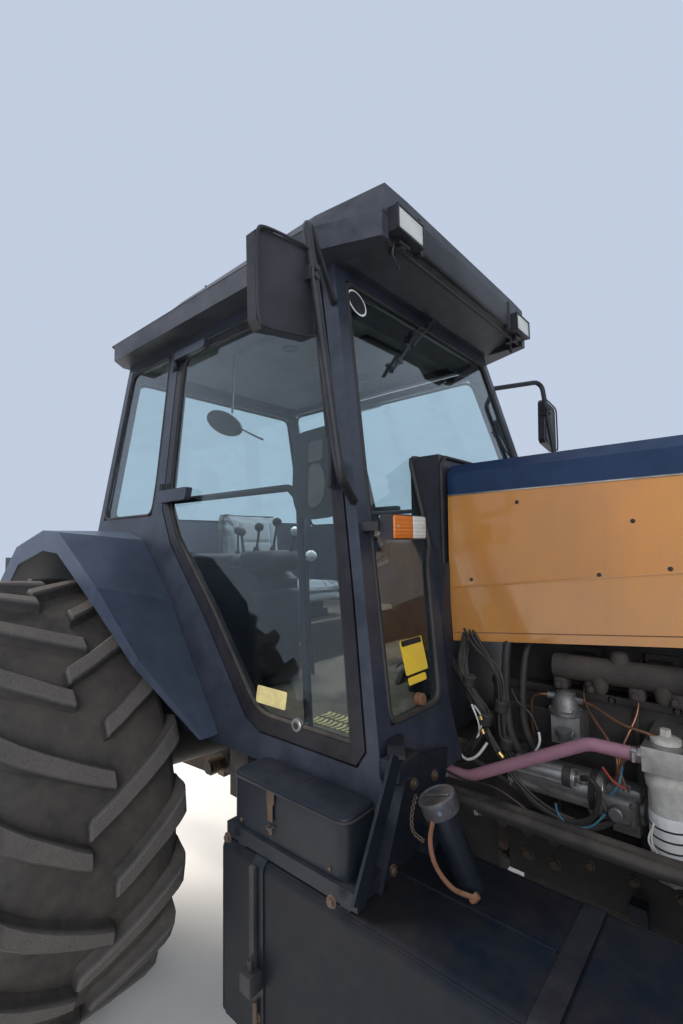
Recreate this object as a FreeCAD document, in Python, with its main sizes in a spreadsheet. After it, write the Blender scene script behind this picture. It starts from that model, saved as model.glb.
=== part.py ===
import FreeCAD, Part
import math
import os
from FreeCAD import Placement, Rotation, Vector

# Farm tractor with a glazed cab, four driven wheels and a rear three-point linkage.
# Lengths are in millimetres. X runs forward, Y to the tractor's left and Z up from the ground.
# Every place along X is measured from the rear axle; the finished pieces are then shifted
# together, so that the origin lies on the ground under the middle of the whole machine.

doc = FreeCAD.newDocument("FarmTractor")
sheet = doc.addObject("Spreadsheet::Sheet", "Sizes")

# Driving dimensions: name, value, what it is
SIZES = [
    ("wheelbase", 2880, "rear axle to front axle"),
    ("rear_tyre_radius", 785, "to the lugs' tips"),
    ("rear_tyre_width", 570, "across the bulge of the sidewalls"),
    ("rear_tread_width", 520, "across the lugs"),
    ("rear_rim_radius", 381, "bead seat of a 30 inch rim"),
    ("rear_track", 2450, "between the rear tyres' middles"),
    ("rear_lug_height", 42, "above the tread"),
    ("rear_lug_count", 22, "lugs on each side of a rear tyre"),
    ("front_tyre_radius", 660, "to the lugs' tips"),
    ("front_tyre_width", 370, "across the bulge of the sidewalls"),
    ("front_tread_width", 340, "across the lugs"),
    ("front_rim_radius", 356, "bead seat of a 28 inch rim"),
    ("front_track", 2080, "between the front tyres' middles"),
    ("front_lug_height", 34, "above the tread"),
    ("front_lug_count", 18, "lugs on each side of a front tyre"),
    ("lug_half_top", 27, "half thickness of a lug's top near the tread's middle"),
    ("rim_wall", 8, "rim plate"),
    ("flange_height", 22, "rim flange above the bead seat"),
    ("bead_gap", 0.3, "between a tyre and its rim's bead seat"),
    ("rear_shaft_radius", 45, "bar axle in the rear hubs"),
    ("spindle_radius", 40, "front spindle in its hub"),
    ("hub_clearance", 0.05, "round a shaft that turns in a bore"),
    ("kingpin_spacing", 1700, "between the kingpins' middles"),
    ("kingpin_radius", 20, "kingpin"),
    ("barrel_radius", 55, "axle end that holds the kingpins"),
    ("barrel_height", 140, "axle end that holds the kingpins"),
    ("yoke_gap", 2, "between the barrel's ends and the knuckle"),
    ("yoke_plate", 28, "thickness of the knuckle's arms"),
    ("cab_floor_height", 1050, "underside of the footwell floor"),
    ("cab_bench_height", 1250, "underside of the raised floor over the axle"),
    ("cab_bench_front", 430, "front edge of the raised floor"),
    ("cab_floor_plate", 40, "thickness of the floors"),
    ("cab_top_height", 2690, "top of the pillars under the roof"),
    ("cab_rear", -385, "rear wall"),
    ("cab_front_floor", 1518, "windscreen's plane at the floor"),
    ("screen_rake", 0.2342, "forward lean of the windscreen, per unit of height"),
    ("cab_half_floor", 904, "half width of the cab at the floor"),
    ("header_height", 50, "cab frame above the windows"),
    ("side_flare", 0.175, "outward lean of the cab's sides, per unit of height"),
    ("pillar_wall", 50, "depth of the pillars"),
    ("glass_setback", 10, "glass behind the outer face"),
    ("glass_thickness", 5, "window glass"),
    ("door_gap", 7, "between a door and its opening"),
    ("door_top_gap", 15, "gap above a door, whose top edge rises as it swings"),
    ("door_frame_width", 42, "seen from the side"),
    ("door_frame_depth", 34, "door frame from outside to inside"),
    ("hinge_offset", 14, "door's hinge line outside the cab's skin"),
    ("roof_half_width", 722, "at the lip"),
    ("roof_front", 1352, "front of the visor"),
    ("roof_rear", -420, "rear edge of the roof"),
    ("roof_rise", 195, "top of the roof above the pillars"),
    ("seat_rise", 100, "seat cushion above the raised floor"),
    ("steering_gap", 0.3, "between the steering wheel's hub and the column"),
    ("fender_edge", 1140, "outer edge of a fender from the middle plane"),
    ("fender_plate", 8, "thickness of the fender plate"),
    ("fender_lip", 85, "depth of the turned-down outer edge"),
    ("bonnet_rear", 1416, "rear edge of the bonnet"),
    ("bonnet_overhang", 450, "front of the bonnet's sides ahead of the front axle"),
    ("nose_depth", 110, "nose ahead of the bonnet's sides"),
    ("bonnet_half_width", 361, "half width of the bonnet"),
    ("bonnet_top", 1958, "top of the bonnet"),
    ("bonnet_strip", 1850, "lower edge of the dark upper part"),
    ("bonnet_wall", 5, "bonnet sheet"),
    ("bonnet_hinge_x", 1440, "bonnet's hinge line"),
    ("bonnet_hinge_z", 1942, "bonnet's hinge line"),
    ("nose_bottom", 1040, "lower edge of the nose"),
    ("cowl_half_width", 400, "half width of the cowl behind the bonnet"),
    ("cowl_top", 1992, "top of the cowl"),
    ("cowl_front", 1405, "front face of the cowl"),
    ("cowl_rear", 1290, "rear face of the cowl"),
    ("tank_rear", 1107, "rear end of the fuel tank"),
    ("tank_to_tyre", 115, "between the tank and the front tyre"),
    ("filler_share", 0.583, "place of the filler along the tank"),
    ("tank_outer", 1067, "outer side from the middle plane"),
    ("tank_inner", 703, "inner side from the middle plane"),
    ("tank_top", 918, "top of the tank"),
    ("tank_bottom", 480, "underside of the tank"),
    ("tank_corner", 25, "radius of the tank's long edges"),
    ("strap_width", 42, "tank strap"),
    ("strap_thickness", 4, "tank strap"),
    ("toolbox_rear", 1117, "rear end of the toolbox"),
    ("toolbox_front", 1516, "front end of the toolbox"),
    ("toolbox_outer", 1045, "outer side from the middle plane"),
    ("toolbox_inner", 925, "inner side from the middle plane"),
    ("toolbox_bottom", 958, "underside of the toolbox"),
    ("toolbox_height", 118, "toolbox without its lid"),
    ("toolbox_wall", 3, "toolbox sheet"),
    ("lid_thickness", 12, "toolbox lid with its folded rim"),
    ("lid_gap", 0.3, "between the toolbox and its closed lid"),
    ("engine_rear", 1500, "rear face of the engine"),
    ("engine_to_axle", 480, "front face of the engine behind the front axle"),
    ("radiator_to_axle", 230, "rear face of the radiator behind the front axle"),
    ("engine_half_width", 235, "half width of the crankcase"),
    ("engine_bottom", 640, "underside of the crankcase"),
    ("engine_deck", 1225, "top of the crankcase"),
    ("head_half_width", 165, "half width of the cylinder head"),
    ("head_top", 1390, "top of the cylinder head"),
    ("cover_top", 1470, "top of the rocker cover"),
    ("bell_rear", 1150, "rear face of the clutch bell"),
    ("gearbox_half_width", 185, "half width of the gearbox"),
    ("case_half_width", 230, "half width of the rear axle case"),
    ("case_rear", -265, "rear face of the rear axle case"),
    ("rail_inner", 262, "inner face of the front frame's rails"),
    ("rail_thickness", 30, "front frame's rails"),
    ("rail_top", 830, "top of the rails"),
    ("rail_bottom", 650, "underside of the rails"),
    ("rail_arch", 775, "underside of the rails over the front axle"),
    ("frame_overhang", 410, "front frame ahead of the front axle"),
    ("weight_count", 8, "front weights"),
    ("weight_pitch", 52, "between front weights"),
    ("weight_thickness", 48, "one front weight"),
    ("weight_depth", 270, "front weights from rear to front"),
    ("link_pivot_x", -70, "front pivot of the lower links"),
    ("link_pivot_z", 520, "front pivot of the lower links"),
    ("link_pivot_y", 290, "front pivot of the lower links from the middle plane"),
    ("link_length", 870, "lower link between its pivots"),
    ("link_rise", 45, "ball end's rise above the pivot"),
    ("link_ball_radius", 36, "outside of a lower ball"),
    ("link_spread", 435, "ball ends from the middle plane"),
    ("link_ball_bore", 18.6, "bore radius of a lower ball"),
    ("link_ball_width", 45, "width of a lower ball"),
    ("rockshaft_x", -190, "cross shaft of the lift arms"),
    ("rockshaft_z", 1095, "cross shaft of the lift arms"),
    ("lift_arm_length", 300, "rockshaft to the lift rod's pin"),
    ("lift_arm_y", 315, "lift arms from the middle plane"),
    ("top_link_pivot_x", -305, "front pin of the top link"),
    ("top_link_pivot_z", 880, "front pin of the top link"),
    ("top_link_length", 590, "top link between its pins"),
    ("top_link_bore", 16, "bore radius at the top link's rear end"),
    ("drawbar_end", -600, "pin hole of the drawbar"),
    ("drawbar_bore", 16.5, "pin hole's radius"),
    ("drawbar_height", 420, "middle of the drawbar"),
    ("pto_radius", 17.4, "power take-off shaft"),
    ("pto_length", 90, "power take-off shaft"),
    ("pto_height", 640, "power take-off shaft"),
]


class Dimensions:
    """The values of the spreadsheet, by name."""


d = Dimensions()
for row, (alias, value, meaning) in enumerate(SIZES, start=1):
    sheet.set("A%d" % row, meaning)
    sheet.set("B%d" % row, str(value))
    sheet.setAlias("B%d" % row, alias)
doc.recompute()
for alias, value, meaning in SIZES:
    setattr(d, alias, float(sheet.get(alias)))

# Places that follow from the wheelbase and the cab's height
d.engine_front = d.wheelbase - d.engine_to_axle
d.radiator_rear = d.wheelbase - d.radiator_to_axle
d.frame_front = d.wheelbase + d.frame_overhang
d.bonnet_front = d.wheelbase + d.bonnet_overhang
d.nose_front = d.bonnet_front + d.nose_depth
d.tank_front = d.wheelbase - d.front_tyre_radius - d.tank_to_tyre
d.roof_height = d.cab_top_height + d.roof_rise
d.window_top = d.cab_top_height - d.header_height
d.raised_floor = d.cab_bench_height + d.cab_floor_plate
d.seat_height = d.raised_floor + d.seat_rise

# Derived values: the machine reaches from the lower links' ball ends to the front weights,
# and each tyre stands on the flat top of one lug.
rear_reach = d.link_pivot_x - math.sqrt(d.link_length ** 2 - d.link_rise ** 2) - d.link_ball_radius
front_reach = d.frame_front + d.weight_depth
DERIVED = [
    ("engine_length", d.engine_front - d.engine_rear, "engine from rear to front"),
    ("tank_length", d.tank_front - d.tank_rear, "fuel tank from rear to front"),
    ("centre_shift", -(rear_reach + front_reach) / 2, "shift of the whole machine along X"),
    ("rear_axle_height", d.rear_tyre_radius * math.cos(d.lug_half_top / d.rear_tyre_radius),
     "rear wheels' middle above the ground"),
    ("front_axle_height", d.front_tyre_radius * math.cos(d.lug_half_top / d.front_tyre_radius),
     "front wheels' middle above the ground")]
for row, (alias, value, meaning) in enumerate(DERIVED, start=len(SIZES) + 1):
    sheet.set("A%d" % row, meaning)
    sheet.set("B%d" % row, str(value))
    sheet.setAlias("B%d" % row, alias)
    setattr(d, alias, value)
doc.recompute()

nodes = []
made = {}


# Helpers for shapes

def keep(item, label):
    """Name a finished sub-part and shift it into the machine's own frame."""
    item.Label = label
    item.setExpression("Placement.Base.x", "Sizes.centre_shift")
    nodes.append(item)
    return item


def feature(label, shape):
    made[label] = shape
    item = doc.addObject("Part::Feature", label)
    item.Shape = shape
    return keep(item, label)


def box(x0, x1, y0, y1, z0, z1):
    return Part.makeBox(x1 - x0, y1 - y0, z1 - z0, Vector(x0, y0, z0))


def prism_y(outline, y0, y1):
    """A side-view outline of (x, z) points, carried across from y0 to y1."""
    wire = Part.makePolygon([Vector(x, y0, z) for x, z in outline + outline[:1]])
    return Part.Face(wire).extrude(Vector(0, y1 - y0, 0))


def prism_x(outline, x0, x1):
    """A front-view outline of (y, z) points, carried along from x0 to x1."""
    wire = Part.makePolygon([Vector(x0, y, z) for y, z in outline + outline[:1]])
    return Part.Face(wire).extrude(Vector(x1 - x0, 0, 0))


def rod(start, end, radius):
    start, end = Vector(*start), Vector(*end)
    along = end - start
    return Part.makeCylinder(radius, along.Length, start, along)


def loft(sections):
    """A solid through closed outlines of equally many points."""
    wires = [Part.makePolygon(section + section[:1]) for section in sections]
    return Part.makeLoft(wires, True, True)


def flat_bar(start, end, wide, thick, side):
    """A rectangular bar between two points; wide is measured along side."""
    start, end, side = Vector(*start), Vector(*end), Vector(*side)
    along = (end - start).normalize()
    across = (side - along * side.dot(along)).normalize()
    through = along.cross(across)
    corners = []
    for a, b in ((-1, -1), (1, -1), (1, 1), (-1, 1)):
        corners.append(start + across * (a * wide / 2) + through * (b * thick / 2))
    wire = Part.makePolygon(corners + corners[:1])
    return Part.Face(wire).extrude(end - start)


def fused(shapes):
    return shapes[0].multiFuse(shapes[1:]).removeSplitter()


def mirrored(shape):
    return shape.mirror(Vector(0, 0, 0), Vector(0, 1, 0))


def both_sides(shape):
    return [shape, mirrored(shape)]


def bent_tube(points, radius, bend):
    """A round tube along straight runs that are joined by arcs of one radius."""
    points = [Vector(*point) for point in points]
    edges = []
    start = points[0]
    for before, corner, after in zip(points, points[1:], points[2:]):
        back = (before - corner).normalize()
        on = (after - corner).normalize()
        half_turn = (math.pi - back.getAngle(on)) / 2
        reach = bend * math.tan(half_turn)
        bisector = (back + on).normalize()
        centre = corner + bisector * (bend / math.cos(half_turn))
        middle = centre - bisector * bend
        edges.append(Part.LineSegment(start, corner + back * reach).toShape())
        edges.append(Part.Arc(corner + back * reach, middle, corner + on * reach).toShape())
        start = corner + on * reach
    edges.append(Part.LineSegment(start, points[-1]).toShape())
    path = Part.Wire(edges)
    ring = Part.makeCircle(radius, points[0], points[1] - points[0])
    return path.makePipeShell([Part.Wire([ring])], True, False)


# Helpers for sketched bodies

def origin_plane(body, role):
    return next(item for item in body.Origin.OriginFeatures if item.Role == role)


def sketch_outline(body, name, role, outline):
    sketch = body.newObject("Sketcher::SketchObject", name)
    sketch.AttachmentSupport = (origin_plane(body, role), [""])
    sketch.MapMode = "FlatFace"
    for start, end in zip(outline, outline[1:] + outline[:1]):
        sketch.addGeometry(Part.LineSegment(Vector(*start, 0), Vector(*end, 0)), False)
    return sketch


def bound_block(name, x, y, z, length, width, height):
    """A Part box whose place and sizes follow the spreadsheet."""
    item = doc.addObject("Part::Box", name)
    item.setExpression("Placement.Base.x", x)
    item.setExpression("Placement.Base.y", y)
    item.setExpression("Placement.Base.z", z)
    item.setExpression("Length", length)
    item.setExpression("Width", width)
    item.setExpression("Height", height)
    return item


def fuse_items(label, items):
    item = doc.addObject("Part::MultiFuse", label)
    item.Shapes = items
    item.Refine = True
    return keep(item, label)


# Engine, front frame and transmission

def engine_x(share):
    """A place along the engine, as a share of its length from the rear."""
    return d.engine_rear + share * (d.engine_front - d.engine_rear)


def make_engine_block():
    centre = "-Sizes.engine_half_width"
    crankcase = bound_block(
        "crankcase", "Sizes.engine_rear", centre, "Sizes.engine_bottom",
        "Sizes.engine_length", "2 * Sizes.engine_half_width",
        "Sizes.engine_deck - Sizes.engine_bottom")
    head = bound_block(
        "cylinder_head", "Sizes.engine_rear + 30", "-Sizes.head_half_width", "Sizes.engine_deck",
        "Sizes.engine_length - 60", "2 * Sizes.head_half_width",
        "Sizes.head_top - Sizes.engine_deck")
    cover = bound_block(
        "rocker_cover", "Sizes.engine_rear + 60", "-0.6 * Sizes.head_half_width", "Sizes.head_top",
        "Sizes.engine_length - 120", "1.2 * Sizes.head_half_width",
        "Sizes.cover_top - Sizes.head_top")
    sump = bound_block(
        "sump", "Sizes.engine_rear + 60", "-180", "Sizes.engine_bottom - 90",
        "Sizes.engine_length - 120", "360", "90")
    fuse_items("engine_block", [crankcase, head, cover, sump])


def make_front_frame():
    arch_rear = d.wheelbase - 190
    arch_front = d.wheelbase + 190
    side = [
        (d.engine_rear + 60, d.rail_bottom), (arch_rear, d.rail_bottom),
        (arch_rear + 30, d.rail_arch), (arch_front - 30, d.rail_arch),
        (arch_front, d.rail_bottom - 40), (d.frame_front, d.rail_bottom - 40),
        (d.frame_front, d.rail_top), (d.engine_rear + 60, d.rail_top)]
    rail = prism_y(side, d.rail_inner, d.rail_inner + d.rail_thickness)
    front = box(d.frame_front - 90, d.frame_front, -d.rail_inner, d.rail_inner,
                d.rail_bottom - 40, d.rail_top)
    saddle = box(arch_rear + 40, arch_front - 40, -d.rail_inner, d.rail_inner,
                 d.rail_arch, d.rail_top)
    lugs = []
    for x in (d.engine_rear + 120, d.engine_front - 80):
        lugs.append(box(x, x + 60, d.engine_half_width, d.rail_inner, d.rail_bottom + 30, d.rail_top))
    pieces = both_sides(rail) + [front, saddle]
    for lug in lugs:
        pieces += both_sides(lug)
    feature("front_frame", fused(pieces))


SHAFT_RADIUS = 34
TOP_PIN_RADIUS = 15
LINK_PIN_RADIUS = 18
ROD_PIN_RADIUS = 12
LIFT_CASE_HALF = 200


def make_transmission():
    """Clutch bell, gearbox and rear axle case, with the lift's case on top and the
    shaft, guard, plates and pins of the rear hitch on its back and sides."""
    top = d.cab_floor_height - 30
    rear, half = d.case_rear, d.case_half_width
    bell = box(d.bell_rear, d.engine_rear, -d.engine_half_width, d.engine_half_width, 560, top - 20)
    gearbox = box(250, d.bell_rear, -d.gearbox_half_width, d.gearbox_half_width, 470, 970)
    case = box(rear, 250, -half, half, 470, top)
    lift_case = prism_y([(rear, top), (180, top), (120, 1210), (-150, 1210), (rear, 1160)],
                        -LIFT_CASE_HALF, LIFT_CASE_HALF)
    x, z = d.rockshaft_x, d.rockshaft_z
    lift_case = lift_case.cut(rod((x, -half, z), (x, half, z), SHAFT_RADIUS + d.hub_clearance))
    case = case.cut(rod((x, -half, z), (x, -LIFT_CASE_HALF, z), 94))
    case = case.cut(rod((x, LIFT_CASE_HALF, z), (x, half, z), 94))
    shaft = rod((rear, 0, d.pto_height), (rear - d.pto_length, 0, d.pto_height), d.pto_radius)
    flange = rod((rear, 0, d.pto_height), (rear - 12, 0, d.pto_height), 60)
    guard_low = d.pto_height + 95
    guard = box(rear - 135, rear, -130, 130, guard_low, guard_low + 6)
    x, z = d.top_link_pivot_x, d.top_link_pivot_z
    cheek = box(x - 40, rear, 26, 42, z - 50, z + 50)
    pin = rod((x, -42, z), (x, 42, z), TOP_PIN_RADIUS)
    x, y, z = d.link_pivot_x, d.link_pivot_y, d.link_pivot_z
    stub = rod((x, half, z), (x, y + 34, z), LINK_PIN_RADIUS)
    collar = rod((x, half, z), (x, y - 22, z), 40)
    washer = rod((x, y + 22, z), (x, y + 34, z), 34)
    side_pin = fused([stub, collar, washer])
    feature("transmission", fused([bell, gearbox, case, lift_case, shaft, flange, guard, pin]
                                  + both_sides(cheek) + both_sides(side_pin)))


def make_rear_axle():
    centre = d.rear_axle_height
    hub_end = d.rear_track / 2 + 60
    trumpet = Part.makeCone(165, 120, 550, Vector(0, 230, centre), Vector(0, 1, 0))
    drum = Part.makeCylinder(190, 120, Vector(0, 780, centre), Vector(0, 1, 0))
    shaft = Part.makeCylinder(d.rear_shaft_radius, hub_end - 900, Vector(0, 900, centre), Vector(0, 1, 0))
    half = fused([trumpet, drum, shaft])
    feature("rear_axle", Part.makeCompound(both_sides(half)))


def make_front_axle():
    """Beam with a round differential case; each end is an upright barrel for the kingpins."""
    x, z = d.wheelbase, d.front_axle_height
    barrel_y = d.kingpin_spacing / 2
    case = Part.makeCylinder(112, 230, Vector(x - 115, 60, z), Vector(1, 0, 0))
    sections = []
    for y, half_high, half_deep in ((0, 72, 80), (330, 62, 70), (barrel_y - 40, 46, 50)):
        sections.append([Vector(x - half_deep, y, z - half_high), Vector(x + half_deep, y, z - half_high),
                         Vector(x + half_deep, y, z + half_high), Vector(x - half_deep, y, z + half_high)])
    arm = loft(sections)
    barrel = Part.makeCylinder(d.barrel_radius, d.barrel_height,
                               Vector(x, barrel_y, z - d.barrel_height / 2))
    pin_hole = Part.makeCylinder(d.kingpin_radius + d.hub_clearance, d.barrel_height,
                                 Vector(x, barrel_y, z - d.barrel_height / 2))
    pivot = box(x - 90, x + 90, -70, 70, z + 60, d.rail_arch)
    beam = fused([arm, mirrored(arm), case, barrel, mirrored(barrel), pivot])
    feature("front_axle", beam.cut(pin_hole).cut(mirrored(pin_hole)))


def make_knuckles():
    """C-shaped yoke round the axle's barrel, with two short kingpins and the wheel spindle."""
    x, z = d.wheelbase, d.front_axle_height
    barrel_y = d.kingpin_spacing / 2
    web_y = barrel_y + d.barrel_radius + 8
    web_plate = 26
    low = z - d.barrel_height / 2 - d.yoke_gap
    high = z + d.barrel_height / 2 + d.yoke_gap
    pin_depth = 35
    pieces = []
    for bottom in (low - d.yoke_plate, high):
        pieces.append(Part.makeCylinder(d.barrel_radius, d.yoke_plate, Vector(x, barrel_y, bottom)))
        pieces.append(box(x - 50, x + 50, barrel_y, web_y + web_plate, bottom, bottom + d.yoke_plate))
    pieces.append(box(x - 50, x + 50, web_y, web_y + web_plate, low - d.yoke_plate, high + d.yoke_plate))
    pieces.append(Part.makeCylinder(d.kingpin_radius, pin_depth + d.yoke_gap, Vector(x, barrel_y, low),
                                    Vector(0, 0, 1)))
    pieces.append(Part.makeCylinder(d.kingpin_radius, pin_depth + d.yoke_gap, Vector(x, barrel_y, high),
                                    Vector(0, 0, -1)))
    drum_end = HUB_INNER_FRONT - 1.0
    pieces.append(Part.makeCylinder(92, drum_end - web_y - web_plate, Vector(x, web_y + web_plate, z),
                                    Vector(0, 1, 0)))
    pieces.append(Part.makeCylinder(d.spindle_radius, HUB_OUTER_FRONT - 12 - drum_end, Vector(x, drum_end, z),
                                    Vector(0, 1, 0)))
    arm = flat_bar((x - 40, barrel_y + 20, low - 14), (x - 190, barrel_y - 40, low - 14), 60, 26, (0, 1, 0))
    pieces.append(arm)
    knuckle = fused(pieces)
    feature("knuckle_left", knuckle)
    feature("knuckle_right", mirrored(knuckle))


def make_radiator():
    x = d.radiator_rear
    core = box(x, x + 100, -285, 285, d.rail_top, 1790)
    top_tank = box(x - 10, x + 110, -285, 285, 1790, 1850)
    cowl = box(x - 90, x, -260, 260, 900, 1700)
    cowl = cowl.cut(Part.makeCylinder(235, 80, Vector(x - 90, 0, 1290), Vector(1, 0, 0)))
    feature("radiator", fused([core, top_tank, cowl]))


def make_front_weights():
    """A hanger bar across the front of the frame, with a row of equal slab weights on it."""
    body = doc.addObject("PartDesign::Body", "front_weights")
    rear, front = d.frame_front, d.frame_front + d.weight_depth
    top, bottom = d.rail_top + 40, d.rail_bottom - 90
    bar_outline = [(rear, top - 60), (rear + 50, top - 60), (rear + 50, top - 120), (rear, top - 120)]
    hanger = body.newObject("PartDesign::Pad", "hanger")
    hanger.Profile = sketch_outline(body, "hanger_outline", "XZ_Plane", bar_outline)
    hanger.SideType = "Symmetric"
    hanger.setExpression("Length", "Sizes.weight_pitch * (Sizes.weight_count - 1) + Sizes.weight_thickness")
    slab_outline = [(rear + 2, bottom + 60), (rear + 60, bottom), (front - 40, bottom), (front, bottom + 70),
                    (front, top - 90), (front - 50, top), (rear + 2, top)]
    sketch = sketch_outline(body, "weight_outline", "XZ_Plane", slab_outline)
    sketch.setExpression("AttachmentOffset.Base.z",
                         "-Sizes.weight_pitch * (Sizes.weight_count - 1) / 2")
    pad = body.newObject("PartDesign::Pad", "weight_slab")
    pad.Profile = sketch
    pad.SideType = "Symmetric"
    pad.setExpression("Length", "Sizes.weight_thickness")
    doc.recompute()
    slabs = body.newObject("PartDesign::LinearPattern", "weight_row")
    slabs.Originals = [pad]
    slabs.Direction = (sketch, ["N_Axis"])
    slabs.setExpression("Length", "Sizes.weight_pitch * (Sizes.weight_count - 1)")
    slabs.Occurrences = int(d.weight_count)
    body.Tip = slabs
    keep(body, "front_weights")


# Wheels

# How far a lug's inner end runs ahead of its middle, in pitches
LONG_LUG_REACH = 0.42
# Half the distance between the beads, as a share of half the tyre's width
BEAD_SHARE = 0.72
SHORT_LUG_REACH = 0.26


def tyre_solid(radius, width, tread, rim_radius, lug_height, lug_count, sides):
    """A tyre about the Y axis: a many-sided carcass with curved bar lugs that alternate
    between a long and a short one. Seen from above, the bars point forward at the middle."""
    crown = radius - lug_height
    half, half_tread = width / 2, tread / 2
    bead = half * BEAD_SHARE
    seat = (rim_radius + d.bead_gap) / math.cos(math.pi / sides)
    over_flange = (rim_radius + d.flange_height + 2) / math.cos(math.pi / sides)
    profile = [(seat, -bead), (over_flange, -bead), ((rim_radius + crown) / 2, -half),
               (crown - 34, -half_tread), (crown, 0), (crown - 34, half_tread),
               ((rim_radius + crown) / 2, half), (over_flange, bead), (seat, bead)]
    step = 2 * math.pi / sides
    pitch = 2 * math.pi / lug_count
    phase = -math.pi / 2 + LONG_LUG_REACH * pitch
    rings = []
    for side in range(sides):
        turn = phase + side * step
        rings.append([Vector(r * math.cos(turn), y, r * math.sin(turn)) for r, y in profile])
    faces = []
    for here, there in zip(rings, rings[1:] + rings[:1]):
        for k in range(len(profile)):
            nxt = (k + 1) % len(profile)
            quad = [here[k], there[k], there[nxt], here[nxt]]
            faces.append(Part.Face(Part.makePolygon(quad + quad[:1])))
    carcass = Part.makeSolid(Part.makeShell(faces))
    if carcass.Volume < 0:
        carcass.reverse()
    lugs = []
    for index in range(lug_count):
        for hand in (1, -1):
            turn = phase + (index + (0.5 if hand < 0 else 0.0)) * pitch
            lugs.append(lug_solid(radius, crown, half_tread, turn, hand, index % 2 == 0, pitch))
    return carcass.fuse(lugs)


def lug_solid(radius, crown, half_tread, turn, hand, is_long, pitch):
    """One bar lug between a station at the shoulder and one near the middle. A station is:
    across the tread, along it in pitches, half thickness, top radius."""
    inner_end = -0.17 if is_long else 0.12
    lead = LONG_LUG_REACH if is_long else SHORT_LUG_REACH
    stations = [
        (1.0, 0.45, d.lug_half_top + 7, radius - 18),
        (inner_end, -lead, d.lug_half_top, radius)]
    sunk = crown - 50
    outlines = []
    for across, along, thick, top in stations:
        y = hand * across * half_tread
        middle = turn + along * pitch
        lean = thick / radius
        foot = (thick + 9) / radius
        outlines.append([
            Vector(sunk * math.cos(middle - foot), y, sunk * math.sin(middle - foot)),
            Vector(top * math.cos(middle - lean), y, top * math.sin(middle - lean)),
            Vector(top * math.cos(middle + lean), y, top * math.sin(middle + lean)),
            Vector(sunk * math.cos(middle + foot), y, sunk * math.sin(middle + foot))])
    here, there = outlines
    faces = []
    for k in range(4):
        nxt = (k + 1) % 4
        faces.append(Part.Face(Part.makePolygon([here[k], here[nxt], there[nxt], here[k]])))
        faces.append(Part.Face(Part.makePolygon([here[k], there[nxt], there[k], here[k]])))
    for end in outlines:
        faces.append(Part.Face(Part.makePolygon(end + end[:1])))
    solid = Part.makeSolid(Part.makeShell(faces))
    if solid.Volume < 0:
        solid.reverse()
    return solid


def make_tyres():
    rear = tyre_solid(d.rear_tyre_radius, d.rear_tyre_width, d.rear_tread_width, d.rear_rim_radius,
                      d.rear_lug_height, int(d.rear_lug_count), int(d.rear_lug_count))
    front = tyre_solid(d.front_tyre_radius, d.front_tyre_width, d.front_tread_width, d.front_rim_radius,
                       d.front_lug_height, int(d.front_lug_count), int(d.front_lug_count))
    for axle, tyre, x, track, height in (
            ("rear", rear, "0", "rear_track", "rear_axle_height"),
            ("front", front, "Sizes.wheelbase", "front_track", "front_axle_height")):
        for side, sign in (("left", "0.5"), ("right", "-0.5")):
            item = feature("%s_tyre_%s" % (axle, side), tyre)
            item.setExpression("Placement.Base.x", "Sizes.centre_shift + %s" % x)
            item.setExpression("Placement.Base.y", "%s * Sizes.%s" % (sign, track))
            item.setExpression("Placement.Base.z", "Sizes.%s" % height)


HUB_INNER_FRONT = 985.0
HUB_OUTER_FRONT = 1085.0


def make_rims():
    """Rim with drop centre, dished disc and hub, turned about the Y axis in one revolve."""
    table = [
        # axle, track, rim radius, tyre width, hub bore, hub from, hub to, disc from
        ("rear", d.rear_track, d.rear_rim_radius, d.rear_tyre_width, d.rear_shaft_radius,
         1110, d.rear_track / 2 + 55, 1150),
        ("front", d.front_track, d.front_rim_radius, d.front_tyre_width, d.spindle_radius,
         HUB_INNER_FRONT, HUB_OUTER_FRONT, 1010)]
    for axle, track, rim, width, bore, hub_from, hub_to, disc in table:
        bead = width / 2 * BEAD_SHARE
        wall = d.rim_wall
        flange = rim + d.flange_height
        hub_bore = bore + d.hub_clearance
        inner, outer = track / 2 - bead, track / 2 + bead
        disc_end = disc + 2 * wall
        profile = [
            (flange, inner - 6), (flange, inner), (rim, inner), (rim, outer), (flange, outer),
            (flange, outer + 6), (rim - wall, outer + 6), (rim - wall, disc_end + 60),
            (rim * 0.62, disc_end), (hub_bore + 55, disc_end + 10), (hub_bore + 45, hub_to), (hub_bore, hub_to),
            (hub_bore, hub_from), (hub_bore + 60, hub_from), (hub_bore + 70, disc),
            (rim * 0.62, disc), (rim - wall, disc + 40), (rim - wall, inner - 6)]
        for side, sign in (("left", 1), ("right", -1)):
            label = "%s_rim_%s" % (axle, side)
            body = doc.addObject("PartDesign::Body", label)
            outline = [(r, sign * y) for r, y in profile]
            sketch = sketch_outline(body, label + "_profile", "XY_Plane", outline)
            turned = body.newObject("PartDesign::Revolution", label + "_turned")
            turned.Profile = sketch
            turned.ReferenceAxis = (sketch, ["V_Axis"])
            turned.Angle = 360
            keep(body, label)
            body.setExpression("Placement.Base.z", "Sizes.%s_axle_height" % axle)
            if axle == "front":
                body.setExpression("Placement.Base.x", "Sizes.centre_shift + Sizes.wheelbase")


# Cab

def screen_x(z):
    """The windscreen plane's place along X at a height."""
    return d.cab_front_floor - d.screen_rake * (z - d.cab_floor_height)


def side_y(z):
    """The cab side's distance from the middle plane at a height."""
    return d.cab_half_floor - d.side_flare * (z - d.cab_floor_height)


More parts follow.
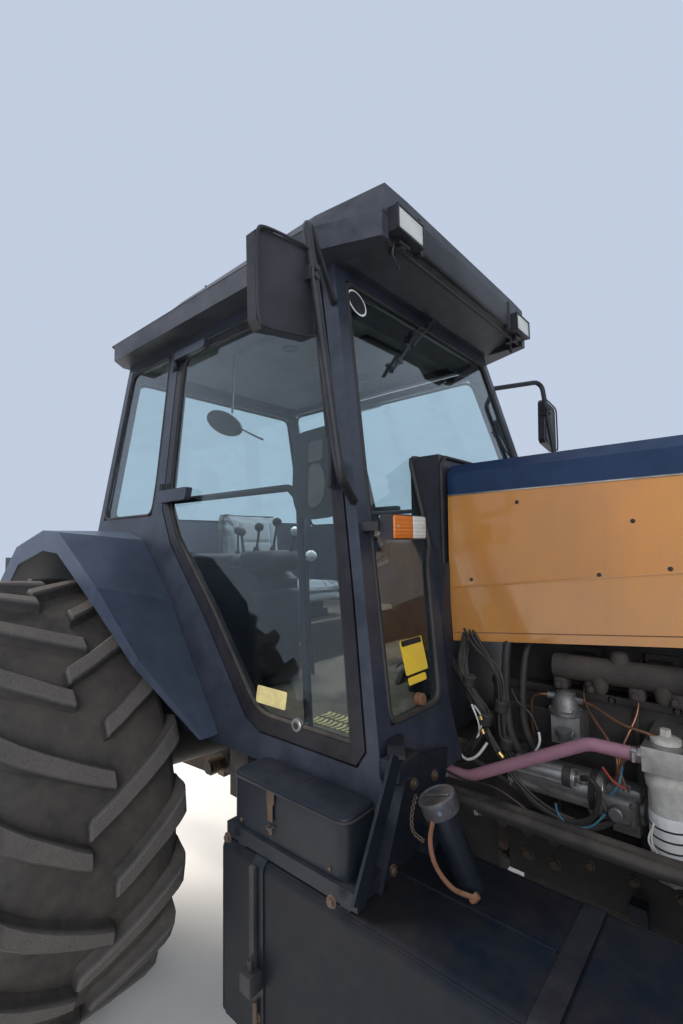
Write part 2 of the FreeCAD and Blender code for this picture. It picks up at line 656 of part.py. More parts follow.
def cab_block(inset, bottom, top):
    """The cab's outer form, drawn in by inset on its four upright faces."""
    sections = []
    for z in (bottom, top):
        y = side_y(z) - inset
        front = screen_x(z) - inset
        rear = d.cab_rear + inset
        sections.append([Vector(rear, -y, z), Vector(front, -y, z), Vector(front, y, z), Vector(rear, y, z)])
    return loft(sections)


# Side view of the right door's opening: (x, z), from the top rear corner round
DOOR_OPENING = [
    (133, d.window_top), (215, 1990), (232, 1855), (351, 1698), (679, 1422), (972, 1150), (1045, 1122),
    (1425, 1122), (1452, 1165), (1365, 1545), (1247, 2020), (1080, d.window_top)]

HINGE_HEIGHTS = (1935, d.window_top - 70)
HINGE_BARREL = 11
HINGE_PIN = 6

# Side view of the rear quarter window
QUARTER_OPENING = [(-340, d.window_top), (62, d.window_top), (143, 1990), (150, 1830), (-340, 1830)]

# Half width of the cowl from the floor up: (y, z)
COWL_SIDE = [(510, 1215), (d.cowl_half_width, 1620)]
COWL_EDGE = 45


def screen_opening():
    """Front view of the right half of the windscreen opening: (y, z)."""
    post = 58
    (wide, low), (narrow, high) = COWL_SIDE
    return [(-(side_y(d.window_top) - post), d.window_top), (-(side_y(low) - post), low),
            (-(wide + COWL_EDGE), low), (-(narrow + COWL_EDGE), high), (-narrow, high + 60),
            (-narrow, d.cowl_top), (0, d.cowl_top), (0, d.window_top)]


def cowl_outline():
    """Front view of the cowl's lower, wider part: (y, z)."""
    (wide, low), (narrow, high) = COWL_SIDE
    base = d.cab_floor_height
    return [(-wide, base), (-wide, low), (-narrow, high), (narrow, high), (wide, low), (wide, base)]


def rear_opening():
    post, top = 62, d.window_top - 30
    return [(-(side_y(top) - post), top), (-(side_y(1840) - post), 1840),
            (side_y(1840) - post, 1840), (side_y(top) - post, top)]


def inset_outline(outline, amount):
    """An outline of (x, z) points drawn in by amount with sharp corners."""
    wire = Part.makePolygon([Vector(x, z, 0) for x, z in outline + outline[:1]])
    face = Part.Face(wire)
    drawn_in = face.makeOffset2D(-amount, join=2)
    return [(v.Point.x, v.Point.y) for v in drawn_in.OuterWire.OrderedVertexes]


def cowl_block(inset):
    half = d.cowl_half_width - inset
    return [
        (d.cowl_rear + inset, d.cab_floor_height), (d.cowl_front, d.cab_floor_height),
        (d.cowl_front, d.cowl_top - inset), (d.cowl_rear + inset, d.cowl_top - inset)], half


def door_axis(z):
    """A point at about this height on the right door's hinge line, and the line's direction.
    The line runs along the opening's rear edge, a little outside the cab's skin."""
    (x_top, z_top), (x_low, z_low) = DOOR_OPENING[0], DOOR_OPENING[1]
    slope = (x_low - x_top) / (z_top - z_low)
    outward = Vector(0, -1, d.side_flare).normalize()
    on_skin = Vector(x_top + slope * (z_top - z) + d.door_gap / 2, -side_y(z), z)
    up = Vector(-slope, d.side_flare, 1).normalize()
    return on_skin + outward * d.hinge_offset, up, outward


def door_hinge(z, of_pillar):
    """One half of a hinge at a height: barrel and leaf; the pillar's half has the pin."""
    point, up, outward = door_axis(z)
    forward = outward.cross(up) * (1 if outward.cross(up).x > 0 else -1)
    low, high, way = (-30, 0, -1) if of_pillar else (0.5, 30, 1)
    barrel = Part.makeCylinder(HINGE_BARREL, high - low, point + up * low, up)
    middle = point + up * ((low + high) / 2)
    leaf = flat_bar(tuple(middle), tuple(middle + forward * (44 * way) - outward * (d.hinge_offset + 2)),
                    high - low, 8, tuple(up))
    if of_pillar:
        pin = Part.makeCylinder(HINGE_PIN, 56, point + up * -28, up)
        return fused([barrel, leaf, pin])
    hole = Part.makeCylinder(HINGE_PIN + d.hub_clearance, 60, point + up * -20, up)
    return fused([barrel, leaf]).cut(hole)


def make_cab_frame():
    outer = cab_block(0, d.cab_floor_height, d.cab_top_height)
    inner = cab_block(d.pillar_wall, d.cab_floor_height, d.cab_top_height)
    frame = outer.cut(inner)
    under_bench = box(d.cab_rear - 10, d.cab_bench_front, -1200, 1200,
                      d.cab_floor_height - 10, d.cab_bench_height)
    frame = frame.cut(under_bench)
    reach = 1300
    frame = frame.cut(prism_y(DOOR_OPENING, -reach, 0))
    frame = frame.cut(prism_y(DOOR_OPENING, 0, reach))
    frame = frame.cut(prism_y(QUARTER_OPENING, -reach, reach))
    glass = prism_x(screen_opening(), 900, 1800)
    frame = frame.cut(glass).cut(mirrored(glass))
    frame = frame.cut(prism_x(rear_opening(), d.cab_rear - 100, d.cab_rear + 100))
    outline, half = cowl_block(0)
    frame = frame.cut(box(1150, 1800, -half, half, d.cab_floor_height - 10, d.cowl_top))
    frame = frame.cut(prism_x(cowl_outline(), 1150, 1800))
    hinges = []
    for z in HINGE_HEIGHTS:
        hinges += both_sides(door_hinge(z, True))
    feature("cab_frame", fused([frame] + hinges))


def pane(opening):
    """The glass that fills an opening, as a thin layer behind the cab's outer face."""
    layer = cab_block(d.glass_setback, d.cab_floor_height, d.cab_top_height).cut(
        cab_block(d.glass_setback + d.glass_thickness, d.cab_floor_height - 1, d.cab_top_height + 1))
    return layer.common(opening)


def make_windows():
    glass = prism_x(screen_opening(), 900, 1800)
    front = fused([pane(glass), pane(mirrored(glass))])
    rear = pane(prism_x(rear_opening(), d.cab_rear - 100, d.cab_rear + 100))
    quarter = pane(prism_y(QUARTER_OPENING, -1300, 0).common(box(-330, 400, -1300, 0, 1000, 2700)))
    feature("cab_glass", Part.makeCompound([front, rear] + both_sides(quarter)))


def make_cowl():
    """Dark bulkhead behind the bonnet, framed by a rubber-edged hoop."""
    outline, half = cowl_block(0)
    solid = prism_y(outline, -half, half)
    wings = prism_x(cowl_outline(), d.cowl_front - 20, d.cowl_front + 20)
    wings = wings.cut(prism_x([(-half + 20, 0), (half - 20, 0), (half - 20, 3000), (-half + 20, 3000)],
                              d.cowl_front, d.cowl_front + 30))
    inside = box(d.cowl_rear, d.cowl_rear + 60, -(half - 40), half - 40,
                 d.cab_floor_height, d.cowl_top - 60)
    brackets = []
    x, z = d.bonnet_hinge_x, d.bonnet_hinge_z
    for y in BONNET_HINGES:
        for y0 in (y - 26, y + 16):
            brackets.append(box(d.cowl_front - 20, x + 8, y0, y0 + 10, z - 60, z - 25))
            brackets.append(box(x - 7, x + 7, y0, y0 + 10, z - 30, z + 6))
        brackets.append(rod((x, y - 26, z), (x, y + 26, z), BONNET_PIN))
    feature("cowl", fused([solid.cut(inside), wings] + brackets))


def make_floor():
    """Footwell floor, raised floor over the rear axle with its riser, the seat's pedestal,
    and the posts and outriggers that carry the cab."""
    low, plate = d.cab_floor_height, d.cab_floor_plate
    bench = d.cab_bench_height
    step = d.cab_bench_front
    floor = cab_block(d.pillar_wall, low, bench + plate)
    floor = floor.cut(box(d.cab_rear - 10, step, -1200, 1200, low - 10, bench))
    floor = floor.cut(box(step + plate, 1800, -1200, 1200, low + plate, bench + plate + 10))
    cowl_wide = COWL_SIDE[0][0]
    floor = floor.cut(box(d.cowl_rear, d.cowl_front - 20, -d.cowl_half_width, d.cowl_half_width,
                          low - 10, low + plate + 10))
    floor = floor.cut(box(d.cowl_front - 20, 1800, -cowl_wide, cowl_wide, low - 10, low + plate + 10))
    plinth = d.raised_floor + d.seat_rise / 2
    pedestal = fused([box(60, 380, -150, 150, d.raised_floor, plinth),
                      box(110, 330, -120, 120, plinth, d.seat_height)])
    pieces = [floor, pedestal]
    supports = [
        # post x from, x to, y from, y to, outrigger's inner end, outrigger's lower and upper face
        (885, 975, 800, 880, d.gearbox_half_width, low - 160, low - 100),
        (1330, 1400, 620, 700, d.engine_half_width, low - 110, low - 60)]
    for x0, x1, y0, y1, inner, under, over in supports:
        pieces += both_sides(box(x0, x1, inner, y1, under, over))
        pieces += both_sides(box(x0, x1, y0, y1, over, low))
    rear_post = box(-50, 50, 560, 640, d.rear_axle_height, bench).cut(made["rear_axle"])
    rear_post = max(rear_post.Solids, key=lambda s: s.CenterOfMass.z)
    pieces += both_sides(rear_post)
    feature("cab_floor", fused(pieces))


# Cross-sections of the roof from rear to front: place along X from its rear or front edge,
# half width at the lip, half width above, and shares of the roof's rise for lip, shoulder and crown
ROOF_STATIONS = [
    (0, 0, 640, 590, 0.35, 0.38, 0.44),
    (0, 70, 722, 662, 0.43, 0.52, 0.62),
    (0, 660, 722, 676, 0.44, 0.72, 0.88),
    (1, -252, 722, 676, 0.44, 0.80, 0.96),
    (1, 0, 626, 606, 0.44, 0.97, 1.0)]


def make_roof():
    """Moulded roof: upright lip, sloped shoulders and a nearly flat crown, with a visor."""
    bottom = d.cab_top_height
    sections = []
    for from_front, offset, wide, upper, lip, shoulder, crown in ROOF_STATIONS:
        x = (d.roof_front if from_front else d.roof_rear) + offset
        half = d.roof_half_width - (ROOF_STATIONS[1][2] - wide)
        shoulder_half = half - (wide - upper)
        crown_half = shoulder_half - 130
        points = [(half, bottom), (half, bottom + lip * d.roof_rise),
                  (shoulder_half, bottom + shoulder * d.roof_rise), (crown_half, bottom + crown * d.roof_rise)]
        ring = [(-y, z) for y, z in points] + list(reversed(points))
        sections.append([Vector(x, y, z) for y, z in ring])
    soffit = prism_y([(screen_x(bottom) + 30, bottom - 1), (d.roof_front + 30, bottom - 1),
                      (d.roof_front + 30, bottom + 62), (d.roof_front - 30, bottom + 55)], -590, 590)
    feature("roof", loft(sections).cut(soffit))


# Stations of a fender about the wheel's axle, from the rear round to the front: angle above the
# horizontal, radius at the cab side, radius at the outer edge, outer edge as a share of its
# full reach, depth of the lip as a share
FENDER_STATIONS = [
    (155, 951, 951, 1.0, 0.5),
    (135, 986, 986, 1.0, 1.0),
    (113, 995, 995, 1.0, 1.0),
    (93, 984, 984, 1.0, 1.0),
    (83, 946, 978, 1.0, 1.0),
    (58, 815, 905, 1.0, 0.8),
    (38, 802, 888, 0.965, 0.5),
    (19, 897, 901, 0.84, 0.3)]


def make_fenders():
    """Bent sheet over each rear wheel; behind the cab a cheek closes its inner side."""
    plate = d.fender_plate
    cheek_y = side_y(1690)
    sections = []
    cheek_outline = []
    for angle, inner, outer, share, lip_share in FENDER_STATIONS:
        turn = math.radians(angle)
        inner_y = side_y(d.rear_axle_height + inner * math.sin(turn))
        if inner * math.cos(turn) < d.cab_rear:
            inner_y = cheek_y
            under = inner - plate
            cheek_outline.append((min(under * math.cos(turn), d.cab_rear),
                                  d.rear_axle_height + under * math.sin(turn)))
        outer_y = d.fender_edge * share
        lip = d.fender_lip * lip_share
        section = [(inner, inner_y), (outer, outer_y), (outer - lip, outer_y), (outer - lip, outer_y - plate),
                   (outer - plate, outer_y - plate), (inner - plate, inner_y)]
        sections.append([Vector(r * math.cos(turn), y, d.rear_axle_height + r * math.sin(turn))
                         for r, y in section])
    shell = loft(sections).cut(cab_block(0, d.cab_floor_height, d.cab_top_height))
    cheek = prism_y(cheek_outline + [(d.cab_rear, 1200), (cheek_outline[0][0], 1130)], cheek_y, cheek_y + 6)
    fender = fused([shell, cheek])
    feature("fenders", Part.makeCompound(both_sides(fender)))


def make_doors():
    """A door is a bent frame in the plane of the cab's side, with its glass set back, a grab
    tube and a latch box inside, a handle outside and two hinge halves."""
    gap_outline = inset_outline(DOOR_OPENING, d.door_gap)
    glass_outline = inset_outline(DOOR_OPENING, d.door_gap + d.door_frame_width)
    low, high = d.cab_floor_height, d.cab_top_height
    depth = cab_block(0, low, high).cut(cab_block(d.door_frame_depth, low - 1, high + 1))
    ring = prism_y(gap_outline, -1300, 0).cut(prism_y(glass_outline, -1300, 0))
    over_door = box(-400, 1600, -1300, 0, d.window_top - d.door_top_gap, high)
    frame = depth.common(ring).cut(over_door)
    glass = pane(prism_y(glass_outline, -1300, 0))
    grab = bent_tube([(250, -715, 1892), (1000, -715, 1886), (1058, -723, 1840), (1212, -845, 1160)], 13, 40)
    latch = box(1130, 1235, -760, -680, 1790, 2050).common(
        cab_block(d.door_frame_depth - 4, low, high)).cut(cab_block(d.door_frame_depth + 26, low, high))
    handle = box(1238, 1254, -772, -745, 1860, 1950)
    hinges = [door_hinge(z, False) for z in HINGE_HEIGHTS]
    door = fused([frame, grab, latch, handle] + hinges)
    for side, make in (("right", lambda s: s), ("left", mirrored)):
        feature("door_" + side, make(door))
        feature("door_glass_" + side, make(glass))


def make_seat():
    z = d.seat_height
    cushion = box(-20, 470, -250, 250, z, z + 110)
    cushion = cushion.makeFillet(30, cushion.Edges)
    feature("seat_cushion", cushion)
    back = prism_y([(-14, z + 40), (-24, z + 110), (-72, z + 510), (-165, z + 500), (-125, z + 40)], -240, 240)
    back = back.makeFillet(22, back.Edges)
    feature("seat_backrest", back.cut(cushion))


STEER_CENTRE = Vector(905, 0, 1668)
STEER_AXIS = Vector(-0.55, 0, 0.835)
HUB_DEPTH = 40


def make_consoles():
    low = d.cab_floor_height + d.cab_floor_plate
    dash = prism_y([(d.cowl_rear, low), (d.cowl_rear, 1640), (1120, 1600), (1020, 1480), (1120, 1300),
                    (1120, low)], -190, 190)
    axis = Vector(STEER_AXIS).normalize()
    column = Part.makeCylinder(28, 290, STEER_CENTRE - axis * (HUB_DEPTH + d.steering_gap), axis * -1)
    bench = d.cab_bench_height + d.cab_floor_plate
    side = prism_y([(-200, bench), (620, bench), (640, 1540), (560, 1590), (-60, 1640), (-200, 1600)],
                   -560, -330)
    side = side.cut(box(d.cab_bench_front + d.cab_floor_plate, 700, -600, -300, bench - 10, bench + 60))
    feature("consoles", Part.makeCompound([fused([dash, column]), side]))


def make_steering_wheel():
    axis = Vector(STEER_AXIS).normalize()
    side = axis.cross(Vector(0, 1, 0))
    section = []
    for corner in range(8):
        turn = math.radians(22.5 + 45 * corner)
        section.append(STEER_CENTRE + side * (205 + 15 * math.cos(turn)) + axis * (15 * math.sin(turn)))
    ring = Part.Face(Part.makePolygon(section + section[:1])).revolve(STEER_CENTRE, axis, 360)
    hub = Part.makeCylinder(32, HUB_DEPTH + 6, STEER_CENTRE - axis * HUB_DEPTH, axis)
    across = Vector(0, 1, 0)
    up = axis.cross(across)
    spokes = []
    for turn in (90, 210, 330):
        out = across * math.cos(math.radians(turn)) + up * math.sin(math.radians(turn))
        spokes.append(Part.makeCylinder(9, 185, STEER_CENTRE + out * 20 - axis * 8, out))
    feature("steering_wheel", fused([ring, hub] + spokes))


def make_mirrors():
    """Bowed tube on the front pillar with the mirror's housing behind and outboard of it."""
    top, foot = d.cab_top_height, 1812
    upper, lower = Vector(1322, -950, top - 90), Vector(1420, -930, foot + 48)
    tube = bent_tube([(screen_x(top - 170) - 24, -(side_y(top - 170) - 10), top - 170), tuple(upper),
                      tuple(lower), (screen_x(foot) - 15, -(side_y(foot) - 10), foot)], 13, 45)
    tube = tube.cut(cab_block(0, d.cab_floor_height, d.cab_top_height))
    tube = max(tube.Solids, key=lambda s: s.Volume)
    middle = top - 270
    tube_x = upper.x + (lower.x - upper.x) * (upper.z - middle) / (upper.z - lower.z)
    outline = [(-1122, -214), (-1138, -232), (-1134, -452), (-1116, -472), (-945, -444), (-926, -424),
               (-944, -210), (-962, -193)]
    housing = prism_x([(y, top + z) for y, z in outline], tube_x - 46, tube_x - 13)
    clamp = box(tube_x - 24, tube_x + 6, -968, -930, middle - 20, middle + 20)
    feature("mirrors", Part.makeCompound(both_sides(fused([tube, housing, clamp]))))


def make_lamps():
    low = d.cab_top_height + 25
    front = box(d.roof_front - 8, d.roof_front + 34, -590, -428, low, low + 85)
    lights = [shape.cut(made["roof"]) for shape in both_sides(front)]
    lamp = box(1420, 1462, -765, -592, 1698, 1770)
    bracket = box(screen_x(1750) - 20, 1420, -775, -735, 1725, 1750)
    pair = fused([lamp, bracket]).cut(cab_block(0, d.cab_floor_height, d.cab_top_height))
    pair = max(pair.Solids, key=lambda s: s.Volume)
    tail = box(-660, -540, 1000, 1110, 1500, 1650)
    tail = tail.cut(made["fenders"])
    tail = max(tail.Solids, key=lambda s: s.CenterOfMass.z)
    feature("lamps", Part.makeCompound(lights + both_sides(pair) + both_sides(tail)))


# Tank, toolbox and steps

def make_tank():
    body = doc.addObject("PartDesign::Body", "fuel_tank")
    outline = [(-d.tank_outer, d.tank_bottom), (-d.tank_inner, d.tank_bottom), (-d.tank_inner, d.tank_top),
               (-d.tank_outer, d.tank_top)]
    sketch = sketch_outline(body, "tank_section", "YZ_Plane", outline)
    sketch.setExpression("AttachmentOffset.Base.z", "Sizes.tank_rear")
    pad = body.newObject("PartDesign::Pad", "tank_length")
    pad.Profile = sketch
    pad.setExpression("Length", "Sizes.tank_length")
    doc.recompute()
    long_edges = []
    for number, edge in enumerate(pad.Shape.Edges, start=1):
        if abs(edge.Vertexes[0].X - edge.Vertexes[1].X) > 1:
            long_edges.append("Edge%d" % number)
    rounded = body.newObject("PartDesign::Fillet", "tank_corners")
    rounded.Base = (pad, long_edges)
    rounded.setExpression("Radius", "Sizes.tank_corner")
    body.Tip = rounded
    keep(body, "fuel_tank")


def make_tank_cradle():
    """Two arms from the chassis under the tank, each with a strap over its top."""
    pieces = []
    t = d.strap_thickness
    for x, inboard, knee_top in (
            (1230, -d.engine_half_width, 640),
            (d.tank_front - 202, -(d.rail_inner + d.rail_thickness), d.rail_bottom + 60)):
        outer = box(x, x + d.strap_width, -d.tank_outer - t, -d.tank_inner + t, d.tank_bottom - t,
                    d.tank_top + t)
        inner = box(x - 1, x + d.strap_width + 1, -d.tank_outer, -d.tank_inner, d.tank_bottom, d.tank_top)
        loop = outer.makeFillet(d.tank_corner + t, [
            e for e in outer.Edges if abs(e.Vertexes[0].X - e.Vertexes[1].X) > 1])
        inside = inner.makeFillet(d.tank_corner, [
            e for e in inner.Edges if abs(e.Vertexes[0].X - e.Vertexes[1].X) > 1])
        band = loop.cut(inside)
        arm = box(x, x + d.strap_width, -d.tank_outer + 30, inboard, d.tank_bottom - 60, d.tank_bottom - t)
        knee = box(x, x + d.strap_width, inboard - 40, inboard, d.tank_bottom - 60, knee_top)
        pieces.append(fused([band, arm, knee]))
    made["cradle"] = pieces


def make_filler():
    base = Vector(d.tank_rear + d.filler_share * (d.tank_front - d.tank_rear), -818, d.tank_top)
    end = base + Vector(-45, -32, 150)
    along = (end - base).normalize()
    neck = Part.makeCylinder(31, 190, base - along * 20, along)
    cap = Part.makeCylinder(41, 36, base + along * 165, along)
    neck = fused([neck, cap]).cut(
        box(base.x - 200, base.x + 100, -1000, -600, d.tank_top - 60, d.tank_top))
    feature("filler_neck", neck)


def make_toolbox():
    """Open sheet box; its lid turns on a pin along the inner top edge."""
    low, high = d.toolbox_bottom, d.toolbox_bottom + d.toolbox_height
    wall = d.toolbox_wall
    shell = box(d.toolbox_rear, d.toolbox_front, -d.toolbox_outer, -d.toolbox_inner, low, high)
    hollow = box(d.toolbox_rear + wall, d.toolbox_front - wall, -d.toolbox_outer + wall,
                 -d.toolbox_inner - wall, low + wall, high + 1)
    pin_y = -d.toolbox_inner + LID_BARREL + 1
    x0, x1 = d.toolbox_rear + 60, d.toolbox_front - 60
    grip = 60
    pieces = [shell.cut(hollow), rod((x0, pin_y, high), (x1, pin_y, high), LID_PIN)]
    for x in (x0, x1 - grip):
        pieces.append(rod((x, pin_y, high), (x + grip, pin_y, high), LID_BARREL))
        pieces.append(box(x, x + grip, -d.toolbox_inner, pin_y, high - LID_BARREL, high - 1))
    feature("toolbox", fused(pieces))
    lid_low = high + d.lid_gap
    lid = box(d.toolbox_rear - 5, d.toolbox_front + 5, -d.toolbox_outer - 5, -d.toolbox_inner,
              lid_low, lid_low + d.lid_thickness)
    hasp = box(1200, 1228, -d.toolbox_outer - 12, -d.toolbox_outer - 5, lid_low - 34, lid_low + 6)
    x0, x1 = x0 + grip + 2, x1 - grip - 2
    barrel = rod((x0, pin_y, high), (x1, pin_y, high), LID_BARREL)
    leaf = box(x0, x1, -d.toolbox_inner, pin_y, high + 1, high + LID_BARREL)
    hole = rod((x0, pin_y, high), (x1, pin_y, high), LID_PIN + d.hub_clearance)
    feature("toolbox_lid", fused([lid, hasp, barrel, leaf]).cut(hole))


LID_BARREL = 6
LID_PIN = 3


def make_toolbox_bracket():
    """Ladder of angle iron on the tank's top, and a bent flat bar up to the cab's corner."""
    low, high = d.tank_top + d.strap_thickness + 1, d.toolbox_bottom
    outer = box(d.toolbox_rear - 8, d.toolbox_front + 30, -d.toolbox_outer - 10, -d.toolbox_outer + 20, low, high)
    inner = box(d.toolbox_rear - 8, d.toolbox_front + 30, -d.toolbox_inner - 30, -d.toolbox_inner, low, high)
    cross = []
    for x in (d.toolbox_rear - 8, d.toolbox_front):
        cross.append(box(x, x + 30, -d.toolbox_outer + 20, -d.toolbox_inner - 30, low, high))
    feet = []
    for x in (d.toolbox_rear + 40, d.toolbox_front - 10):
        feet.append(box(x, x + 30, -d.toolbox_outer - 10, -d.toolbox_inner, d.tank_top, low))
    brace = flat_bar((d.toolbox_front + 34, -d.toolbox_outer - 4, low + 10), (1556, -905, 1192), 42, 8, (0, 1, 0))
    top = flat_bar((1556, -905, 1188), (1480, -800, 1190), 42, 8, (0.3, -1, 0))
    bracket = fused([outer, inner] + cross + feet)
    bar = fused([brace, top]).cut(cab_block(0, d.cab_floor_height, d.cab_top_height))
    bar = max(bar.Solids, key=lambda s: s.Volume)
    link = box(d.toolbox_front + 30, d.toolbox_front + 38, -d.toolbox_outer - 10, -d.toolbox_outer + 20, low, high)
    feature("tank_cradle", Part.makeCompound(made["cradle"] + [fused([bracket, link, bar])]))


def make_steps():
    """Left-hand steps up to the door, with a battery box beside them."""
    y0, y1 = 905, 1110
    x0, x1 = 1020, 1400
    bottom, top = 430, 980
    pieces = [box(x0, x1, y0 - 8, y0, bottom, top)]
    for x in (x0, x1 - 8):
        pieces.append(box(x, x + 8, y0, y1, bottom, top))
    for z in (bottom, 700, top - 30):
        pieces.append(box(x0 + 8, x1 - 8, y0, y1, z, z + 30))
    pieces.append(box(1180, 1240, d.engine_half_width, y0, 570, 630))
    battery = box(1480, 1900, 560, 850, 560, 840)
    shelf = box(1600, 1700, d.rail_inner + d.rail_thickness, 560, 660, 720)
    feature("access_steps", Part.makeCompound([fused(pieces), fused([battery, shelf])]))


# Bonnet

# Places of the bonnet's two hinges across, with the radii of their eyes and pins
BONNET_HINGES = (-176, 176)
BONNET_EYE = 9
BONNET_PIN = 5

BONNET_STATIONS = [
    # x share from rear to front, half width, strip height, top, crease, bottom
    (0.0, 0, 0, 0, 1536, 1357),
    (0.36, 0, 4, 3, 1606, 1414),
    (0.62, -6, 8, 2, 1660, 1462),
    (0.70, -10, 8, 0, 1670, 1100),
    (1.0, -28, 0, -26, 1640, 1045)]


def bonnet_sections():
    sections = []
    for share, wide, strip, top, crease, bottom in BONNET_STATIONS:
        x = d.bonnet_rear + share * (d.bonnet_front - d.bonnet_rear)
        half = d.bonnet_half_width + wide
        sections.append((x, half, d.bonnet_strip + strip, d.bonnet_top + top, crease, bottom))
    return sections


def make_bonnet():
    wall = d.bonnet_wall
    top_sections = []
    side_sections = []
    for x, half, strip, top, crease, bottom in bonnet_sections():
        outer = [(-half, strip), (-half, top - 34), (-half + 34, top), (half - 34, top), (half, top - 34),
                 (half, strip)]
        inner = [(half - wall, strip), (half - wall, top - 36), (half - 36, top - wall),
                 (-half + 36, top - wall), (-half + wall, top - 36), (-half + wall, strip)]
        top_sections.append([Vector(x, y, z) for y, z in outer + inner])
        lean = 8
        side_sections.append([
            Vector(x, -half, strip), Vector(x, -half - lean, crease), Vector(x, -half + lean, bottom),
            Vector(x, -half + lean + wall, bottom), Vector(x, -half - lean + wall, crease),
            Vector(x, -half + wall, strip)])
    eyes = []
    for y in BONNET_HINGES:
        x, z = d.bonnet_hinge_x, d.bonnet_hinge_z
        eye = rod((x, y - 14, z), (x, y + 14, z), BONNET_EYE)
        web = box(x - BONNET_EYE, x + BONNET_EYE, y - 14, y + 14, z, d.bonnet_top - wall + 1)
        hole = rod((x, y - 20, z), (x, y + 20, z), BONNET_PIN + d.hub_clearance)
        eyes.append(fused([eye, web]).cut(hole))
    feature("bonnet_top", fused([loft(top_sections)] + eyes))
    side = loft(side_sections)
    feature("bonnet_sides", Part.makeCompound(both_sides(side)))


def make_nose():
    """Nose frame with a barred grille and a pair of lamps set in it."""
    x0, x1 = d.bonnet_front, d.nose_front
    half = d.bonnet_half_width - 28
    top = d.bonnet_top - 26
    bottom = d.nose_bottom
    sections = []
    for x, inset, drop in ((x0, 0, 0), (x0 + 60, 6, 16), (x1, 42, 70)):
        sections.append([Vector(x, -half + inset, bottom), Vector(x, half - inset, bottom),
                         Vector(x, half - inset, top - drop - 60), Vector(x, half - inset - 40, top - drop),
                         Vector(x, -half + inset + 40, top - drop), Vector(x, -half + inset, top - drop - 60)])
    shell = loft(sections)
    cavity = box(x0 - 1, x1 - 30, -half + 34, half - 34, bottom + 20, top - 110)
    window_low = box(x1 - 60, x1 + 10, -half + 80, half - 80, bottom + 60, 1500)
    lamp_hole = box(x1 - 60, x1 + 10, 70, 270, 1560, 1690)
    nose = shell.cut(cavity).cut(window_low).cut(lamp_hole).cut(mirrored(lamp_hole))
    bars = []
    count = 9
    for index in range(count):
        z = bottom + 60 + (1500 - bottom - 60) * (index + 0.5) / count
        bars.append(box(x1 - 28, x1 - 12, -half + 80, half - 80, z - 8, z + 8))
    grille = fused([nose] + bars)
    feature("nose_grille", grille)
    lens = box(x1 - 40, x1 - 6, 70, 270, 1560, 1690)
    lens = lens.cut(nose)
    feature("headlights", Part.makeCompound(both_sides(lens)))


# Exhaust and engine fittings

def make_exhaust():
    y, z = -300, 1312
    log_end = engine_x(0.9222)
    log = rod((engine_x(0.2556), y, z), (log_end, y, z), 36)
    ports = []
    for x in (engine_x(0.3222), engine_x(0.5444), engine_x(0.7667)):
        ports.append(box(x - 26, x + 26, y, -d.head_half_width, z - 24, z + 24))
        ports.append(box(x - 42, x + 42, -d.head_half_width - 14, -d.head_half_width, z - 40, z + 40))
    stack_x, stack_y = d.engine_front + 40, -480
    pipe = bent_tube([(log_end, y, z), (stack_x, y, z), (stack_x, stack_y, z), (stack_x, stack_y, 1600)], 30, 50)
    muffler = Part.makeCylinder(76, 560, Vector(stack_x, stack_y, 1540))
    muffler = muffler.makeFillet(18, [e for e in muffler.Edges if len(e.Vertexes) == 1])
    tip = bent_tube([(stack_x, stack_y, 2050), (stack_x, stack_y, 2460), (stack_x - 60, stack_y, 2580)], 33, 90)
    feature("exhaust", fused([log, pipe, muffler, tip] + ports))


def make_engine_fittings():
    """Filter with its head, starter and fuel pump on the engine's right side."""
    side = -d.engine_half_width
    head = box(engine_x(0.5278), engine_x(0.6278), -460, side, 1120, 1180)
    canister = Part.makeCylinder(44, 260, Vector(engine_x(0.5778), -400, 860))
    x0, x1, x2, x3, x4 = (engine_x(share) for share in (0.1111, 0.1556, 0.1778, 0.2222, 0.4))
    starter = fused([rod((x0, -330, 985), (x4, -330, 985), 52), box(x0, x1, -330, side, 935, 1035),
                     rod((x1, -395, 1030), (engine_x(0.3333), -395, 1030), 26),
                     box(x2, x3, -395, -330, 1010, 1040)])
    pump = fused([box(engine_x(0.2444), engine_x(0.3333), -330, side, 1090, 1180),
                  Part.makeCylinder(26, 60, Vector(engine_x(0.2889), -310, 1180))])
    feature("engine_fittings", Part.makeCompound([fused([head, canister]), starter, pump]))


def make_hoses():
    """A pale hose to the filter's head and two dark ones to the radiator's foot."""
    pale = bent_tube([(1400, -440, 965), (1500, -440, 965), (engine_x(0.3889), -440, 1150),
                      (engine_x(0.5278), -440, 1150)], 16, 90)
    dark = []
    for y, z in ((-590, 970), (-535, 958)):
        inner_y = -250 + (y + 555) * 0.6
        dark.append(bent_tube([(1400, y, z), (1540, y, z), (engine_x(0.6), y + 15, z - 10),
                               (d.engine_front + 80, inner_y, 865), (d.radiator_rear, inner_y, 865)], 17, 90))
    feature("hoses", Part.makeCompound([pale] + dark))


# Drawbar, power take-off and three-point linkage

def make_drawbar():
    z = d.drawbar_height
    bar = box(d.drawbar_end - 45, 60, -38, 38, z - 18, z + 18)
    hole = Part.makeCylinder(d.drawbar_bore, 36, Vector(d.drawbar_end, 0, z - 18))
    hanger = box(-265, -205, -120, 120, z - 60, 470).cut(box(-300, -100, -38, 38, z - 18, z + 18))
    front = box(0, 60, -60, 60, z + 18, 470)
    feature("drawbar", fused([bar, hanger, front]).cut(hole))


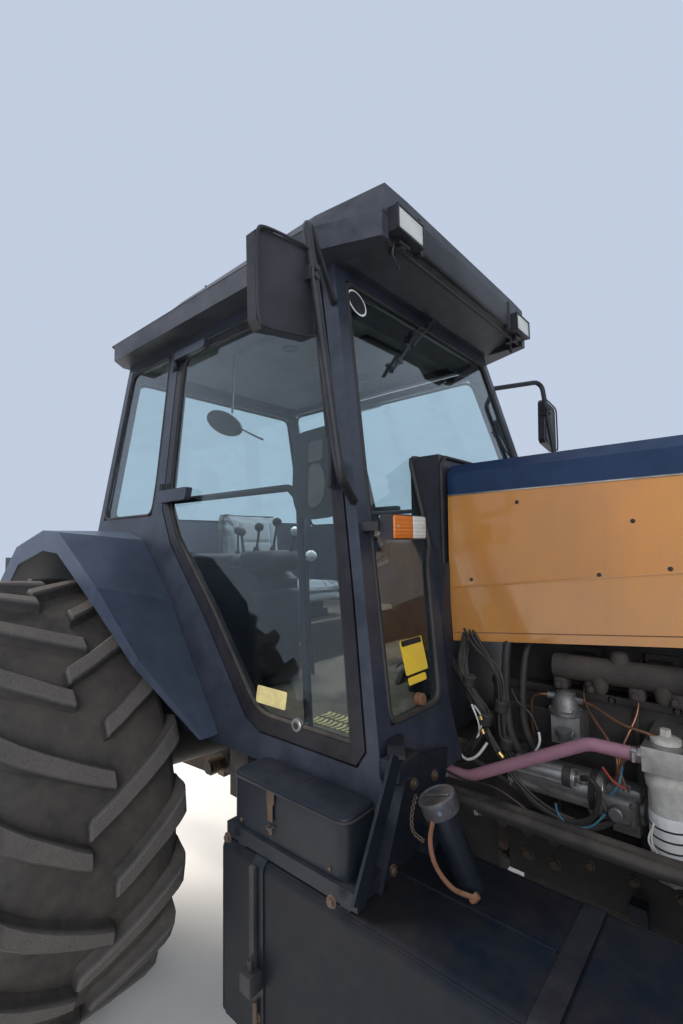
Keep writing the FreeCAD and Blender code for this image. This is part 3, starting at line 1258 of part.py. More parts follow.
def make_linkage():
    z, x = d.link_pivot_z, d.link_pivot_x
    end_x = x - math.sqrt(d.link_length ** 2 - d.link_rise ** 2)
    end_z = z + d.link_rise
    bar = flat_bar((x - 20, d.link_pivot_y, z), (end_x + 20, d.link_spread, end_z), 74, 26, (0, 0, 1))
    eye = rod((x, d.link_pivot_y - 20, z), (x, d.link_pivot_y + 20, z), 44)
    ball = rod((end_x, d.link_spread - d.link_ball_width / 2, end_z),
               (end_x, d.link_spread + d.link_ball_width / 2, end_z), d.link_ball_radius)
    link = fused([bar, eye, ball])
    link = link.cut(rod((end_x, d.link_spread - 60, end_z), (end_x, d.link_spread + 60, end_z), d.link_ball_bore))
    link = link.cut(rod((x, d.link_pivot_y - 40, z), (x, d.link_pivot_y + 40, z),
                        LINK_PIN_RADIUS + d.hub_clearance))
    feature("lower_links", Part.makeCompound(both_sides(link)))
    shaft = rod((d.rockshaft_x, -d.lift_arm_y - 20, d.rockshaft_z), (d.rockshaft_x, d.lift_arm_y + 20,
                d.rockshaft_z), SHAFT_RADIUS)
    arm_end = (d.rockshaft_x - d.lift_arm_length, d.lift_arm_y, d.rockshaft_z - 40)
    arm = flat_bar((d.rockshaft_x, d.lift_arm_y, d.rockshaft_z), arm_end, 50, 34, (0, 0, 1))
    boss = rod((d.rockshaft_x, d.lift_arm_y - 20, d.rockshaft_z), (d.rockshaft_x, d.lift_arm_y + 20,
               d.rockshaft_z), 56)
    tip = rod((arm_end[0], d.lift_arm_y - 17, arm_end[2]), (arm_end[0], d.lift_arm_y + 17, arm_end[2]), 34)
    arm_pin = rod((arm_end[0], d.lift_arm_y + 17, arm_end[2]), (arm_end[0], d.lift_arm_y + 56, arm_end[2]),
                  ROD_PIN_RADIUS)
    arms = fused([shaft] + both_sides(fused([arm, boss, tip, arm_pin])))
    feature("lift_arms", arms)
    link_share = 0.56
    foot = Vector(x + (end_x - x) * link_share, d.link_pivot_y + (d.link_spread - d.link_pivot_y) * link_share,
                  z + d.link_rise * link_share)
    top = Vector(arm_end[0], d.lift_arm_y + 17 + 20, arm_end[2])
    bottom = Vector(foot.x, foot.y + 38, foot.z)
    rod_shape = fused([
        rod(tuple(top), tuple(bottom), 17),
        rod((top.x, top.y - 17, top.z), (top.x, top.y + 17, top.z), 30),
        rod((bottom.x, bottom.y - 14, bottom.z), (bottom.x, bottom.y + 14, bottom.z), 28)])
    rod_shape = rod_shape.cut(rod((top.x, top.y - 30, top.z), (top.x, top.y + 30, top.z),
                                  ROD_PIN_RADIUS + d.hub_clearance))
    feature("lift_rods", Part.makeCompound(both_sides(rod_shape)))


def make_top_link():
    x, z = d.top_link_pivot_x, d.top_link_pivot_z
    rise = 0.10
    end = (x - d.top_link_length, 0, z + d.top_link_length * rise)
    tube = rod((x - 40, 0, z + 40 * rise), (end[0] + 40, 0, end[2] - 40 * rise), 21)
    sleeve = rod((x - 170, 0, z + 170 * rise), (x - 420, 0, z + 420 * rise), 29)
    front_eye = rod((x, -24, z), (x, 24, z), 38)
    rear_eye = rod((end[0], -25, end[2]), (end[0], 25, end[2]), 36)
    bar = flat_bar((x, 0, z), end, 30, 24, (0, 0, 1))
    link = fused([tube, sleeve, front_eye, rear_eye, bar])
    link = link.cut(rod((end[0], -40, end[2]), (end[0], 40, end[2]), d.top_link_bore))
    link = link.cut(rod((x, -40, z), (x, 40, z), TOP_PIN_RADIUS + d.hub_clearance))
    feature("top_link", link)


make_engine_block()
make_front_frame()
make_transmission()
make_rear_axle()
make_front_axle()
make_knuckles()
make_radiator()
make_front_weights()
make_tyres()
make_rims()
make_cab_frame()
make_windows()
make_cowl()
make_floor()
make_roof()
make_fenders()
make_doors()
make_seat()
make_consoles()
make_steering_wheel()
make_mirrors()
make_lamps()
make_tank()
make_tank_cradle()
make_filler()
make_toolbox()
make_toolbox_bracket()
make_steps()
make_bonnet()
make_nose()
make_exhaust()
make_engine_fittings()
make_hoses()
make_drawbar()
make_linkage()
make_top_link()

# Check every object, then write one file for each sub-part
doc.recompute()
for item in doc.Objects:
    if "Invalid" in item.State or "Error" in item.State:
        raise RuntimeError("%s failed: %s" % (item.Label, item.State))
os.makedirs("parts", exist_ok=True)
faulty = [item.Label for item in nodes
          if item.Shape.isNull() or not item.Shape.isValid() or not item.Shape.Solids]
if faulty:
    raise RuntimeError("no valid solid: " + ", ".join(faulty))
for item in nodes:
    item.Shape.exportStep(os.path.join("parts", item.Label + ".step"))
print("%d sub-parts" % len(nodes))
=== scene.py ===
# %% [markdown]
# # Farm tractor with a glazed cab
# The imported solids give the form. This script gives them worn, dusty finishes and adds what a
# solid model leaves out: tread, seals, lenses, switches, cables, a soft seat and plain stickers.
# Places are in metres from the rear axle, X forward, Y to the left, Z up from the ground.

# %% Load the solids
import math
import random

import bmesh
import bpy
from mathutils import Matrix, Vector
from mathutils.bvhtree import BVHTree


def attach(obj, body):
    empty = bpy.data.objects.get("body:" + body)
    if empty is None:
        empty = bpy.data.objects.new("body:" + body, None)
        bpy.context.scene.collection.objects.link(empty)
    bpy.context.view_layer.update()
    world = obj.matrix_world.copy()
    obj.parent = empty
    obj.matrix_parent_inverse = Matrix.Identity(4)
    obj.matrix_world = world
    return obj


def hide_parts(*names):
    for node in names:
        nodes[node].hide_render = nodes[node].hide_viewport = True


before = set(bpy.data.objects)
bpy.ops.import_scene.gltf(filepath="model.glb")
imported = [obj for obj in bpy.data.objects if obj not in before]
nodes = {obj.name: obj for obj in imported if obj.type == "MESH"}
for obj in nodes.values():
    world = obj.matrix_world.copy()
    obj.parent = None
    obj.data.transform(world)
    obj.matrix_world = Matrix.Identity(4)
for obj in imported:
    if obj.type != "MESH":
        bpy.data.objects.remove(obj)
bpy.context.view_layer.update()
random.seed(7)

# The part's own origin lies under the middle of the machine, this far ahead of the rear axle.
SHIFT = -1.29258
REAR_AXLE_Z = 0.784536
FRONT_AXLE = (2.88, 0.659448)

# %% [markdown]
# ## Places on the tractor
# A tractor is measured from its rear axle. The part's own origin lies elsewhere, and `at` moves
# between the two.

# %% Places on the tractor
def at(x, y, z):
    return Vector((x + SHIFT, y, z))

# %% [markdown]
# ## One builder for every piece
# Each small piece of a tractor is a rod, a turned form, a plate or a block. Modifiers could make
# them one by one; a `Shape` that gathers points needs no clean-up and lets many forms become one
# object on one body.

# %% One builder for every piece
def placed(name, data):
    """A new object that holds the data, in the scene."""
    item = bpy.data.objects.new(name, data)
    bpy.context.scene.collection.objects.link(item)
    return item


class Shape:
    """Points and faces of one piece; each method adds one form and gives the shape back."""

    def __init__(self):
        self.verts = []
        self.faces = []

    def add(self, verts, faces):
        base = len(self.verts)
        self.verts += [Vector(v) for v in verts]
        self.faces += [[base + i for i in face] for face in faces]
        return self

    def add_bmesh(self, bm):
        bm.verts.ensure_lookup_table()
        self.add([v.co.copy() for v in bm.verts], [[v.index for v in f.verts] for f in bm.faces])
        bm.free()
        return self

    def join(self, other):
        return self.add(other.verts, other.faces)

    def mesh(self, name):
        made = bpy.data.meshes.new(name)
        made.from_pydata([tuple(v) for v in self.verts], [], self.faces)
        return made

    def build(self, name, body, material, slot=None, smooth=35):
        """Make the object, let it ride on its body and give it its material."""
        mesh = self.mesh(name)
        mesh.validate()
        mesh.shade_smooth()
        mesh.set_sharp_from_angle(angle=math.radians(smooth))
        mesh.materials.append(material)
        item = placed(name, mesh)
        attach(item, body)
        print(name, "on", body, "with", len(mesh.vertices), "points")
        return item

    def block(self, low, high, rounding=0.004, steps=2, turn=None):
        """A box between two corners with rounded edges; turn is a rotation about its middle."""
        low, high = zip(*(sorted(pair) for pair in zip(low, high)))
        bm = bmesh.new()
        bmesh.ops.create_cube(bm, size=1)
        size = Vector(high) - Vector(low)
        middle = (Vector(high) + Vector(low)) / 2
        for v in bm.verts:
            v.co = Vector((v.co.x * size.x, v.co.y * size.y, v.co.z * size.z))
        if rounding:
            bmesh.ops.bevel(bm, geom=list(bm.edges), offset=min(rounding, min(size) * 0.45),
                            segments=steps, profile=0.5, affect="EDGES")
        for v in bm.verts:
            v.co = middle + (turn @ v.co if turn else v.co)
        bm.verts.index_update()
        return self.add_bmesh(bm)

    def lathe(self, origin, axis, profile, sides=32):
        """Turn (along, radius) points about an axis."""
        axis = Vector(axis).normalized()
        across = axis.orthogonal().normalized()
        other = axis.cross(across)
        verts, faces = [], []
        for along, radius in profile:
            for k in range(sides):
                turn = 2 * math.pi * k / sides
                verts.append(Vector(origin) + axis * along
                             + (across * math.cos(turn) + other * math.sin(turn)) * radius)
        for row in range(len(profile) - 1):
            for k in range(sides):
                n = (k + 1) % sides
                faces.append([row * sides + k, row * sides + n, (row + 1) * sides + n,
                              (row + 1) * sides + k])
        last = (len(profile) - 1) * sides
        faces.append(list(range(sides))[::-1])
        faces.append([last + k for k in range(sides)])
        return self.add(verts, faces)

    def rod(self, start, end, radius, sides=20, edge=0.001):
        start, end = Vector(start), Vector(end)
        length = (end - start).length
        edge = min(edge, radius * 0.4, length * 0.4)
        return self.lathe(start, end - start, [(0, radius - edge), (edge, radius),
                                               (length - edge, radius), (length, radius - edge)], sides)

    def tube(self, points, radius, sides=10, smooth=6, closed=False, flat=1.0):
        """A cable, pipe or seal along points, rounded through them."""
        path = rounded(points, smooth, closed)
        count = len(path)
        verts, faces = [], []
        side = None
        for i, p in enumerate(path):
            before = path[i - 1] if i or closed else p
            after = path[(i + 1) % count] if i < count - 1 or closed else p
            along = (after - before).normalized()
            side = along.orthogonal().normalized() if side is None else (side - along * side.dot(along)).normalized()
            up = along.cross(side)
            for k in range(sides):
                turn = 2 * math.pi * k / sides
                verts.append(p + side * (radius * math.cos(turn)) + up * (radius * flat * math.sin(turn)))
        rows = count if closed else count - 1
        for i in range(rows):
            j = (i + 1) % count
            for k in range(sides):
                n = (k + 1) % sides
                faces.append([i * sides + k, i * sides + n, j * sides + n, j * sides + k])
        if not closed:
            faces.append(list(range(sides))[::-1])
            faces.append([(count - 1) * sides + k for k in range(sides)])
        return self.add(verts, faces)

    def plate(self, outline, through):
        """A flat outline of points, thickened along a vector."""
        count = len(outline)
        front = [Vector(p) for p in outline]
        around = sum((p.cross(q) for p, q in zip(front, front[1:] + front[:1])), Vector())
        if around.dot(Vector(through)) > 0:
            front.reverse()
        back = [p + Vector(through) for p in front]
        faces = [list(range(count)), [count + k for k in reversed(range(count))]]
        for k in range(count):
            n = (k + 1) % count
            faces.append([n, k, count + k, count + n])
        return self.add(front + back, faces)

# %% [markdown]
# ## Smooth lines
# Cables and seals bend softly. A curve object would do, but a spline through a few points gives a
# mesh at once.

# %% Smooth lines
def rounded(points, steps, closed):
    """Points of a smooth line through the given ones."""
    points = [Vector(p) for p in points]
    if steps < 2 or len(points) < 3:
        return points
    count = len(points)
    line = []
    spans = count if closed else count - 1
    for i in range(spans):
        p1, p2 = points[i], points[(i + 1) % count]
        p0 = points[i - 1] if i or closed else p1
        p3 = points[(i + 2) % count] if closed or i + 2 < count else p2
        for s in range(steps):
            t = s / steps
            line.append(0.5 * ((2 * p1) + (p2 - p0) * t + (2 * p0 - 5 * p1 + 4 * p2 - p3) * t * t
                               + (3 * p1 - p0 - 3 * p2 + p3) * t ** 3))
    if not closed:
        line.append(points[-1])
    return line

# %% [markdown]
# ## Repeats by Geometry Nodes
# Lugs, louvres and grille wires come in equal steps. Copies could be placed by hand; one node group
# that turns a source about an axis or moves it in a row keeps them equal. Realize Instances makes
# them plain mesh.

# %% Repeats by Geometry Nodes
def socket(tree, name, direction, kind):
    return tree.interface.new_socket(name=name, in_out=direction, socket_type=kind)


def repeat_group(name, round_axis):
    tree = bpy.data.node_groups.new(name, "GeometryNodeTree")
    socket(tree, "Geometry", "INPUT", "NodeSocketGeometry")
    socket(tree, "Count", "INPUT", "NodeSocketInt")
    socket(tree, "Step", "INPUT", "NodeSocketVector")
    socket(tree, "Material", "INPUT", "NodeSocketMaterial")
    socket(tree, "Geometry", "OUTPUT", "NodeSocketGeometry")
    new, link = tree.nodes.new, tree.links.new
    start, end = new("NodeGroupInput"), new("NodeGroupOutput")
    line = new("GeometryNodeMeshLine")
    link(start.outputs["Count"], line.inputs["Count"])
    line.inputs["Offset"].default_value = (0, 0, 0)
    place = new("GeometryNodeInstanceOnPoints")
    link(line.outputs["Mesh"], place.inputs["Points"])
    link(start.outputs["Geometry"], place.inputs["Instance"])
    index = new("GeometryNodeInputIndex")
    scaled = new("ShaderNodeVectorMath")
    scaled.operation = "SCALE"
    link(start.outputs["Step"], scaled.inputs[0])
    link(index.outputs[0], scaled.inputs["Scale"])
    if round_axis:
        link(scaled.outputs[0], place.inputs["Rotation"])
        moved = place.outputs["Instances"]
    else:
        shift = new("GeometryNodeTranslateInstances")
        link(place.outputs["Instances"], shift.inputs["Instances"])
        link(scaled.outputs[0], shift.inputs["Translation"])
        moved = shift.outputs["Instances"]
    real = new("GeometryNodeRealizeInstances")
    link(moved, real.inputs[0])
    paint = new("GeometryNodeSetMaterial")
    link(real.outputs[0], paint.inputs["Geometry"])
    link(start.outputs["Material"], paint.inputs["Material"])
    link(paint.outputs[0], end.inputs[0])
    return tree


TURNED = repeat_group("repeat_round_axis", True)
ROW = repeat_group("repeat_in_row", False)


def evaluated(item):
    """The object's mesh with its modifiers applied."""
    graph = bpy.context.evaluated_depsgraph_get()
    return bpy.data.meshes.new_from_object(item.evaluated_get(graph))


def shape_of(mesh):
    return Shape().add([v.co.copy() for v in mesh.vertices], [list(p.vertices) for p in mesh.polygons])


def repeated(shape, group, count, step, material):
    """The shape repeated by a node group, as a new Shape."""
    mesh = shape.mesh("source")
    item = placed("source", mesh)
    modifier = item.modifiers.new("repeat", "NODES")
    modifier.node_group = group
    keys = {s.name: s.identifier for s in group.interface.items_tree if s.in_out == "INPUT"}
    modifier[keys["Count"]] = count
    modifier[keys["Step"]] = step
    modifier[keys["Material"]] = material
    made = evaluated(item)
    result = shape_of(made)
    bpy.data.objects.remove(item)
    bpy.data.meshes.remove(mesh)
    bpy.data.meshes.remove(made)
    return result


def moved(shape, offset):
    return Shape().add([v + Vector(offset) for v in shape.verts], shape.faces)

# %% [markdown]
# ## Short forms for shaders
# Every finish mixes noise, height and direction. Long chains of nodes hide that, so `Nodes` has one
# short word for each step.

# %% Short forms for shaders
def shader_group(name, inputs, outputs):
    tree = bpy.data.node_groups.new(name, "ShaderNodeTree")
    for label, kind, value in inputs:
        made = socket(tree, label, "INPUT", kind)
        if value is not None:
            made.default_value = value
    for label, kind in outputs:
        socket(tree, label, "OUTPUT", kind)
    return tree, tree.nodes.new("NodeGroupInput"), tree.nodes.new("NodeGroupOutput")


class Nodes:
    """Short forms for adding nodes to one tree."""

    def __init__(self, tree):
        self.tree = tree

    def put(self, value, target):
        """Link a socket, or set a plain value."""
        if isinstance(value, bpy.types.NodeSocket):
            self.tree.links.new(value, target)
        else:
            target.default_value = value

    def fill(self, node, **sockets):
        """Put values in a node's sockets; an underscore stands for a space in a socket's name."""
        for key, value in sockets.items():
            self.put(value, node.inputs[key.replace("_", " ")])
        return node

    def add(self, kind, **sockets):
        return self.fill(self.tree.nodes.new(kind), **sockets)

    def place(self):
        """Object space, in metres, so that no surface needs unwrapping."""
        return self.add("ShaderNodeTexCoord").outputs["Object"]

    def height(self, vector):
        return self.add("ShaderNodeSeparateXYZ", Vector=vector).outputs[2]

    def math(self, operation, a, b=0.0, clamp=False):
        node = self.add("ShaderNodeMath")
        node.operation = operation
        node.use_clamp = clamp
        self.put(a, node.inputs[0])
        self.put(b, node.inputs[1])
        return node.outputs[0]

    def times(self, a, b, clamp=False):
        return self.math("MULTIPLY", a, b, clamp)

    def plus(self, a, b, clamp=False):
        return self.math("ADD", a, b, clamp)

    def vector(self, operation, a, b=None, scale=None):
        node = self.add("ShaderNodeVectorMath")
        node.operation = operation
        self.put(a, node.inputs[0])
        if b is not None:
            self.put(b, node.inputs[1])
        if scale is not None:
            self.put(scale, node.inputs["Scale"])
        return node

    def span(self, value, low, high, to_low=0.0, to_high=1.0):
        """Stretch low..high to to_low..to_high and hold it there."""
        node = self.add("ShaderNodeMapRange")
        for slot, number in enumerate((value, low, high, to_low, to_high)):
            self.put(number, node.inputs[slot])
        return node.outputs[0]

    def noise(self, where, scale, detail=4.0, rough=0.55):
        return self.add("ShaderNodeTexNoise", Vector=where, Scale=scale, Detail=detail,
                        Roughness=rough).outputs[0]

    def mapped(self, where, scale, turn=(0.0, 0.0, 0.0)):
        return self.add("ShaderNodeMapping", Vector=where, Scale=scale, Rotation=turn).outputs[0]

    def waves(self, where, direction, scale, distortion):
        node = self.add("ShaderNodeTexWave", Vector=where, Scale=scale, Distortion=distortion)
        node.bands_direction = direction
        return node.outputs["Fac"]

    def bump(self, strength, height):
        return self.add("ShaderNodeBump", Strength=strength, Distance=0.002, Height=height).outputs[0]

    def group(self, tree, **values):
        node = self.tree.nodes.new("ShaderNodeGroup")
        node.node_tree = tree
        return self.fill(node, **values)

    def blend(self, share, first, second):
        node = self.add("ShaderNodeMix")
        node.data_type = "RGBA"
        target = {s.identifier: s for s in node.inputs}
        self.put(share, target["Factor_Float"])
        for key, value in (("A_Color", first), ("B_Color", second)):
            is_socket = isinstance(value, bpy.types.NodeSocket)
            self.put(value if is_socket else (*value[:3], 1.0), target[key])
        return next(s for s in node.outputs if s.identifier == "Result_Color")

# %% [markdown]
# ## Dust, blotches and grain
# Dust settles on what faces up and near the ground, and paint fades in patches. Painted textures
# need unwrapping; masks from object space fit every piece. The groups give only masks and a normal.

# %% Dust, blotches and grain
def make_grime():
    tree, start, end = shader_group(
        "grime", [("Size", "NodeSocketFloat", 1.0)],
        [("Dust", "NodeSocketFloat"), ("Blotch", "NodeSocketFloat"), ("Grain", "NodeSocketFloat")])
    n = Nodes(tree)
    where = n.place()
    sized = n.vector("SCALE", where, scale=start.outputs["Size"]).outputs[0]
    up = n.height(n.add("ShaderNodeNewGeometry").outputs["Normal"])
    broad, middle = n.noise(sized, 3.5), n.noise(sized, 17.0, 6.0, 0.65)
    settled = n.times(n.span(up, 0.1, 0.95), 0.55)
    near_ground = n.span(n.height(where), 1.5, 0.25, 0.0, 0.55)
    uneven = n.plus(n.times(broad, 0.9), n.times(middle, 0.9))
    patches = n.plus(n.times(broad, 0.6), n.times(middle, 0.4))
    n.fill(end, Dust=n.times(n.plus(settled, near_ground), n.span(uneven, 0.55, 1.2), True),
           Blotch=n.span(patches, 0.38, 0.62), Grain=n.noise(sized, 160.0, 3.0))
    return tree


def make_grain():
    tree, start, end = shader_group(
        "grain", [("Scale", "NodeSocketFloat", 200.0), ("Depth", "NodeSocketFloat", 0.3)],
        [("Normal", "NodeSocketVector")])
    n = Nodes(tree)
    where = n.place()
    cells = n.add("ShaderNodeTexNoise", Vector=where, Scale=start.outputs["Scale"], Detail=3.0)
    height = n.plus(cells.outputs[0], n.times(n.noise(where, 2.2, 2.0), 3.0))
    n.fill(end, Normal=n.bump(start.outputs["Depth"], height))
    return tree


GRIME = make_grime()
GRAIN = make_grain()
DUST = (0.23, 0.175, 0.125)

# %% [markdown]
# ## Worn paint, plastic and metal
# Old paint isn't one colour. `worn` fades it in blotches, adds chips and dust and dulls it where it
# is dusty, so one function serves the whole machine.

# %% Worn paint, plastic and metal
def surface(name):
    """A material with one Principled shader and its output."""
    made = bpy.data.materials.new(name)
    made.use_nodes = True
    tree = made.node_tree
    tree.nodes.clear()
    shader = tree.nodes.new("ShaderNodeBsdfPrincipled")
    out = tree.nodes.new("ShaderNodeOutputMaterial")
    tree.links.new(shader.outputs[0], out.inputs[0])
    return made, Nodes(tree), shader


def worn(name, colour, faded, rough=0.5, dust=0.7, metal=0.0, size=1.0, grain=220.0, depth=0.12,
         chips=None, coat=0.0, gloss=0.28):
    """Paint, plastic, rubber or metal that has faded in blotches and gathered dust."""
    made, n, shader = surface(name)
    masks = n.group(GRIME, Size=size).outputs
    now = n.blend(masks["Blotch"], colour, faded)
    if chips:
        spots = n.span(n.noise(n.place(), 42.0 * size, 8.0, 0.75), 0.665, 0.70)
        now = n.blend(spots, now, chips)
    dusty = n.times(masks["Dust"], dust)
    duller = n.plus(n.times(masks["Grain"], 0.16), n.times(dusty, 0.45))
    n.fill(shader, Base_Color=n.blend(dusty, now, DUST), Roughness=n.plus(duller, rough - 0.08, True),
           Metallic=metal, Specular_IOR_Level=gloss,
           Normal=n.group(GRAIN, Scale=grain, Depth=depth).outputs[0])
    if coat:
        n.fill(shader, Coat_Weight=coat, Coat_Roughness=0.25)
    return made

# %% [markdown]
# ## The finishes
# Colours were set by comparing patches of the picture with the photograph. Each finish is one line:
# name, colour, faded colour, roughness, dust.

# %% The finishes
CAB = worn("cab_paint", (0.012, 0.015, 0.023), (0.024, 0.029, 0.042), 0.38, 0.05, coat=0.1)
FENDER = worn("fender_paint", (0.030, 0.040, 0.062), (0.048, 0.062, 0.090), 0.40, 0.05, coat=0.1)
ROOF = worn("roof_paint", (0.018, 0.020, 0.026), (0.044, 0.046, 0.056), 0.45, 0.12)
FRAME_BLACK = worn("frame_paint", (0.003, 0.005, 0.009), (0.007, 0.010, 0.015), 0.42, 0.04,
                   chips=(0.055, 0.030, 0.020))
DOOR_EDGE = worn("door_edge", (0.006, 0.006, 0.008), (0.014, 0.014, 0.018), 0.35, 0.12)
COWL = worn("cowl_paint", (0.010, 0.011, 0.015), (0.022, 0.023, 0.029), 0.42, 0.08)
CHASSIS = worn("chassis_paint", (0.006, 0.007, 0.009), (0.018, 0.017, 0.016), 0.50, 0.16,
               chips=(0.07, 0.035, 0.02))
ENGINE = worn("engine_casting", (0.010, 0.010, 0.012), (0.032, 0.027, 0.023), 0.5, 0.35, grain=90,
              depth=0.35)
RIM = worn("rim_paint", (0.30, 0.29, 0.27), (0.42, 0.40, 0.36), 0.45, 0.85, chips=(0.12, 0.06, 0.03))
IRON = worn("bare_iron", (0.045, 0.042, 0.040), (0.10, 0.065, 0.045), 0.5, 0.5, metal=0.6, grain=120,
            depth=0.3)
RUST = worn("rusty_iron", (0.085, 0.035, 0.018), (0.19, 0.085, 0.045), 0.85, 0.4, grain=110, depth=0.6)
MANIFOLD = worn("manifold_iron", (0.022, 0.019, 0.018), (0.048, 0.038, 0.033), 0.8, 0.2, grain=110,
                depth=0.7)
BRIGHT = worn("dull_metal", (0.42, 0.41, 0.40), (0.25, 0.24, 0.23), 0.35, 0.4, metal=0.85, size=3)
ALLOY = worn("cast_alloy", (0.20, 0.20, 0.20), (0.12, 0.115, 0.11), 0.45, 0.4, metal=0.7, size=3,
             grain=150, depth=0.4)
TANK = worn("tank_plastic", (0.002, 0.005, 0.010), (0.009, 0.009, 0.011), 0.44, 0.02, grain=420,
            depth=0.25, gloss=0.16)
TRIM = worn("moulded_trim", (0.009, 0.010, 0.012), (0.024, 0.024, 0.028), 0.46, 0.10, grain=500,
            depth=0.3)
INSIDE = worn("interior_plastic", (0.020, 0.021, 0.024), (0.042, 0.041, 0.043), 0.55, 0.2, grain=600,
              depth=0.25)
PALE_INSIDE = worn("interior_lining", (0.090, 0.096, 0.105), (0.13, 0.13, 0.135), 0.8, 0.1, grain=600,
                   depth=0.3)
RUBBER = worn("rubber", (0.009, 0.009, 0.010), (0.024, 0.023, 0.023), 0.6, 0.3, grain=300, depth=0.2)
LEVER = worn("lever_knobs", (0.33, 0.10, 0.025), (0.42, 0.16, 0.05), 0.4, 0.15, size=3)
FLOOR_MAT = worn("floor_mat", (0.018, 0.018, 0.019), (0.045, 0.041, 0.037), 0.75, 0.6, grain=260,
                 depth=0.5)
WEIGHT = worn("weight_paint", (0.016, 0.017, 0.020), (0.040, 0.039, 0.040), 0.5, 0.45, grain=90,
              depth=0.4,
              chips=(0.10, 0.05, 0.03))
RADIATOR = worn("radiator_paint", (0.012, 0.012, 0.013), (0.03, 0.028, 0.026), 0.6, 0.5)
COPPER = worn("copper_pipe", (0.30, 0.13, 0.07), (0.16, 0.09, 0.06), 0.4, 0.3, metal=0.8, size=4)
WIRE_WHITE = worn("white_wire", (0.50, 0.50, 0.47), (0.34, 0.33, 0.30), 0.5, 0.3, size=5)
WIRE_BLUE = worn("blue_wire", (0.03, 0.16, 0.24), (0.05, 0.14, 0.18), 0.5, 0.3, size=5)
WIRE_RED = worn("red_wire", (0.35, 0.03, 0.02), (0.22, 0.04, 0.03), 0.5, 0.3, size=5)
CAP_METAL = worn("cap_metal", (0.10, 0.115, 0.135), (0.060, 0.045, 0.036), 0.42, 0.2, metal=0.5, size=6)
HANDLE = worn("latch_handle", (0.17, 0.125, 0.110), (0.10, 0.080, 0.075), 0.35, 0.1, size=3)
BRASS = worn("brass", (0.45, 0.30, 0.10), (0.30, 0.20, 0.08), 0.35, 0.3, metal=0.8, size=4)
YELLOW_LABEL = worn("plain_label", (0.62, 0.43, 0.03), (0.55, 0.36, 0.05), 0.4, 0.2, size=4)
CREAM_LABEL = worn("pale_label", (0.42, 0.36, 0.16), (0.30, 0.25, 0.12), 0.5, 0.3, size=4)
WHITE_LABEL = worn("white_label", (0.62, 0.62, 0.60), (0.45, 0.45, 0.43), 0.45, 0.2, size=4)
GLASS_MARK = worn("glass_mark", (0.10, 0.13, 0.13), (0.16, 0.20, 0.19), 0.4, 0.2, size=4)
PINK = worn("pale_hose", (0.27, 0.13, 0.17), (0.20, 0.10, 0.13), 0.5, 0.3, size=3)
FILTER = worn("filter_shell", (0.46, 0.45, 0.42), (0.30, 0.28, 0.25), 0.4, 0.6, size=3)

# %% [markdown]
# ## Bonnet paint
# Rain runs down the bonnet's sides and leaves streaks. Noise that is stretched upright gives them
# without a texture.

# %% Bonnet paint
def streaked_paint(name, colour, faded):
    """Bonnet paint with rain streaks that run straight down."""
    made, n, shader = surface(name)
    masks = n.group(GRIME, Size=1.0).outputs
    stretched = n.mapped(n.place(), (26.0, 26.0, 1.6))
    streaks = n.span(n.noise(stretched, 1.0, 5.0, 0.6), 0.50, 0.75)
    base = n.blend(masks["Blotch"], colour, faded)
    base = n.blend(n.times(streaks, 0.28), base, (0.24, 0.14, 0.05))
    n.fill(shader, Base_Color=n.blend(n.times(masks["Dust"], 0.2), base, DUST),
           Roughness=n.plus(n.times(masks["Grain"], 0.12), n.times(streaks, 0.15)),
           Coat_Weight=0.25, Coat_Roughness=0.2,
           Normal=n.group(GRAIN, Scale=150.0, Depth=0.06).outputs[0])
    return made


YELLOW = streaked_paint("bonnet_paint", (0.38, 0.165, 0.040), (0.34, 0.150, 0.048))
NAVY = worn("bonnet_strip_paint", (0.004, 0.014, 0.042), (0.008, 0.023, 0.060), 0.38, 0.08, coat=0.1)

# %% [markdown]
# ## Tinted glass
# Cab glass is green-blue and never clean. Transmission gives the tint, and noise gives wiped smears
# that thicken towards the sill.

# %% Tinted glass
def glass(name, tint, haze):
    """Tinted pane with dried dust and wiped smears."""
    made, n, shader = surface(name)
    where = n.place()
    wiped = n.span(n.noise(n.mapped(where, (2.0, 2.0, 6.0), (0.5, 0.7, 0.2)), 2.6, 7.0, 0.7), 0.42,
                   0.75)
    speck = n.span(n.noise(where, 140.0, 2.0), 0.62, 0.72)
    low = n.span(n.height(where), 1.9, 1.15, 0.25, 1.0)
    dirt = n.times(n.plus(wiped, n.times(speck, 0.5)), low, True)
    n.fill(shader, Base_Color=n.blend(n.times(dirt, haze), tint, (0.55, 0.55, 0.50)),
           Roughness=n.times(dirt, 0.16, True), Transmission_Weight=1.0, IOR=1.45)
    return made


PANE = glass("tinted_glass", (0.76, 0.88, 0.89), 0.5)

# %% [markdown]
# ## Lenses and mirrors
# Lamp lenses have fine ribs. A wave texture used as bump is cheaper than ribs in the mesh and looks
# the same here.

# %% Lenses and mirrors
def lens(name, colour):
    made, n, shader = surface(name)
    where = n.place()
    ribs = n.waves(where, "Z", 30.0, 0.0)
    n.fill(shader, Base_Color=n.blend(n.times(ribs, 0.35), colour, [c * 0.7 for c in colour]),
           Roughness=n.plus(n.times(n.noise(where, 30.0), 0.12), 0.08),
           Transmission_Weight=0.45, Normal=n.bump(0.35, ribs))
    return made


AMBER = lens("amber_lens", (0.80, 0.20, 0.02))
CLEAR = lens("clear_lens", (0.75, 0.76, 0.72))
RED = lens("red_lens", (0.55, 0.02, 0.015))


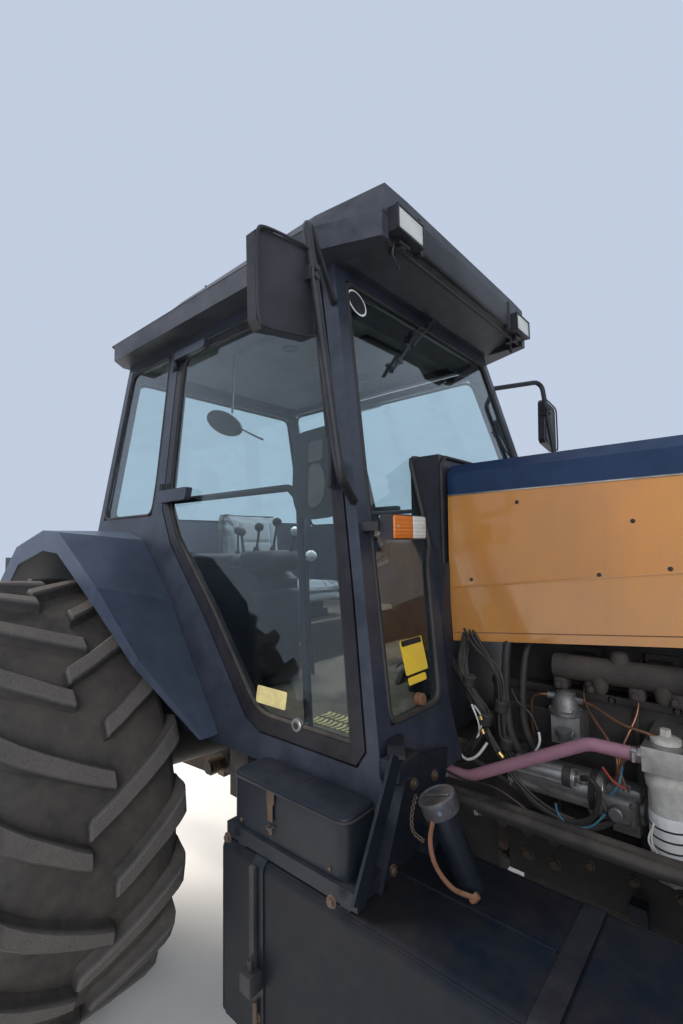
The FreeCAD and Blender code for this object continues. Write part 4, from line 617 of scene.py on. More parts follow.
def mirror_face():
    made, n, shader = surface("mirror_glass")
    where = n.place()
    n.fill(shader, Roughness=n.span(n.noise(where, 22.0, 6.0), 0.3, 0.8, 0.03, 0.2), Metallic=1.0,
           Base_Color=n.blend(n.noise(where, 6.0), (0.72, 0.73, 0.75), (0.60, 0.60, 0.60)))
    return made


MIRROR = mirror_face()

# %% [markdown]
# ## Tyre rubber
# A lug's top is scuffed pale and earth stays between lugs. The distance from the axle tells which
# is which, so the finish fits any tread.

# %% Tyre rubber
def tyre_rubber(name, radius, middle):
    """Rubber that is paler on the lugs' worn tops and earthy in the grooves."""
    made, n, shader = surface(name)
    masks = n.group(GRIME, Size=1.4).outputs
    away = n.vector("SUBTRACT", n.place(), middle).outputs[0]
    in_wheel_plane = n.vector("MULTIPLY", away, (1, 0, 1)).outputs[0]
    reach = n.vector("LENGTH", in_wheel_plane).outputs["Value"]
    top = n.span(reach, radius - 0.012, radius - 0.002)
    groove = n.times(n.span(reach, radius - 0.075, radius - 0.045),
                     n.span(reach, radius - 0.02, radius - 0.035))
    mottled = n.blend(masks["Blotch"], (0.010, 0.010, 0.011), (0.024, 0.023, 0.023))
    earthy = n.times(groove, n.span(masks["Blotch"], 0.0, 1.0, 0.15, 0.55))
    scuffed = n.times(top, n.span(masks["Grain"], 0.3, 0.7, 0.35, 0.8))
    colour = n.blend(earthy, mottled, (0.060, 0.045, 0.034))
    colour = n.blend(scuffed, colour, (0.105, 0.090, 0.080))
    n.fill(shader, Base_Color=n.blend(n.times(masks["Dust"], 0.2), colour, (0.16, 0.125, 0.095)),
           Roughness=0.82, Normal=n.group(GRAIN, Scale=130.0, Depth=0.55).outputs[0])
    return made

# %% [markdown]
# ## Seat cloth
# The seat's cloth has a coarse weave. Two crossed waves make the threads, and a little sheen makes
# it soft.

# %% Seat cloth
def fabric(name, colour, other):
    """Two crossed rows of waves as a weave, worn greyer in places."""
    made, n, shader = surface(name)
    where = n.place()
    threads = n.times(n.waves(where, "Y", 130.0, 0.4), n.waves(where, "Z", 130.0, 0.4))
    rubbed = n.times(n.span(n.noise(where, 5.0, 5.0), 0.4, 0.7), 0.45)
    n.fill(shader, Base_Color=n.blend(rubbed, n.blend(threads, colour, other), (0.10, 0.095, 0.09)),
           Roughness=0.92, Sheen_Weight=0.3, Normal=n.bump(0.4, threads))
    return made


SEAT = fabric("seat_cloth", (0.075, 0.085, 0.100), (0.130, 0.145, 0.165))

# %% [markdown]
# ## Finish the solids
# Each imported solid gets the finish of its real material. A table is easier to read than forty
# separate lines.

# %% Finish the solids
CAD_LOOKS = {
    "access_steps": FRAME_BLACK, "bonnet_sides": YELLOW, "bonnet_top": NAVY, "cab_floor": FLOOR_MAT,
    "cab_frame": CAB, "cab_glass": PANE, "consoles": INSIDE, "cowl": COWL, "door_glass_left": PANE,
    "door_glass_right": PANE, "door_left": DOOR_EDGE, "door_right": DOOR_EDGE, "drawbar": IRON,
    "engine_block": ENGINE, "engine_fittings": BRIGHT, "exhaust": MANIFOLD, "fenders": FENDER,
    "filler_neck": FRAME_BLACK, "front_axle": CHASSIS, "front_frame": CHASSIS,
    "front_rim_left": RIM, "front_rim_right": RIM, "front_weights": WEIGHT, "fuel_tank": TANK,
    "headlights": CLEAR, "hoses": RUBBER, "knuckle_left": CHASSIS, "knuckle_right": CHASSIS,
    "lamps": TRIM, "lift_arms": IRON, "lift_rods": IRON, "lower_links": IRON, "mirrors": TRIM,
    "nose_grille": NAVY, "radiator": RADIATOR, "rear_axle": CHASSIS, "rear_rim_left": RIM,
    "rear_rim_right": RIM, "roof": ROOF, "steering_wheel": INSIDE, "tank_cradle": FRAME_BLACK,
    "toolbox": FRAME_BLACK, "toolbox_lid": FRAME_BLACK, "top_link": IRON, "transmission": CHASSIS}
for label, look in CAD_LOOKS.items():
    mesh = nodes[label].data
    mesh.materials.clear()
    mesh.materials.append(look)

# %% [markdown]
# ## One lug
# A bar lug starts at the sidewall, bends over the shoulder and ends near the middle, long and short
# in turn. Cross-sections joined in a row follow that bend better than a bent box.

# %% One lug
def lug(radius, crown, half_tread, half_width, turn, hand, is_long, pitch):
    """One lug as cross-sections from the sidewall to the tread's middle."""
    inner = -0.17 if is_long else 0.12
    lead = 0.42 if is_long else 0.26
    stations = [
        # across in half treads, along in pitches, top radius, foot radius, half thickness
        (1.045, 0.62, crown - 0.075, crown - 0.085, 0.028),
        (1.055, 0.57, crown - 0.028, crown - 0.05, 0.035),
        (1.035, 0.515, radius - 0.030, crown - 0.05, 0.038),
        (0.99, 0.45, radius - 0.010, crown - 0.05, 0.038),
        (0.92, 0.375, radius - 0.005, crown - 0.045, 0.036),
        (0.74, 0.205, radius - 0.003, crown - 0.04, 0.034),
        (0.50, 0.02, radius - 0.001, crown - 0.04, 0.031),
        ((0.50 + inner) / 2, (0.02 - lead) / 2 - 0.015, radius, crown - 0.04, 0.029),
        (inner + 0.03, -lead + 0.02, radius, crown - 0.04, 0.028),
        (inner, -lead, radius - 0.007, crown - 0.04, 0.024)]
    shape = Shape()
    verts, faces = [], []
    for across, along, top, foot, thick in stations:
        y = hand * min(across * half_tread, half_width)
        middle = turn + along * pitch
        soft = min(0.008, (top - foot) * 0.3)
        ring = [(foot, -thick - 0.012), (top - soft, -thick - 0.001), (top, -thick + soft),
                (top, thick - soft), (top - soft, thick + 0.001), (foot, thick + 0.012)]
        for r, offset in ring:
            turned = middle + offset / radius
            verts.append(Vector((r * math.cos(turned), y, r * math.sin(turned))))
    for row in range(len(stations) - 1):
        for k in range(6):
            n = (k + 1) % 6
            quad = [row * 6 + k, row * 6 + n, row * 6 + 6 + n, row * 6 + 6 + k]
            faces.append(quad[::-1] if hand > 0 else quad)
    ends = [list(range(6)), [len(verts) - 6 + k for k in reversed(range(6))]]
    faces += [end if hand > 0 else end[::-1] for end in ends]
    return shape.add(verts, faces)

# %% [markdown]
# ## A whole tyre
# The carcass is a closed profile turned about the axle. Four lugs are made and the node group
# repeats them round it.

# %% A whole tyre
def tyre(radius, width, tread, rim, height, count, material):
    crown = radius - height
    half, half_tread = width / 2, tread / 2
    bead = half * 0.72
    middle = (rim + crown) / 2
    side = [(rim + 0.003, bead), (rim + 0.024, bead + 0.001), (rim + 0.03, bead + 0.012),
            (rim + 0.045, bead + 0.018), (middle - 0.06, half * 0.955), (middle - 0.02, half * 0.99),
            (middle + 0.03, half), (middle + 0.08, half * 0.99), (crown - 0.06, half_tread * 1.03),
            (crown - 0.03, half_tread * 0.985), (crown - 0.012, half_tread * 0.88),
            (crown - 0.003, half_tread * 0.62), (crown, half_tread * 0.3)]
    profile = [(r, -y) for r, y in side] + [(r, y) for r, y in reversed(side)]
    sides = 96
    shape = Shape()
    verts, faces = [], []
    for k in range(sides):
        turn = 2 * math.pi * k / sides
        verts += [Vector((r * math.cos(turn), y, r * math.sin(turn))) for r, y in profile]
    rows = len(profile)
    for k in range(sides):
        n = (k + 1) % sides
        for i in range(rows):
            j = (i + 1) % rows
            faces.append([k * rows + i, k * rows + j, n * rows + j, n * rows + i])
    shape.add(verts, faces)
    pitch = 2 * math.pi / count
    start = -math.pi / 2 + 0.42 * pitch
    group_of_lugs = Shape()
    for index in (0, 1):
        for hand in (1, -1):
            turn = start + (index + (0.5 if hand < 0 else 0)) * pitch
            one = lug(radius, crown, half_tread, half, turn, hand, index == 0, pitch)
            group_of_lugs.join(one)
    lugs = repeated(group_of_lugs, TURNED, count // 2, (0, -2 * pitch, 0), material)
    return shape.join(lugs)

# %% [markdown]
# ## Four tyres
# Tyre sizes are radius, width, tread width, rim radius, lug height and number of lugs on a side.

# %% Four tyres
WHEELS = [
    # axle, x, height, track, tyre sizes
    ("rear", 0.0, REAR_AXLE_Z, 2.45, (0.785, 0.57, 0.52, 0.381, 0.042, 22)),
    ("front", FRONT_AXLE[0], FRONT_AXLE[1], 2.08, (0.66, 0.37, 0.34, 0.356, 0.034, 18))]
for axle, x, z, track, sizes in WHEELS:
    for side, sign in (("left", 1), ("right", -1)):
        centre = at(x, sign * track / 2, z)
        rubber = tyre_rubber("tyre_rubber_%s_%s" % (axle, side), sizes[0], centre)
        made = moved(tyre(*sizes, rubber), centre)
        body = "%s_wheel_%s" % (axle, side)
        item = made.build("%s_tread_%s" % (axle, side), body, rubber, "tyre", 40)
        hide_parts("%s_tyre_%s" % (axle, side))

# %% [markdown]
# ## The cab's leaning planes
# The cab's sides and windscreen lean. If each point on them comes from its height, seals and
# stickers lie flat on the glass.

# %% The cab's leaning planes
ROOF_LINE = 2.69                             # height at which the two values below hold
HALF_WIDTH, SIDE_LEAN = 0.617, 0.175         # cab side, and how far it spreads per metre down
SCREEN_FRONT, SCREEN_LEAN = 1.134, 0.2342    # windscreen, and how far it comes forward per metre down


def side(x, z, out=0.0, hand=-1):
    return at(x, hand * (HALF_WIDTH + SIDE_LEAN * (ROOF_LINE - z) + out), z)


def right_side(x, z, out):
    return side(x, z, out, -1)


def screen(y, z, out=0.0):
    return at(SCREEN_FRONT + SCREEN_LEAN * (ROOF_LINE - z) + out, y, z)


def inset(outline, amount):
    """A polygon of (a, b) points drawn in by amount."""
    area = sum(p[0] * q[1] - q[0] * p[1] for p, q in zip(outline, outline[1:] + outline[:1]))
    sign = 1 if area > 0 else -1
    result = []
    for before, here, after in zip(outline[-1:] + outline[:-1], outline, outline[1:] + outline[:1]):
        first = Vector((here[0] - before[0], here[1] - before[1])).normalized()
        second = Vector((after[0] - here[0], after[1] - here[1])).normalized()
        n1, n2 = Vector((-first.y, first.x)) * sign, Vector((-second.y, second.x)) * sign
        way = (n1 + n2).normalized()
        result.append(tuple(Vector(here) + way * (amount / max(way.dot(n1), 0.3))))
    return result


def softened(outline, radius, steps=4):
    """A polygon with each corner replaced by a short curve."""
    result = []
    for before, here, after in zip(outline[-1:] + outline[:-1], outline, outline[1:] + outline[:1]):
        p0, p, p1 = Vector(before), Vector(here), Vector(after)
        start = p + (p0 - p).normalized() * min(radius, (p0 - p).length * 0.45)
        end = p + (p1 - p).normalized() * min(radius, (p1 - p).length * 0.45)
        for s in range(steps + 1):
            t = s / steps
            result.append(tuple(start * (1 - t) ** 2 + p * 2 * t * (1 - t) + end * t ** 2))
    return result

# %% [markdown]
# ## Window seals
# A black rubber profile holds each pane. It could be bevelled from the frame; a thin tube round the
# opening's outline needs no change in the solids.

# %% Window seals
DOOR = [(0.135, 2.631), (0.215, 1.99), (0.232, 1.855), (0.351, 1.698), (0.679, 1.422), (0.972, 1.15),
        (1.045, 1.122), (1.425, 1.122), (1.452, 1.165), (1.365, 1.545), (1.247, 2.02), (1.083, 2.631)]
QUARTER = [(-0.34, 2.64), (0.062, 2.64), (0.143, 1.99), (0.15, 1.83), (-0.34, 1.83)]
SCREEN = [(-0.568, 2.64), (-0.817, 1.215), (-0.555, 1.215), (-0.445, 1.62), (-0.40, 1.68),
          (-0.40, 1.992),
          (0.40, 1.992), (0.40, 1.68), (0.445, 1.62), (0.555, 1.215), (0.817, 1.215), (0.568, 2.64)]
REAR = [(-0.569, 2.61), (-0.704, 1.84), (0.704, 1.84), (0.569, 2.61)]

seals = Shape()
for hand in (-1, 1):
    seals.tube([side(x, z, -0.010, hand) for x, z in softened(inset(DOOR, 0.0035), 0.03)], 0.0032, 6,
               1, True)
    seals.tube([side(x, z, -0.006, hand) for x, z in softened(inset(QUARTER, 0.004), 0.05)], 0.009, 8,
               1, True)
seals.tube([screen(y, z, -0.006) for y, z in softened(inset(SCREEN, 0.004), 0.045)], 0.010, 8, 1, True)
seals.tube([at(-0.385 + 0.006, y, z) for y, z in softened(inset(REAR, 0.004), 0.05)], 0.009, 8, 1, True)
hood = [(-0.392, 1.60), (-0.392, 1.955), (-0.36, 1.985), (0.36, 1.985), (0.392, 1.955), (0.392, 1.60)]
seals.tube([at(1.4095, y, z) for y, z in hood], 0.0065, 8, 1)
seals.build("window_seals", "chassis", RUBBER, "hose_rubber")
for name, hand in (("right", -1), ("left", 1)):
    edge = Shape()
    edge.tube([side(x, z, -0.0085, hand) for x, z in softened(inset(DOOR, 0.051), 0.05)], 0.0075, 8,
              1, True)
    edge.build("door_seal_" + name, "door_%s_body" % name, RUBBER, "hose_rubber")

# %% [markdown]
# ## Wiper
# The wiper hangs from a spindle above the screen. Arm, blade and rubber are tubes, and three clips
# are blocks.

# %% Wiper
wiper = Shape()
wiper.rod(screen(-0.01, 2.665, 0.0), screen(-0.01, 2.665, 0.045), 0.016)
arm = [screen(-0.01, 2.665, 0.034), screen(-0.09, 2.60, 0.040), screen(-0.235, 2.476, 0.028)]
wiper.tube(arm, 0.0065, 8, 5, flat=0.6)
blade = [screen(-0.09, 2.625, 0.010), screen(-0.25, 2.47, 0.012), screen(-0.41, 2.322, 0.010)]
wiper.tube(blade, 0.008, 6, 4, flat=0.7)
wiper.tube([p + Vector((-0.010, 0, -0.002)) for p in blade], 0.0035, 6, 4)
for share in (0.2, 0.5, 0.8):
    p = blade[0].lerp(blade[2], share)
    wiper.block(p - Vector((0.004, 0.014, 0.010)), p + Vector((0.012, 0.014, 0.010)), 0.002)
wiper.build("wiper", "chassis", TRIM, "trim_black")

# %% [markdown]
# ## Plain stickers
# Stickers are 0.6 mm plates on the glass. Their print is left out, so only their shape and colour
# tell of them.

# %% Plain stickers
def label(shape, plane, middle, wide, high, out, thick=0.0006, skew=0.0):
    """A thin rounded rectangle on a leaning plane."""
    corners = softened([(middle[0] - wide / 2, middle[1] - high / 2 - skew),
                        (middle[0] + wide / 2, middle[1] - high / 2 + skew),
                        (middle[0] + wide / 2, middle[1] + high / 2 + skew),
                        (middle[0] - wide / 2, middle[1] + high / 2 - skew)], 0.006)
    front = [plane(a, b, out) for a, b in corners]
    back = [plane(a, b, out - thick) for a, b in corners]
    return shape.plate(back, front[0] - back[0])


def disc(shape, plane, middle, radius, out, thick=0.0006, sides=40):
    ring = [(middle[0] + radius * math.cos(2 * math.pi * k / sides),
             middle[1] + radius * math.sin(2 * math.pi * k / sides)) for k in range(sides)]
    front = [plane(a, b, out) for a, b in ring]
    back = [plane(a, b, out - thick) for a, b in ring]
    return shape.plate(back, front[0] - back[0])


disc(Shape(), screen, (-0.512, 2.572), 0.052, -0.0090).build("round_sticker_rim", "chassis",
        WHITE_LABEL)
disc(Shape(), screen, (-0.512, 2.572), 0.045, -0.0084).build("round_sticker", "chassis", TRIM)
label(Shape(), screen, (-0.632, 1.36), 0.118, 0.094, -0.0090).build("yellow_sticker", "chassis",
        YELLOW_LABEL)
edge = Shape()
label(edge, screen, (-0.632, 1.398), 0.106, 0.016, -0.0084)
label(edge, screen, (-0.632, 1.312), 0.118, 0.002, -0.0084)
edge.build("yellow_sticker_band", "chassis", TRIM)
label(Shape(), screen, (-0.640, 1.296), 0.095, 0.020, -0.0090).build("small_yellow_sticker",
        "chassis", YELLOW_LABEL)
label(Shape(), right_side, (1.068, 1.226), 0.135, 0.050, -0.0090).build("pale_sticker",
        "door_right_body", CREAM_LABEL)
label(Shape(), right_side, (1.072, 1.166), 0.075, 0.024, -0.0090).build("grey_sticker",
        "door_right_body", GLASS_MARK)

# %% [markdown]
# ## Door lock and screen knobs
# The door's lock is a steel disc with a dark core, and a rusty knob sits at each foot of the
# windscreen.

# %% Door lock and screen knobs
lock = Shape()
lock.rod(right_side(1.198, 1.176, -0.011), right_side(1.198, 1.176, 0.004), 0.019, 28, 0.002)
lock.build("door_lock", "door_right_body", BRIGHT, "worn_steel")
lock = Shape()
lock.rod(right_side(1.198, 1.176, 0.004), right_side(1.198, 1.176, 0.0055), 0.010, 20)
lock.block(right_side(1.252, 1.862, 0.02) - Vector((0.012, 0.006, 0.0)),
           right_side(1.252, 1.862, 0.02) + Vector((0.004, 0.004, 0.10)), 0.003)
lock.build("door_lock_core", "door_right_body", TRIM, "trim_black")

knob = Shape()
for hand in (-1, 1):
    knob.rod(screen(hand * 0.662, 1.248, -0.012), screen(hand * 0.662, 1.248, 0.012), 0.017, 24, 0.003)
knob.build("screen_knobs", "chassis", RUST, "rusty_iron")

# %% [markdown]
# ## Roof panel and trim
# A blank panel lies between the work lights and a rubber line runs round the roof. Both cover real
# seams.

# %% Roof panel and trim
roof = Shape()
roof.block(at(1.340, -0.395, 2.728), at(1.363, 0.395, 2.842), 0.012, 3)
for y in (-0.405, 0.405):
    roof.block(at(1.338, y - 0.012, 2.712), at(1.368, y + 0.012, 2.85), 0.006)
roof.build("roof_panel", "chassis", TRIM, "trim_black")
lip = [(-0.43, -0.66), (-0.38, -0.718), (1.095, -0.718), (1.349, -0.62), (1.349, 0.62), (1.095, 0.718),
       (-0.38, 0.718), (-0.43, 0.66)]
trim = Shape()
trim.tube([at(x, y, 2.776) for x, y in lip], 0.005, 8, 1, True)
trim.tube([at(x * 0.985 + 0.006, y * 0.985, 2.700) for x, y in lip], 0.006, 8, 1, True)
trim.build("roof_trim", "chassis", RUBBER, "hose_rubber")

# %% [markdown]
# ## Work lights
# Each lamp has a frame, a bracket and a cable. The frame is four bars, since a hole in a block
# would need a cut.

# %% Work lights
lights = Shape()
for hand in (-1, 1):
    y = hand * 0.509
    for low, high in (((1.384, y - 0.083, 2.713), (1.394, y + 0.083, 2.722)),
                      ((1.384, y - 0.083, 2.793), (1.394, y + 0.083, 2.802)),
                      ((1.384, y - 0.083, 2.713), (1.394, y - 0.074, 2.802)),
                      ((1.384, y + 0.074, 2.713), (1.394, y + 0.083, 2.802))):
        lights.block(at(*low), at(*high), 0.003)
    lights.block(at(1.30, y - 0.012, 2.690), at(1.36, y + 0.012, 2.716), 0.004)
    lights.rod(at(1.36, y - 0.03, 2.706), at(1.36, y + 0.03, 2.706), 0.008)
    lights.tube([at(1.345, y - 0.03, 2.72), at(1.335, y - 0.035, 2.67), at(1.325, y + 0.015, 2.645),
                 at(1.30, y + 0.05, 2.67), at(1.29, y + 0.06, 2.70)], 0.004, 6)
    lights.block(at(-0.475, hand * 0.5 - 0.07, 2.70), at(-0.432, hand * 0.5 + 0.07, 2.77), 0.01)
lights.rod(at(0.395, -0.65, 2.81), at(0.395, -0.65, 2.862), 0.006)
lights.rod(at(0.395, -0.65, 2.80), at(0.395, -0.65, 2.82), 0.014)
lights.build("work_light_frames", "chassis", TRIM, "trim_black")
glow = Shape()
for hand in (-1, 1):
    y = hand * 0.509
    glow.block(at(1.383, y - 0.075, 2.721), at(1.391, y + 0.075, 2.794), 0.005, 3)
    glow.block(at(-0.480, hand * 0.5 - 0.062, 2.708), at(-0.473, hand * 0.5 + 0.062, 2.762), 0.004, 3)
glow.build("work_light_glass", "chassis", CLEAR, "lamp_glass")

# %% [markdown]
# ## Lamp lenses
# Indicator, side and tail lamps differ only in colour, so one loop makes all of them.

# %% Lamp lenses
amber, clear, red = Shape(), Shape(), Shape()
for hand in (-1, 1):
    y0, y1, y2 = 0.762, 0.664, 0.595
    for shape, a, b in ((amber, y0, y1), (clear, y1, y2)):
        shape.block(at(1.428, hand * a, 1.701), at(1.468, hand * b, 1.767), 0.006, 3)
    for shape, low, high in ((amber, 1.604, 1.646), (red, 1.553, 1.602), (clear, 1.505, 1.551)):
        shape.block(at(-0.668, hand * 1.004, low), at(-0.656, hand * 1.106, high), 0.004, 3)
amber.build("amber_lenses", "chassis", AMBER, "lamp_glass")
clear.build("clear_lenses", "chassis", CLEAR, "lamp_glass")
red.build("red_lenses", "chassis", RED, "lamp_glass")
screws = Shape()
for hand in (-1, 1):
    for y in (0.745, 0.612):
        screws.rod(at(1.467, hand * y, 1.734), at(1.4700, hand * y, 1.734), 0.004, 12)
    for z in (1.512, 1.64):
        screws.rod(at(-0.667, hand * 1.055, z), at(-0.6695, hand * 1.055, z), 0.003, 12)
screws.build("lens_screws", "chassis", BRIGHT, "worn_steel")

# %% [markdown]
# ## Mirrors
# The mirror's glass is a thin plate in front of its shell, with a rubber line round it.

# %% Mirrors
faces, rims = Shape(), Shape()
MIRROR_X = 1.3558
for hand in (-1, 1):
    edge_line = [(1.122, 2.476), (1.138, 2.458), (1.134, 2.238), (1.116, 2.218), (0.945, 2.246),
                 (0.926, 2.266),
                 (0.944, 2.480), (0.962, 2.497)]
    outline = softened(inset(edge_line, 0.010), 0.03)
    face = [at(MIRROR_X - 0.0465, hand * y, z) for y, z in outline]
    faces.plate(face if hand < 0 else face[::-1], Vector((-0.003, 0, 0)))
    rims.tube([p + Vector((-0.002, 0, 0)) for p in face], 0.006, 8, 1, True)
    for z in (2.408, 2.432):
        rims.rod(at(MIRROR_X + 0.004, hand * 0.949, z), at(MIRROR_X + 0.012, hand * 0.949, z), 0.008, 6)
    soft_edge = softened(inset(edge_line, 0.0005), 0.045)
    rims.tube([at(MIRROR_X - 0.0145, hand * y, z) for y, z in soft_edge], 0.0045, 8, 1, True)
faces.build("mirror_glasses", "chassis", MIRROR)
rims.build("mirror_rims", "chassis", TRIM, "trim_black")

# %% [markdown]
# ## Bonnet joints
# The bonnet's top and sides are separate sheets. Fine tubes on the same stations as the solid show
# their joints. The pale steel one on the strip's edge is a real seam and also a painted highlight along it.

# %% Bonnet joints
STATIONS = [(1.416, 0.361, 1.850, 1.958, 1.536, 1.357), (2.105, 0.361, 1.854, 1.961, 1.606, 1.414),
            (2.603, 0.355, 1.858, 1.960, 1.660, 1.462), (2.756, 0.351, 1.858, 1.958, 1.670, 1.100),
            (3.330, 0.333, 1.850, 1.932, 1.640, 1.045)]
joint, crease, groove, dots = Shape(), Shape(), Shape(), Shape()
for hand in (-1, 1):
    joint.tube([at(x, hand * (half + 0.0012), strip) for x, half, strip, top, fold, foot in STATIONS],
               0.0026, 6, 1)
    crease.tube([at(x, hand * (half + 0.0078), fold) for x, half, strip, top, fold, foot in STATIONS],
                0.0032, 6, 1)
    groove.tube([at(x, hand * (half - 0.0055), foot + 0.028) for x, half, strip, top, fold,
                 foot in STATIONS[:3]],
                0.0016, 6, 1)
    for x, z, out in ((1.656, 1.811, 0.002), (1.497, 1.566, 0.007), (1.881, 1.591, 0.008),
                      (2.048, 1.611, 0.008),
                      (1.969, 1.738, 0.004), (2.45, 1.80, 0.0), (2.50, 1.52, 0.0),
                      (3.20, 1.75, -0.024), (3.22, 1.2, -0.026)):
        dots.rod(at(x, hand * (0.359 + out), z), at(x, hand * (0.363 + out), z), 0.006, 14, 0.0015)
# The joint tube is pale steel: a painted highlight along the seam between strip and side.
joint.build("bonnet_joint_highlight", "bonnet", BRIGHT, "worn_steel")
crease.build("bonnet_crease", "bonnet", YELLOW, "yellow")
groove.build("bonnet_groove", "bonnet", RUST, "rusty_iron")
dots.build("bonnet_fasteners", "bonnet", TRIM, "trim_black")

# %% [markdown]
# ## Louvres and ridges
# Slots cool the engine. One blade repeated in a row is enough at this size.

# %% Louvres and ridges
vent = Shape()
for hand in (-1, 1):
    blade = Shape()
    blade.plate([at(2.86, hand * 0.3535, 1.20), at(3.24, hand * 0.3425, 1.20),
                 at(3.24, hand * 0.3485, 1.226),
                 at(2.86, hand * 0.3595, 1.226)], Vector((0, -hand * 0.004, 0.0)))
    row = repeated(blade, ROW, 8, (0, 0, 0.046), TRIM)
    vent.join(row)
vent.build("bonnet_louvres", "bonnet", TRIM, "trim_black")
ridge = Shape()
for y in (-0.21, 0.21):
    ridge.tube([at(x, y * half / 0.361, top + 0.001) for x, half, strip, top, fold, foot in STATIONS],
               0.006, 8, 1)
ridge.build("bonnet_ridges", "bonnet", NAVY, "dark_blue")

# %% [markdown]
# ## Nose grille
# A woven grille stops chaff. Two rows of thin rods stand for it, because a texture would look flat
# from the side.

# %% Nose grille
mesh_lines = Shape()
up = Shape().rod(at(3.422, -0.25, 1.10), at(3.422, -0.25, 1.50), 0.0022, 6)
row = repeated(up, ROW, 34, (0, 0.0151, 0), TRIM)
mesh_lines.join(row)
across = Shape().rod(at(3.419, -0.252, 1.106), at(3.419, 0.252, 1.106), 0.0022, 6)
row = repeated(across, ROW, 26, (0, 0, 0.0156), TRIM)
mesh_lines.join(row)
mesh_lines.build("grille_mesh", "bonnet", TRIM, "trim_black")

# %% [markdown]
# ## Headlights
# Each headlight has a bright rim and a turned lens.

# %% Headlights
rim, lenses = Shape(), Shape()
for hand in (-1, 1):
    low, high = sorted((hand * 0.066, hand * 0.274))
    frame_line = softened([(low, 1.556), (high, 1.556), (high, 1.694), (low, 1.694)], 0.02)
    rim.tube([at(3.436, y, z) for y, z in frame_line], 0.007, 8, 1, True)
    lenses.lathe(at(3.428, hand * 0.17, 1.625), (1, 0, 0),
                 [(0, 0.052), (0.004, 0.050), (0.007, 0.036), (0.009, 0.010)], 32)
rim.block(at(3.432, -0.055, 1.60), at(3.444, 0.055, 1.655), 0.008, 3)
rim.build("headlight_rims", "bonnet", BRIGHT, "worn_steel")
lenses.build("headlight_lenses", "bonnet", CLEAR, "lamp_glass")

# %% [markdown]
# ## Helpers for the engine bay
# A pipe bends with a set radius, a bolt has a washer, a hose has a clamp, and wires wander. Each
# gets a helper, because the bay is full of them.

# %% Helpers for the engine bay
def arced(points, radius, steps=8):
    """A route of straight runs with round bends."""
    points = [Vector(p) for p in points]
    line = [points[0]]
    for before, here, after in zip(points, points[1:], points[2:]):
        first, second = (before - here).normalized(), (after - here).normalized()
        half = first.angle(second) / 2
        reach = min(radius / math.tan(half), (before - here).length * 0.49,
                    (after - here).length * 0.49)
        size = reach * math.tan(half)
        centre = here + (first + second).normalized() * (size / math.sin(half))
        start, end = here + first * reach, here + second * reach
        a, b = start - centre, end - centre
        turn = a.angle(b)
        for s in range(steps + 1):
            t = s / steps
            line.append(centre + (a * math.sin((1 - t) * turn) + b * math.sin(t * turn)) / math.sin(turn))
    return line + [points[-1]]


def bolts(shape, places, axis, radius=0.009, height=0.008):
    """Hexagon heads on washers, each standing on the face that its place is on."""
    way = Vector(axis).normalized()
    for place in places:
        place = Vector(place)
        shape.rod(place - way * 0.002, place + way * 0.002, radius * 1.45, 16, 0.0006)
        shape.rod(place, place + way * height, radius, 6, 0.0008)
    return shape


def band(shape, place, axis, radius, rise, length, edge=0.001, sides=36):
    """A low ring that stands a little above a round surface."""
    outer = radius + rise
    return shape.lathe(place, axis, [(0, radius), (edge, outer), (length - edge, outer),
                                     (length, radius)], sides)


def clamp(shape, middle, along, radius, wide=0.013):
    """A worm-drive clamp round a hose, with its screw."""
    way = Vector(along).normalized()
    middle = Vector(middle)
    band(shape, middle - way * wide / 2, way, radius, 0.0016, wide, sides=28)
    out = way.cross(Vector((0, 0, 1))).normalized() * (radius + 0.004)
    shape.rod(middle + out - Vector((0, 0, 0.012)), middle + out + Vector((0, 0, 0.012)), 0.0055, 12)
    return shape


def wires(shape, route, count, spread, radius, seed):
    """A loose bundle of wires that wander about one route."""
    dice = random.Random(seed)
    for _ in range(count):
        points = [Vector(p) + Vector([dice.uniform(-spread, spread) for _ in range(3)]) for p in route]
        shape.tube(points, radius, 6, 6)
    return shape

# %% [markdown]
# ## Pale hose and clamps
# The most visible hose runs straight, rises and runs straight again. Straight runs with round bends
# match it; a spline would sag between its points.

# %% Pale hose and clamps
pale = [at(1.400, -0.440, 0.965), at(1.500, -0.440, 0.965), at(1.850, -0.440, 1.150),
        at(1.9745, -0.440, 1.150)]
hose = Shape().tube(arced(pale, 0.090), 0.0172, 16, 1)
hose.build("pale_hose", "chassis", PINK)
rings = Shape()
clamp(rings, at(1.958, -0.440, 1.150), (1, 0, 0), 0.0172)
clamp(rings, at(1.432, -0.440, 0.965), (1, 0, 0), 0.0172)
for x, y, z in ((1.60, -0.578, 0.962), (1.62, -0.523, 0.950)):
    clamp(rings, at(x, y, z), (1, 0.02, -0.03), 0.0176, 0.016)
rings.rod(at(1.966, -0.440, 1.150), at(1.980, -0.440, 1.150), 0.020, 6)
rings.build("hose_clamps", "chassis", BRIGHT, "fitting_metal")

# %% [markdown]
# ## Black wires
# The loom drops from the cowl to the frame, partly taped. Several thin tubes round one route look
# looser than one thick cable.

